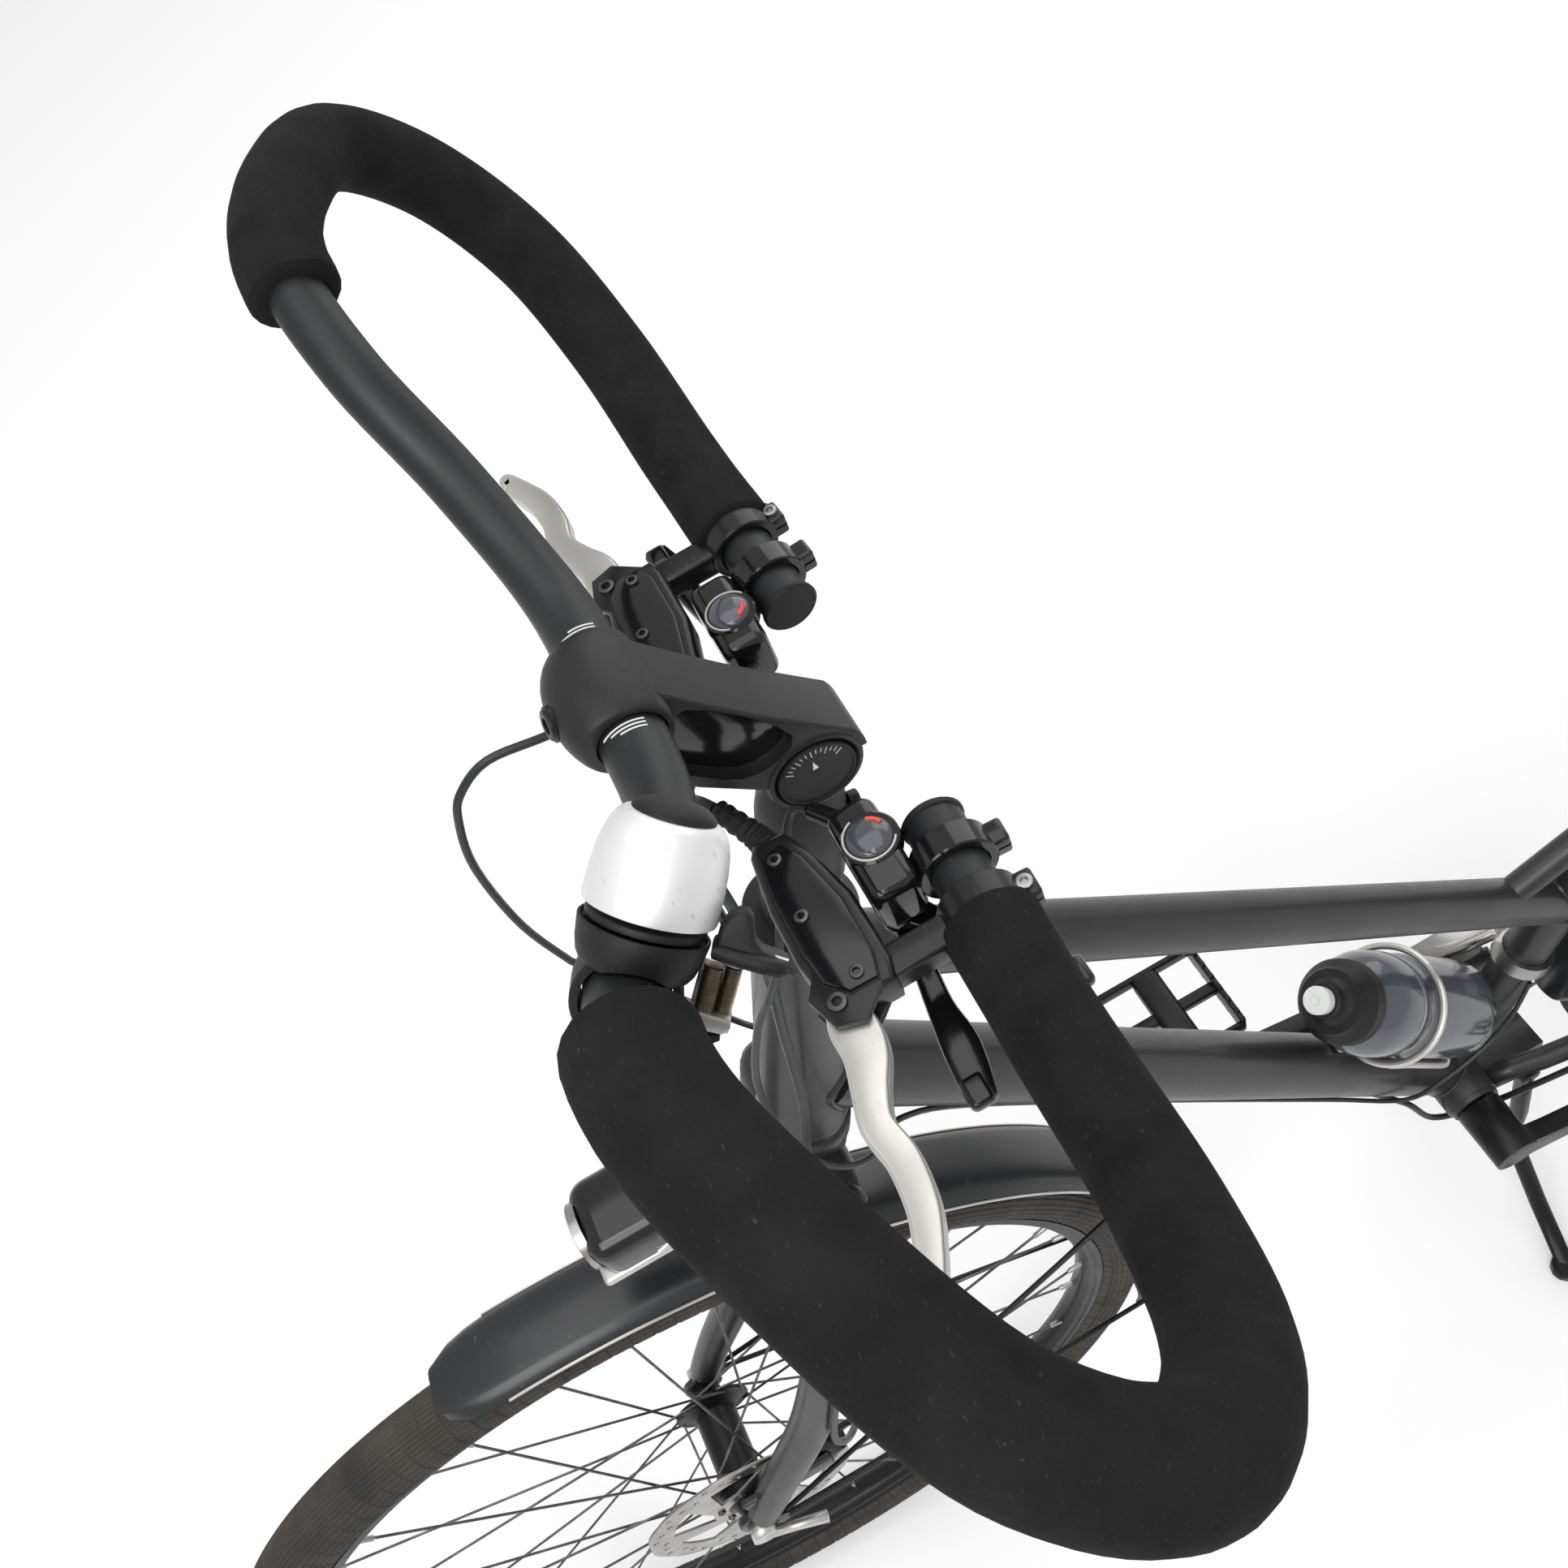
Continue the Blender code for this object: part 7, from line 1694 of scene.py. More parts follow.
@dataclass
class Front:
    """The fork with its race, both fenders, the calipers and the headlight."""

    fender_radius: float = 0.369
    fender_half: float = 0.026
    tip_length: float = 0.045
    tip_share: float = 0.62
    wall: float = 0.0015
    lip: float = 0.009

    def fork(self) -> None:
        """The fork with its crown, tapering blades and dropouts."""
        d = DRAWING
        crown = CROWN
        shoulder = lathe(
            "race", ((crown, 0.0225), (crown + 0.006, 0.0240), (FORK_LENGTH - 0.0012, 0.0244),
                     (FORK_LENGTH - 0.0004, 0.0238)), d.steer(0), d.steer_up, 56,
        )
        steerer = rod("steerer", d.steer(FORK_LENGTH - 0.001), d.steer(HEAD_TOP + 0.03), 0.0142, 32)
        bridge = [d.steer(crown, 0, 0.046 * share) for share in (-1, -0.6, -0.2, 0.2, 0.6, 1)]
        full = (0.86, 0.98, 1, 1, 0.98, 0.86)
        parts = [shoulder, steerer, sweep("bridge", bridge, 0.019, 40, full)]
        for side in SIDES:
            route = smooth([
                d.steer(crown + 0.004, 0, side * 0.046), d.steer(crown * 0.68, 0.004, side * 0.050),
                d.steer(crown * 0.38, 0.018, side * 0.054), d.steer(0.070, 0.044, side * 0.0555),
                d.steer(0.018, 0.0565, side * 0.0555),
            ], 10)
            scales = [1 - 0.27 * max(index / 40 - 0.35, 0) / 0.65 for index in range(41)]
            parts.append(sweep("blade", route, 0.0150, 32, scales))
            cap = ((-0.001, 0.0148), (0.008, 0.0140), (0.013, 0.0100), (0.0150, 0.003))
            at = d.steer(crown + 0.002, 0, side * 0.046)
            parts.append(lathe("cap", cap, at, d.steer_up, 32))
        blade_up = (d.steer(0.07, 0.044) - d.steer(0.018, FORK_RAKE - 0.0035)).normalized()
        for side in SIDES:
            at = d.front_axle + blade_up * 0.022 + LEFT * side * 0.0525
            parts.append(brick("tongue", (0.022, 0.0052, 0.050), at, d.steer_ahead, blade_up, 0.002))
            eye = ((0.0495, 0.0142), (0.0500, 0.0150), (0.0550, 0.0150), (0.0555, 0.0142))
            parts.append(lathe("eye", eye, d.front_axle, LEFT * side, 40))
        tab = around(d.front_axle, 0.060, radians(150), 0.053) + Vector((0.014, 0, 0.013))
        parts.append(brick("tab", (0.070, 0.006, 0.018), tab, edge=0.002))
        fitted(fused("fork_body", *parts), FRAME_PAINT, Body.STEERING, "fork")

    def fender(
        self, name: str, axle: Vector, start: float, end: float, body: Body,
        stays: Sequence[tuple[float, float, float, float]],
    ) -> list[Piece]:
        """A thin rounded fender with rolled edges, a bright strip on each and its stays.

        Args:
            name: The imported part's name.
            axle: The middle of its wheel.
            start: The angle at which it starts, in degrees.
            end: The angle at which it ends, in degrees.
            body: The body that carries it.
            stays: For each pair of stays, its angle on the fender and, at the foot, its
                angle, its distance from the axle and its distance from the middle.

        Returns:
            The stays, unfinished.
        """
        steps = int((end - start) / 2)
        sections = []
        for step in range(steps + 1):
            angle = radians(start + (end - start) * step / steps)
            from_tip = min(step, steps - step) * radians(2) * self.fender_radius
            share = (1 - (1 - min(from_tip / self.tip_length, 1)) ** 2) ** 0.5
            half = self.fender_half * (self.tip_share + (1 - self.tip_share) * share)
            loop = []
            for wall, way in ((0, 1), (self.wall, -1)):
                arch = []
                for spot in range(13):
                    t = -1 + spot / 6
                    fall = 0.0035 * t * t + (self.lip - 0.0037) * abs(t) ** 9
                    high = self.fender_radius - 0.0004 - fall - wall * (1 - abs(t) ** 9)
                    arch.append((t * (half - wall), high))
                loop += arch[::way]
            sections.append([around(axle, radius, angle, left) for left, radius in loop])
        blade = loft(name + "_blade", sections)
        fitted(blade, FENDER_BLACK, body, name, angle=30)
        lines = []
        edge = self.fender_radius - self.lip
        for side in SIDES:
            strip = []
            for step in range(3, steps - 2):
                angle = radians(start + (end - start) * step / steps)
                strip.append(around(axle, edge + 0.0009, angle, side * (self.fender_half + 0.0001)))
            lines.append(sweep("strip", strip, 0.0009, 8))
        fitted(fused(name + "_strips", *lines), BRUSHED_SILVER, body)
        rods = []
        for angle, foot, reach, left in stays:
            for side in SIDES:
                out = side * (self.fender_half - 0.0006)
                top = around(axle, self.fender_radius - self.lip / 2, radians(angle), out)
                base = around(axle, reach, radians(foot), side * left)
                knee = top.lerp(base, 0.06) + LEFT * side * 0.006
                rods.append(sweep("stay", smooth((top, knee, base), 5), 0.0020, 12))
                eye = ((-0.002, 0.0050), (-0.0016, 0.0054), (0.0020, 0.0054), (0.0024, 0.0050))
                rods.append(lathe("end", eye, base, LEFT, 20))
        return rods

    def build(self) -> None:
        """Builds the front and the fenders."""
        d = DRAWING
        self.fork()
        stays = ((196, 205, 0.0170, 0.0587), (158, 175, 0.0170, 0.0587))
        rods = self.fender("front_fender", d.front_axle, 80, 206, Body.STEERING, stays)
        crown = d.steer(CROWN)
        way = (crown - d.front_axle).normalized()
        at = d.front_axle + way * 0.3985
        rods.append(brick("bracket", (0.004, 0.020, 0.0618), at, way.cross(LEFT), way, 0.0008))
        fitted(fused("front_fender_stays", *rods), BLACK_PARTS, Body.STEERING)
        stays = ((172, 172, 0.0165, 0.0767), (135, 140, 0.0165, 0.0767))
        rods = self.fender("rear_fender", d.rear_axle, -4, 192, Body.FRAME, stays)
        fitted(fused("rear_fender_stays", *rods), BLACK_PARTS, Body.FRAME)
        refined("front_caliper", BLACK_PARTS, Body.STEERING, 30, 0.0008)
        refined("rear_caliper", BLACK_PARTS, Body.FRAME, 30, 0.0008)
        self.lamp(crown + Vector((0.094, 0, 0.0265)))

    def lamp(self, at: Vector) -> None:
        """The headlight: a rounded body with a silver sill, a lens and a wire bracket."""
        middle = at + Vector((-0.001, 0, 0.0015))
        body = brick("lamp_body", (0.056, 0.048, 0.038), middle, edge=0.0120, segments=6)
        fitted(body, GLOSS_BLACK, Body.STEERING, "headlight")
        middle = at + Vector((0, 0, -0.0120))
        sill = brick("lamp_sill", (0.0585, 0.0498, 0.006), middle, edge=0.0028, segments=4)
        fitted(sill, BRUSHED_SILVER, Body.STEERING)
        front = at + Vector((0.0262, 0, 0.002))
        profile = ((0, 0.0165), (0.0015, 0.0160), (0.0030, 0.0110), (0.0034, 0.002))
        lens = lathe("lamp_lens", profile, front, AHEAD, 48)
        profile = (
            (-0.003, 0.0165), (-0.003, 0.0188), (0.0020, 0.0185), (0.0026, 0.0175), (0.0020, 0.0165),
        )
        bezel = lathe("bezel", profile, front, AHEAD, 48, looped=True)
        fitted(lens, LAMP_GLASS, Body.STEERING)
        fitted(bezel, BRIGHT_STEEL, Body.STEERING)
        crown = DRAWING.steer(CROWN)
        wires = []
        for side in SIDES:
            route = smooth((
                crown + DRAWING.steer_ahead * 0.0165 + Vector((0.001, side * 0.006, 0)),
                crown + Vector((0.034, side * 0.010, 0.012)),
                crown + Vector((0.052, side * 0.020, 0.020)),
                at + Vector((-0.024, side * 0.0215, -0.004)),
                at + Vector((-0.004, side * 0.0246, -0.006)),
            ), 8)
            wires.append(sweep("wire", route, 0.0021, 16))
        fitted(fused("lamp_bracket", *wires), BRUSHED_SILVER, Body.STEERING)


@dataclass
class Wheel:
    """A wheel: its tyre, rim, spokes, hub, rotor and skewer."""

    front: bool
    radius: float = 0.350
    width: float = 0.039
    rim_seat: float = 0.311
    rim_depth: float = 0.0145
    rim_width: float = 0.025
    spokes: int = 32
    lacing: float = radians(67.5)
    stagger: float = 0.0015
    flange_radius: float = 0.029
    tread_steps: int = 150
    tread_slant: float = radians(44)
    tread_row: float = radians(8.6)

    @property
    def prefix(self) -> str:
        """What the names of its pieces start with."""
        return "front" if self.front else "rear"

    @property
    def axle(self) -> Vector:
        """The middle of the wheel."""
        return DRAWING.front_axle if self.front else DRAWING.rear_axle

    @property
    def body(self) -> Body:
        """The body that the wheel is."""
        return Body.FRONT_WHEEL if self.front else Body.REAR_WHEEL

    @property
    def flanges(self) -> tuple[float, float]:
        """How far to the left the two flanges of the hub stand."""
        return (0.026, -0.034) if self.front else (0.035, -0.023)

    def tyre(self, name: str) -> None:
        """The tyre, whose knurled tread is raised out of its crown."""
        half = self.width / 2
        centre = self.radius - half - 0.0010
        angles = [-128, -118, -106, -92, -80, -68, -56, -46, -38, -30, -22, -13, -4.4,
                  4.4, 13, 22, 30, 38, 46, 56, 68, 80, 92, 106, 118, 128]
        profile = [(half * sin(radians(a)), centre + half * cos(radians(a))) for a in angles]
        profile += [(0.0108, self.rim_seat + 0.0004), (-0.0108, self.rim_seat + 0.0004)]
        tyre = lathe(name + "_rubber", profile, self.axle, LEFT, self.tread_steps, looped=True)
        only(tyre)
        for polygon in tyre.data.polygons:
            place = polygon.center - self.axle
            slant = atan2(polygon.center.y, hypot(place.x, place.z) - centre)
            turn = floor(atan2(place.z, place.x) / tau * self.tread_steps + 0.5)
            row = floor((slant + pi) / self.tread_row + 0.5)
            polygon.select = abs(slant) < self.tread_slant and (turn + 2 * row) % 3 != 0
        bpy.ops.object.mode_set(mode="EDIT")
        bpy.ops.mesh.select_mode(type="FACE")
        bpy.ops.mesh.inset(thickness=0.0011, depth=0.0010, use_individual=True)
        bpy.ops.mesh.select_mode(type="VERT")
        bpy.ops.object.mode_set(mode="OBJECT")
        fitted(tyre, TYRE_RUBBER, self.body, name, angle=32)

    def rim(self, name: str) -> None:
        """The rim with its valve, and the laced spokes with their nipples."""
        half, seat = self.rim_width / 2, self.rim_seat
        low = seat - self.rim_depth
        profile = (
            (-half, seat - 0.0004), (-half, seat - 0.0052), (-half + 0.0012, seat - 0.0062),
            (-half + 0.0026, seat - 0.0100), (-0.0062, low + 0.0010), (-0.0035, low), (0.0035, low),
            (0.0062, low + 0.0010), (half - 0.0026, seat - 0.0100), (half - 0.0012, seat - 0.0062),
            (half, seat - 0.0052), (half, seat - 0.0004), (half - 0.0010, seat), (-half + 0.0010, seat),
        )
        rim = lathe(name + "_hoop", profile, self.axle, LEFT, 144, looped=True)
        fitted(rim, BLACK_PARTS, self.body, name, angle=24)
        rods, nipples = [], []
        for index in range(self.spokes):
            side = index % 2
            lead = 1 if index % 4 < 2 else -1
            at_rim = tau * (index + 0.5) / self.spokes
            hub_left = self.flanges[side] + lead * self.stagger
            at_hub = at_rim + lead * self.lacing
            start = around(self.axle, self.flange_radius - 0.003, at_hub, hub_left)
            end = around(self.axle, low + 0.002, at_rim, 0.003 * (1 - 2 * side))
            way = (start - end).normalized()
            rods.append(sweep("spoke", (start, start.lerp(end, 0.5), end), 0.0010, 8))
            nipple = ((0, 0.0021), (0.0060, 0.0020), (0.0125, 0.0019), (0.0135, 0.0012))
            nipples.append(lathe("nipple", nipple, end, way, 10))
        fitted(fused(name + "_spokes", *rods), DARK_STEEL, self.body)
        fitted(fused(name + "_nipples", *nipples), BRIGHT_STEEL, self.body)
        inward = around(ORIGIN, 1, tau / self.spokes + pi)
        profile = ((0, 0.0034), (0.016, 0.0034), (0.017, 0.0038), (0.034, 0.0036), (0.036, 0.0026))
        valve = lathe(name + "_valve", profile, self.axle - inward * (low + 0.001), inward, 20)
        fitted(valve, RUBBER_BLACK, self.body)

    def rotor(self, at: float) -> Piece:
        """A brake rotor with its wavy rim, its ring of holes and its six windows."""
        outer = []
        for index in range(144):
            angle = tau * index / 144
            outer.append(polar(0.0800 - 0.0012 * (1 - cos(angle * 12)) / 2, angle))
        holes = []
        for index in range(36):
            reach = (0.0705, 0.0740, 0.0672)[index % 3]
            holes.append(circle(0.0021, 12, *polar(reach, tau * index / 36)))
        for index in range(6):
            first = radians(60 * index)
            window = [polar(0.0605, first + angle) for angle in (0.08, 0.30, 0.52, 0.74)]
            window += [polar(0.0290, first + angle) for angle in (1.10, 0.85, 0.60)]
            holes.append(window)
        centre = self.axle + LEFT * at
        return slab("rotor", outer, -0.0009, 0.0009, centre, AHEAD, LEFT, 0.0002, holes)

    def hub(self) -> None:
        """The hub with its two flanges, and its rotor with its bolts."""
        left, right = self.flanges
        radius, half = self.flange_radius, 0.0015
        shell, end, side = (0.016, 0.0105, 0.049) if self.front else (0.018, 0.0120, 0.067)
        at = 0.039 if self.front else 0.0489
        stop = -side if self.front else -0.0300
        profile = (
            (stop, end if self.front else 0.0160), (right - half - 0.003, shell - 0.003),
            (right - half, radius - 0.003), (right - half, radius - 0.0006),
            (right - half + 0.0006, radius), (right + half - 0.0006, radius),
            (right + half, radius - 0.0006), (right + half, radius - 0.004),
            (right + half + 0.005, shell), (left - half - 0.005, shell), (left - half, radius - 0.004),
            (left - half, radius - 0.0006), (left - half + 0.0006, radius), (left + half - 0.0006, radius),
            (left + half, radius - 0.0006), (left + half + 0.002, shell + 0.004),
            (at - 0.0012, shell + 0.003), (at - 0.0010, end + 0.008), (at + 0.0010, end + 0.007),
            (at + 0.0034, end + 0.002), (side - 0.002, end), (side, end - 0.001),
        )
        hub = lathe("hub_shell", profile, self.axle, LEFT, 56)
        hub.name = self.prefix + "_hub_shell"
        if self.front:
            fitted(hub, BLACK_PARTS, self.body, "front_hub", angle=30)
        else:
            profile = ((-0.067, 0.0100), (-0.0605, 0.0102), (-0.0603, 0.0158), (-0.029, 0.0162))
            freehub = lathe("freehub", profile, self.axle, LEFT, 40)
            fitted(fused(hub.name, hub, freehub), BLACK_PARTS, self.body, "rear_hub", angle=30)
        rotor = self.rotor(at)
        rotor.name = self.prefix + "_rotor_disc"
        fitted(rotor, BRIGHT_STEEL, self.body, *(("front_rotor",) if self.front else ()))
        bolts = screw("bolts", around(self.axle, 0.0235, 0.5, at + 0.0009), LEFT, 0.0030, 0.0016)
        bolts.name = self.prefix + "_rotor_bolts"
        fitted(all_round(bolts, 6, self.axle), DARK_STEEL, self.body)

    def build(self) -> None:
        """Builds the wheel."""
        self.tyre(self.prefix + "_tyre")
        self.rim(self.prefix + "_rim")
        self.hub()
        carrier = Body.STEERING if self.front else Body.FRAME
        refined(self.prefix + "_skewer", BRUSHED_SILVER, carrier, 48)


@dataclass
class Drive:
    """The cranks, pedals, rings, chain, sprockets and derailleurs."""

    crank_angle: float = 0.2839
    crank_length: float = 0.170
    pedal_out: float = 0.1325
    pitch: float = 0.0127

    @staticmethod
    def toothed(
        centre: Vector, at: float, radius: float, teeth: int, half: float, bore: Outline
    ) -> Piece:
        """A flat ring or sprocket with teeth.

        Args:
            centre: The middle of its axle.
            at: How far to the left it stands.
            radius: Its radius at the tips of the teeth.
            teeth: How many teeth it has.
            half: Half its thickness.
            bore: The outline of the hole in it.
        """
        outline = []
        for index in range(teeth * 4):
            reach = radius - (0.0040, 0.0024, 0.0, 0.0024)[index % 4]
            angle = tau * index / (teeth * 4)
            outline.append(polar(reach, angle))
        return slab("toothed", outline, at - half, at + half, centre, AHEAD, LEFT, 0.0002, [bore])

    def rings(self) -> None:
        """The two chainrings and the four bolts that hold them."""
        centre = DRAWING.bracket
        outer = self.toothed(centre, -0.050, 0.0868, 42, 0.0014, circle(0.057, 60))
        inner = self.toothed(centre, -0.0443, 0.0658, 32, 0.0012, circle(0.047, 48))
        fitted(fused("chainrings", outer, inner), DARK_STEEL, Body.CRANK)
        at = around(centre, 0.0592, self.crank_angle + pi / 4, -0.0565)
        bolts = screw("ring_bolts", at, -LEFT, 0.0044, 0.0016)
        fitted(all_round(bolts, 4, centre), BRIGHT_STEEL, Body.CRANK)

    @staticmethod
    def wheels() -> Sequence[tuple[Vector, float, int, float]]:
        """The centre, pitch radius, sense and place of each wheel that the chain runs round."""
        rear = DRAWING.rear_axle
        guide = rear + Vector((0.003, 0, -0.0680))
        tension = guide + Vector((0.022, 0, -0.0515))
        return (
            (DRAWING.bracket, 0.0885, -1, -0.050), (tension, 0.0222, -1, -0.0440),
            (guide, 0.0222, 1, -0.0440), (rear, 0.0347, -1, -0.0440),
        )

    def chain_line(self) -> list[tuple[Vector, Vector]]:
        """Evenly spaced points of the chain with the direction across it at each."""
        wheels = self.wheels()
        meets, leaves = [], []
        for first, second in zip(wheels, (*wheels[1:], wheels[0])):
            away = second[0] - first[0]
            lean = (first[2] * first[1] - second[2] * second[1]) / hypot(away.x, away.z)
            normal = atan2(away.z, away.x) - atan2((1 - lean * lean) ** 0.5, lean)
            leaves.append(normal if first[2] > 0 else normal + pi)
            meets.append(normal if second[2] > 0 else normal + pi)
        points = []
        for index, (centre, radius, sense, left) in enumerate(wheels):
            start = meets[index - 1]
            turn = ((leaves[index] - start) * sense) % tau
            count = max(3, int(turn * radius / 0.002))
            for step in range(count + 1):
                points.append(around(centre, radius, start + sense * turn * step / count, left))
        points.append(points[0])
        lengths = [0.0]
        for first, second in zip(points, points[1:]):
            lengths.append(lengths[-1] + (second - first).length)
        count = int(lengths[-1] / self.pitch / 2) * 2
        line, spot = [], 0
        for index in range(count):
            reach = lengths[-1] * index / count
            while lengths[spot + 1] < reach:
                spot += 1
            share = (reach - lengths[spot]) / (lengths[spot + 1] - lengths[spot])
            line.append(points[spot].lerp(points[spot + 1], share))
        return line

    def chain(self) -> None:
        """The chain, link by link: inner and outer plates in turn, and a roller at each pin."""
        line = self.chain_line()
        slim = self.pitch / 2
        waist = [
            (-slim - 0.0036, 0), (-slim - 0.0025, -0.0034), (-slim, -0.0039), (0, -0.0028),
            (slim, -0.0039), (slim + 0.0025, -0.0034), (slim + 0.0036, 0), (slim + 0.0025, 0.0034),
            (slim, 0.0039), (0, 0.0028), (-slim, 0.0039), (-slim - 0.0025, 0.0034),
        ]
        kinds = []
        for low in (0.0014, 0.0026):
            plates = []
            for side in SIDES:
                middle = side * (low + 0.0005)
                plates.append(slab("plate", waist, middle - 0.0005, middle + 0.0005, edge=0.0001))
            kinds.append(fused("link", *plates))
        profile = (
            (-0.0036, 0.0015), (-0.0014, 0.0015), (-0.0014, 0.0036), (0.0014, 0.0036),
            (0.0014, 0.0015), (0.0036, 0.0015),
        )
        pin = lathe("pin", profile, axis=UP, sides=10)
        parts = []
        for index, first in enumerate(line):
            second = line[(index + 1) % len(line)]
            along = (second - first).normalized()
            turn = Matrix((along, LEFT.cross(along), LEFT)).transposed().to_4x4()
            middle = Matrix.Translation((first + second) / 2)
            parts.append(copied(kinds[index % 2], "link", middle @ turn))
            parts.append(copied(pin, "pin", Matrix.Translation(first) @ turn))
        for kind in (*kinds, pin):
            bpy.data.objects.remove(kind)
        fitted(fused("chain_links", *parts), DARK_STEEL, Body.FRAME, "chain", angle=30)

    def sprockets(self) -> None:
        """The sprockets on their core."""
        rear = DRAWING.rear_axle
        stack = (
            (-0.0292, 0.0655, 34), (-0.0327, 0.0545, 28), (-0.0362, 0.0436, 23),
            (-0.0440, 0.0335, 18), (-0.0508, 0.0278, 15), (-0.0555, 0.0243, 13),
        )
        bore = circle(0.0168, 32)
        discs = [self.toothed(rear, *sizes, 0.0009, bore) for sizes in stack]
        profile = (
            (-0.0280, 0.0168), (-0.0280, 0.0225), (-0.0345, 0.0225), (-0.0400, 0.0205),
            (-0.0597, 0.0205), (-0.0602, 0.0198), (-0.0602, 0.0168),
        )
        core = lathe("core", profile, rear, LEFT, 40, looped=True)
        stacked = fused("sprocket_stack", core, *discs)
        fitted(stacked, BRIGHT_STEEL, Body.REAR_WHEEL, "cassette", angle=30)

    def pedal(self, side: int) -> None:
        """A caged pedal: two toothed plates, end bars, axle and body."""
        way = Vector((cos(self.crank_angle), 0, sin(self.crank_angle)))
        eye = DRAWING.bracket - way * self.crank_length * side
        middle = eye + LEFT * side * self.pedal_out
        name = SIDE_NAMES[side]
        parts = []
        for ahead in (0.0445, -0.0445):
            end = middle + AHEAD * ahead
            parts.append(brick("plate", (0.0048, 0.080, 0.0200), end, edge=0.0016))
            for spot in range(6):
                for up in SIDES:
                    at = end + LEFT * (0.012 * spot - 0.030) + UP * 0.0106 * up
                    parts.append(brick("tooth", (0.0040, 0.0052, 0.0028), at, edge=0.0008, segments=1))
        for left in (0.0395, -0.0395):
            parts.append(brick("bar", (0.092, 0.0055, 0.0130), middle + LEFT * side * left, edge=0.0024))
        parts.append(brick("core", (0.024, 0.078, 0.0180), middle, edge=0.0060, segments=4))
        parts.append(brick("rib", (0.090, 0.010, 0.0090), middle, edge=0.0020))
        parts.append(rod("axle", eye + LEFT * side * 0.0845, eye + LEFT * side * 0.170, 0.0073, 32))
        cage = fused(f"pedal_{name}_cage", *parts)
        fitted(cage, BLACK_PARTS, Body.PEDAL_LEFT.on(side), "pedal_" + name, angle=32)

    def build(self) -> None:
        """Builds the drive."""
        self.rings()
        self.chain()
        self.sprockets()
        for side in SIDES:
            self.pedal(side)
        refined("crankset", BLACK_PARTS, Body.CRANK, 34, 0.0008)
        refined("crank_left", BLACK_PARTS, Body.CRANK, 34, 0.0014)
        refined("derailleur_cage", DARK_STEEL, Body.CAGE, 34, 0.0004)
        refined("rear_derailleur", BLACK_PARTS, Body.FRAME, 42, 0.0005)
        refined("front_derailleur", BRIGHT_STEEL, Body.FRAME, 40)


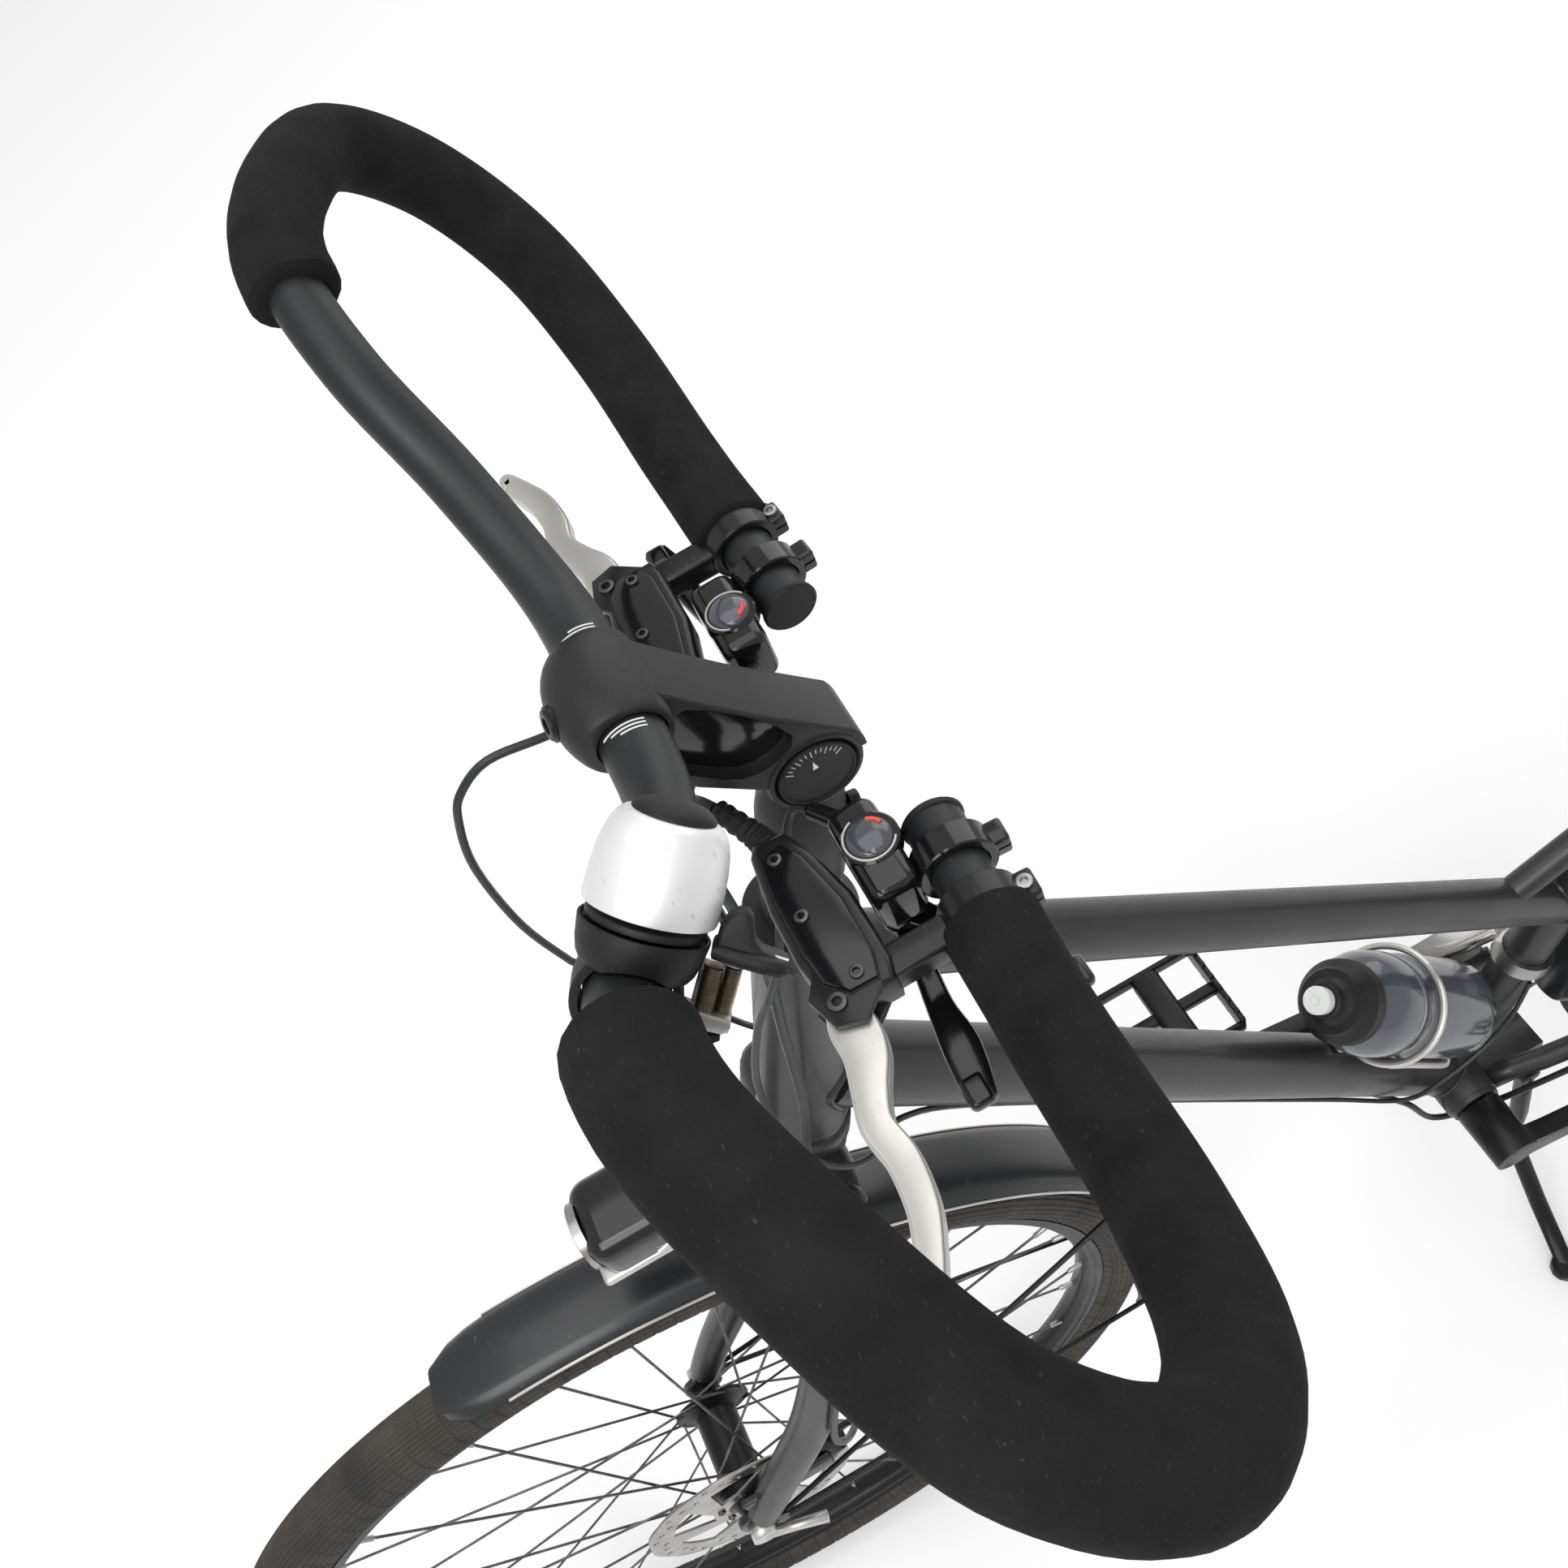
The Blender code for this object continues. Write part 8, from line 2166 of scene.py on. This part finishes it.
@dataclass
class Seat:
    """The seatpost with its clamp and rails, and the padded saddle."""

    length: float = 0.270
    width: float = 0.165
    thickness: float = 0.034
    head: float = 0.683
    shape: Sequence[tuple[float, float, float]] = (
        (-0.50, 0.42, 0.55), (-0.47, 0.78, 0.85), (-0.38, 0.98, 1.00), (-0.26, 1.00, 0.97),
        (-0.12, 0.78, 0.84), (0.02, 0.46, 0.76), (0.18, 0.30, 0.74), (0.34, 0.25, 0.74),
        (0.45, 0.21, 0.68), (0.50, 0.12, 0.42),
    )

    def base(self) -> Vector:
        """The middle of the saddle's underside."""
        return DRAWING.seat(self.head) + Vector((-0.016, 0, 0.046))

    def saddle(self) -> None:
        """The saddle, crowned, with a shallow channel and a stitched line along each flank."""
        base = self.base()
        section = (
            (-0.70, 0.04), (-0.93, 0.10), (-0.98, 0.30), (-0.92, 0.60), (-0.72, 0.84), (-0.44, 0.95),
            (-0.18, 0.975), (0, 0.93), (0.18, 0.975), (0.44, 0.95), (0.72, 0.84), (0.92, 0.60),
            (0.98, 0.30), (0.93, 0.10), (0.70, 0.04),
        )
        loops = []
        line = smooth(self.shape, 4)
        for share in line:
            along = min(max(share.x, -0.495), 0.495)
            loops.append([
                base + Vector((along * self.length, wide * share.y * self.width / 2 * 0.985,
                               high * share.z * self.thickness * 0.985))
                for wide, high in section
            ])
        saddle = modified(loft("saddle_pad", loops), "SUBSURF", levels=1, render_levels=1)
        fitted(saddle, SADDLE_SKIN, Body.SADDLE, "saddle", angle=50)
        seams = []
        for side in SIDES:
            route = [
                base + Vector((
                    min(max(share.x, -0.49), 0.49) * self.length,
                    side * share.y * self.width / 2 * 0.947,
                    0.49 * share.z * self.thickness,
                ))
                for share in line[2:-2]
            ]
            scales = [1 + 0.4 * (index % 2) for index in range(len(route))]
            seams.append(sweep("seam", route, 0.0009, 8, scales))
        fitted(fused("saddle_seams", *seams), RUBBER_BLACK, Body.SADDLE)

    def post(self) -> None:
        """The seatpost with its cradle, its bolts and the saddle's rails."""
        d = DRAWING
        base = self.base()
        head = d.seat(self.head)
        profile = (
            (0.385, 0.0131), (0.3856, 0.0135), (self.head - 0.012, 0.0135), (self.head - 0.004, 0.0128),
        )
        tube = lathe("tube", profile, d.bracket, d.seat_up, 48)
        profile = ((0.4, 0.01345), (0.4001, 0.01358), (0.4004, 0.01358), (0.4005, 0.01345))
        marks = [lathe("ring", profile, d.seat(0.110 + 0.010 * i), d.seat_up, 32) for i in range(6)]
        cradle = [
            brick("cradle", (0.036, 0.050, 0.0085), head + UP * 0.0010, edge=0.0030),
            brick("jaw", (0.032, 0.052, 0.0070), head + UP * 0.0088, edge=0.0028),
            brick(
                "neck", (0.020, 0.022, 0.016), head - d.seat_up * 0.006, d.seat_ahead, d.seat_up,
                0.004,
            ),
        ]
        fitted(fused("seatpost_tube", tube, *cradle), BLACK_PARTS, Body.SADDLE, "seatpost", angle=30)
        fitted(fused("seatpost_marks", *marks), WHITE_PRINT, Body.SADDLE)
        parts = []
        rail = head.z + 0.006
        for side in SIDES:
            route = smooth((
                (base.x - self.length * 0.40, side * 0.034, base.z - 0.001),
                (base.x - self.length * 0.36, side * 0.028, rail + 0.006),
                (base.x - self.length * 0.28, side * 0.023, rail),
                (base.x + self.length * 0.12, side * 0.022, rail),
                (base.x + self.length * 0.30, side * 0.012, rail + 0.008),
                (base.x + self.length * 0.36, side * 0.010, base.z - 0.001),
            ), 8)
            parts.append(sweep("rail", route, 0.0035, 16))
        for ahead in (0.011, -0.011):
            parts.append(screw("bolt", head + AHEAD * ahead + UP * 0.0120, UP, 0.0036, 0.003))
        fitted(fused("saddle_rails", *parts), BRIGHT_STEEL, Body.SADDLE)

    def build(self) -> None:
        """Builds the seat."""
        self.post()
        self.saddle()


@dataclass
class Bottle:
    """The bottle on the down tube with its cap, its nozzle and its wire cage."""

    radius: float = 0.0365
    offset: float = 0.067
    foot: float = 0.100
    length: float = 0.150
    hoop: float = 0.195
    wire: float = 0.0028

    def cage(self) -> None:
        """The cage: a spine, a hoop, two rails under the foot and a tongue."""
        d = DRAWING
        way = (d.down(1) - d.bracket).normalized()
        off = Vector((-way.z, 0, way.x))
        reach = self.radius + 0.0012 + self.wire
        hoop = [d.down(self.hoop, self.offset + x, y) for x, y in circle(reach, 64)]
        parts = [sweep("hoop", [*hoop, hoop[0]], self.wire * 0.93, 16)]
        foot = self.foot - 0.0033
        for side in SIDES:
            route = smooth([
                d.down(self.hoop, self.offset - 0.62 * reach, side * 0.8 * reach),
                d.down(self.hoop - 0.035, self.offset - 0.70 * reach, side * 0.72 * reach),
                d.down(foot + 0.030, self.offset - 0.73 * reach, side * 0.70 * reach),
                d.down(foot + 0.008, self.offset - 0.74 * reach, side * 0.69 * reach),
                d.down(foot, self.offset - 0.69 * reach, side * 0.64 * reach),
                d.down(foot, self.offset - 0.45 * reach, side * 0.38 * reach),
                d.down(foot, self.offset + 0.05 * reach, side * 0.16 * reach),
            ], 6)
            parts.append(sweep("rail", route, self.wire * 0.93, 16))
        low, high = 0.0231, self.offset - self.radius - 0.0012
        at = d.down(0.150, (low + high) / 2)
        parts.append(brick("spine", (high - low, 0.016, 0.120), at, off, way, 0.0020))
        at = d.down(foot, (low + self.offset) / 2 + 0.002)
        parts.append(brick("tongue", (0.042, 0.020, 0.0044), at, off, way, 0.0016))
        fitted(fused("cage_wire", *parts), BRUSHED_SILVER, Body.FRAME, "bottle_cage", angle=32)

    def build(self) -> None:
        """Builds the bottle and its cage."""
        d = DRAWING
        self.cage()
        at, way = d.down(self.foot, self.offset), d.down(1) - d.bracket
        r, long = self.radius, self.length
        profile = (
            (0.0, r - 0.0055), (0.0012, r - 0.0020), (0.004, r - 0.0003), (long * 0.10, r - 0.0002),
            (long * 0.55, r - 0.0002), (long * 0.575, r - 0.0012), (long * 0.60, r - 0.0032),
            (long * 0.66, r - 0.0032), (long * 0.685, r - 0.0012), (long * 0.71, r - 0.0003),
            (long - 0.020, r - 0.0006), (long - 0.012, r - 0.0030), (long - 0.006, r - 0.0064),
            (long, r - 0.0102),
        )
        shell = lathe("bottle_shell", profile, at, way, 72)
        fitted(shell, SMOKY_BOTTLE, Body.BOTTLE, "bottle", angle=50)
        low = long + 0.0003
        rings = [(low, r - 0.0090), (low + 0.0006, r - 0.0077)]
        for index in range(3):
            ridge = low + 0.0032 * index
            rings += [
                (ridge + 0.0030, r - 0.0078), (ridge + 0.0034, r - 0.0085),
                (ridge + 0.0040, r - 0.0085), (ridge + 0.0044, r - 0.0079),
            ]
        rings += [
            (low + 0.0128, r - 0.0088), (low + 0.0160, r - 0.0131), (low + 0.0172, r - 0.0138),
            (low + 0.0178, r - 0.0134), (low + 0.0206, r - 0.0149), (low + 0.0212, 0.0165),
            (low + 0.0240, 0.0132), (low + 0.0250, 0.0126), (low + 0.0300, 0.0121),
            (low + 0.0306, 0.0112),
        ]
        lid = lathe("bottle_lid", rings, at, way, 72)
        fitted(lid, MOULDED_BLACK, Body.BOTTLE, "bottle_cap", angle=32)
        profile = (
            (low + 0.0300, 0.0090), (low + 0.0330, 0.0088), (low + 0.0345, 0.0094),
            (low + 0.0385, 0.0094), (low + 0.0395, 0.0086), (low + 0.0398, 0.0036),
            (low + 0.0380, 0.0030),
        )
        nozzle = lathe("bottle_nozzle", profile, at, way, 40)
        fitted(nozzle, WHITE_PRINT, Body.BOTTLE, angle=32)


@dataclass
class Cables:
    """The two brake hoses and the two shift cables; all but the front hose are laid in two stretches."""

    hose: float = 0.0025
    cable: float = 0.0018
    caliper_reach: float = 0.0935

    @staticmethod
    def lay(
        name: str, route: Route, radius: float, body: Body, node: str, crossing: Body,
        split: int, stop: int,
    ) -> None:
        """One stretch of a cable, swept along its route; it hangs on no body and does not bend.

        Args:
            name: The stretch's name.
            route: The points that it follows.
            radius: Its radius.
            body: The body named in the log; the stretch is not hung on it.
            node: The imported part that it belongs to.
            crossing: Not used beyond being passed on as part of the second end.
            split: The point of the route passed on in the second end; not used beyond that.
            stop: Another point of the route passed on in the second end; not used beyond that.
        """
        line = smooth(route, 5)
        piece = sweep(name, line, radius, 12)
        second = (crossing, Vector(route[split]), Vector(route[stop]))
        fitted(piece, CABLE_BLACK, body, node, second=second)

    def build(self) -> None:
        """Lays the hoses and the cables."""
        d = DRAWING
        end = around(d.front_axle, self.caliper_reach, radians(150), 0.040)
        front = [
            (0.3869, -0.0106, 1.0675), (0.390, -0.003, 1.071), (0.395, 0.007, 1.0745),
            (0.400, 0.022, 1.062), (0.400, 0.031, 1.035), (0.403, 0.0300, 0.977),
            (0.411, 0.0300, 0.928), (0.422, 0.0335, 0.865), (0.434, 0.040, 0.828),
            (0.443, 0.055, 0.797), (0.444, 0.0665, 0.760), (0.468, 0.0690, 0.680),
            (0.492, 0.0700, 0.610), (0.526, 0.0725, 0.510), (0.527, 0.0690, 0.470),
            (0.5225, 0.0560, 0.438), (0.526, 0.0440, 0.4115),
            end + around(ORIGIN, 0.006, radians(150)), end,
        ]
        self.lay("front_hose", front, self.hose, Body.BAR, "front_brake_hose", Body.STEERING, 4, 6)
        under = -DOWN_TUBE_RADIUS - self.hose - 0.0005
        end = around(d.rear_axle, self.caliper_reach, radians(22), 0.050)
        rear = [
            (0.3869, 0.0106, 1.0670), (0.390, 0.003, 1.064), (0.394, -0.006, 1.058),
            (0.400, -0.018, 1.050), (0.408, -0.033, 1.020), (0.409, -0.040, 0.970),
            (0.412, -0.040, 0.920), (0.410, -0.037, 0.870), (0.400, -0.034, 0.825),
            (0.398, -0.030, 0.795), (0.396, -0.014, 0.768), d.down(0.600, under - 0.004),
            d.down(0.560, under), d.down(0.350, under), d.down(0.130, under), (0.075, 0.006, 0.335),
            (0.047, 0.016, 0.295), (0.029, 0.024, 0.259), (0, 0.030, 0.2470),
            (-0.030, 0.040, 0.262), (-0.080, 0.052, 0.285), (-0.120, 0.058, 0.300),
            (-0.250, 0.061, 0.325), (-0.290, 0.062, 0.350), (-0.320, 0.058, 0.375),
            end + around(ORIGIN, 0.020, radians(22)), end,
        ]
        self.halved("rear_hose", rear, self.hose, "rear_brake_hose", 5)
        under = -DOWN_TUBE_RADIUS - self.cable
        right = [
            (0.3573, -0.0286, 1.0632), (0.3625, -0.0235, 1.0670), (0.3710, -0.0260, 1.0735),
            (0.3800, -0.0340, 1.0785), (0.392, -0.040, 1.083), (0.410, -0.042, 1.0865),
            (0.430, -0.040, 1.092), (0.452, -0.040, 1.096), (0.467, -0.040, 1.088),
            (0.475, -0.040, 1.075), (0.483, -0.040, 1.044), (0.484, -0.038, 0.998),
            (0.478, -0.036, 0.959), (0.470, -0.032, 0.945), (0.452, -0.034, 0.895),
            (0.437, -0.036, 0.845), (0.430, -0.041, 0.815), (0.418, -0.040, 0.790),
            (0.402, -0.028, 0.766), d.down(0.560, under, -0.0095), d.down(0.350, under, -0.0095),
            d.down(0.110, under, -0.0095), (0.047, -0.0165, 0.293), (0.029, -0.0240, 0.258),
            (0, -0.029, 0.2475), (-0.050, -0.031, 0.262), (-0.100, -0.036, 0.274),
            (-0.250, -0.052, 0.298), (-0.360, -0.066, 0.316), (-0.395, -0.084, 0.300),
            (-0.440, -0.0945, 0.290), (-0.477, -0.0945, 0.289), (-0.493, -0.087, 0.298),
            (-0.486, -0.0830, 0.3065), d.rear_axle + Vector((-0.0230, -0.0823, -0.0395)),
        ]
        self.halved("right_shift_cable", right, self.cable, "shift_cable_right", 12)
        left = [
            (0.3573, 0.0286, 1.0632), (0.3625, 0.0235, 1.0600), (0.370, 0.0265, 1.0500),
            (0.380, 0.031, 1.032), (0.395, 0.040, 1.000), (0.408, 0.041, 0.976),
            (0.420, 0.037, 0.950), (0.434, 0.034, 0.902), (0.437, 0.043, 0.862),
            (0.430, 0.051, 0.835), (0.415, 0.050, 0.808), (0.398, 0.034, 0.780),
            (0.387, 0.018, 0.757), d.down(0.550, under, 0.0095), d.down(0.350, under, 0.0095),
            d.down(0.160, under, 0.0120), (0.062, 0.0278, 0.352), (0.030, 0.029, 0.350),
            (-0.005, 0.027, 0.362), (-0.030, 0.0235, 0.385), d.seat(0.1470, 0.006, 0.0192),
        ]
        self.halved("left_shift_cable", left, self.cable, "shift_cable_left", 5)

    def halved(self, name: str, route: Route, radius: float, node: str, cut: int) -> None:
        """A cable in two stretches: from the bar to the steering, and from there to the frame."""
        upper, lower = route[: cut + 1], route[cut:]
        self.lay(name + "_upper", upper, radius, Body.BAR, node, Body.STEERING, 1, len(upper) - 2)
        self.lay(name + "_lower", lower, radius, Body.STEERING, node, Body.FRAME, 1, 6)


ASSEMBLIES = (
    lambda: HANDLEBAR, Stem, Controls, Bell, Frame, Front, lambda: Wheel(True),
    lambda: Wheel(False), Drive, Seat, Bottle, Cables,
)


@dataclass
class Studio:
    """The pale floor, the soft lights and the camera."""

    lens: float = 35.70
    at: tuple[float, float, float] = (0.29618023, 0.35403642, 1.53047466)
    right: tuple[float, float, float] = (-0.86887231, 0.41239794, -0.2738409)
    up: tuple[float, float, float] = (-0.49440674, -0.69501906, 0.52202536)
    forward: tuple[float, float, float] = (-0.02495753, -0.58896217, -0.80777515)
    floor_half: float = 14.0

    def camera(self) -> None:
        """The camera, which stands where the photograph was taken."""
        data = bpy.data.cameras.new("camera")
        data.lens = self.lens
        data.sensor_width = 36
        data.clip_start = 0.01
        data.clip_end = 200
        camera = linked("camera", data)
        axes = Matrix((self.right, self.up, -Vector(self.forward))).transposed()
        camera.matrix_world = Matrix.Translation(self.at) @ axes.to_4x4()
        bpy.context.scene.camera = camera

    def pale(self, name: str, colour: tuple[float, float, float], lift: float) -> bpy.types.Material:
        """A matt pale material that the camera sees a little brighter than it is lit."""
        material = bpy.data.materials.new(name)
        material.use_nodes = True
        tree = material.node_tree
        path = tree.nodes.new("ShaderNodeLightPath")
        level = tree.nodes.new("ShaderNodeMath")
        level.operation = "MULTIPLY"
        level.inputs[1].default_value = lift
        tree.links.new(path.outputs["Is Camera Ray"], level.inputs[0])
        feed(
            tree, tree.nodes["Principled BSDF"], Base_Color=(*colour, 1), Roughness=0.9,
            Emission_Color=(1, 1, 1, 1), Emission_Strength=level.outputs[0],
        )
        return material

    def floor(self) -> None:
        """A wide floor that stands for the white background."""
        bpy.ops.object.select_all(action="DESELECT")
        bpy.ops.mesh.primitive_plane_add(size=2 * self.floor_half, location=(0, 0, -0.0005))
        floor = bpy.context.object
        floor.name = "floor"
        floor.data.materials.append(self.pale("floor_white", (0.88, 0.88, 0.885), 0.13))

    def world(self) -> None:
        """A white surround, seen as white and lighting the object softly."""
        world = bpy.data.worlds.new("white")
        bpy.context.scene.world = world
        world.use_nodes = True
        tree = world.node_tree
        path = tree.nodes.new("ShaderNodeLightPath")
        seen = tree.nodes.new("ShaderNodeMath")
        seen.operation = "MAXIMUM"
        tree.links.new(path.outputs["Is Camera Ray"], seen.inputs[0])
        tree.links.new(path.outputs["Is Transmission Ray"], seen.inputs[1])
        level = added(tree, "MapRange", To_Min=0.62, To_Max=1.0, Value=seen.outputs[0])
        strength = level.outputs["Result"]
        feed(tree, tree.nodes["Background"], Strength=strength, Color=(1, 1, 1, 1))

    def lamp(self, name: str, at: Vector, target: Vector, size: float, power: float) -> None:
        """A square soft light that points at a target."""
        data = bpy.data.lights.new(name, "AREA")
        data.shape = "SQUARE"
        data.size = size
        data.energy = power
        lamp = linked(name, data)
        lamp.matrix_world = Matrix.Translation(at) @ turn_to(Vector(at) - Vector(target))

    def build(self) -> None:
        """Builds the studio."""
        bpy.context.scene.view_settings.view_transform = "Standard"
        self.camera()
        self.world()
        self.floor()
        middle = Vector((0.1, 0, 0.7))
        self.lamp("key", Vector((1.6, 2.0, 3.4)), middle, 2.2, 60)
        self.lamp("fill", Vector((-2.2, -2.4, 2.6)), middle, 3.0, 40)
        self.lamp("top", Vector((0.2, 0.0, 4.2)), middle, 3.5, 50)


def main() -> None:
    """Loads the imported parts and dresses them."""
    logging.basicConfig(level=logging.INFO, format="%(name)s: %(message)s")
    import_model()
    Studio().build()
    for maker in ASSEMBLIES:
        maker().build()


if __name__ == "__main__":
    main()
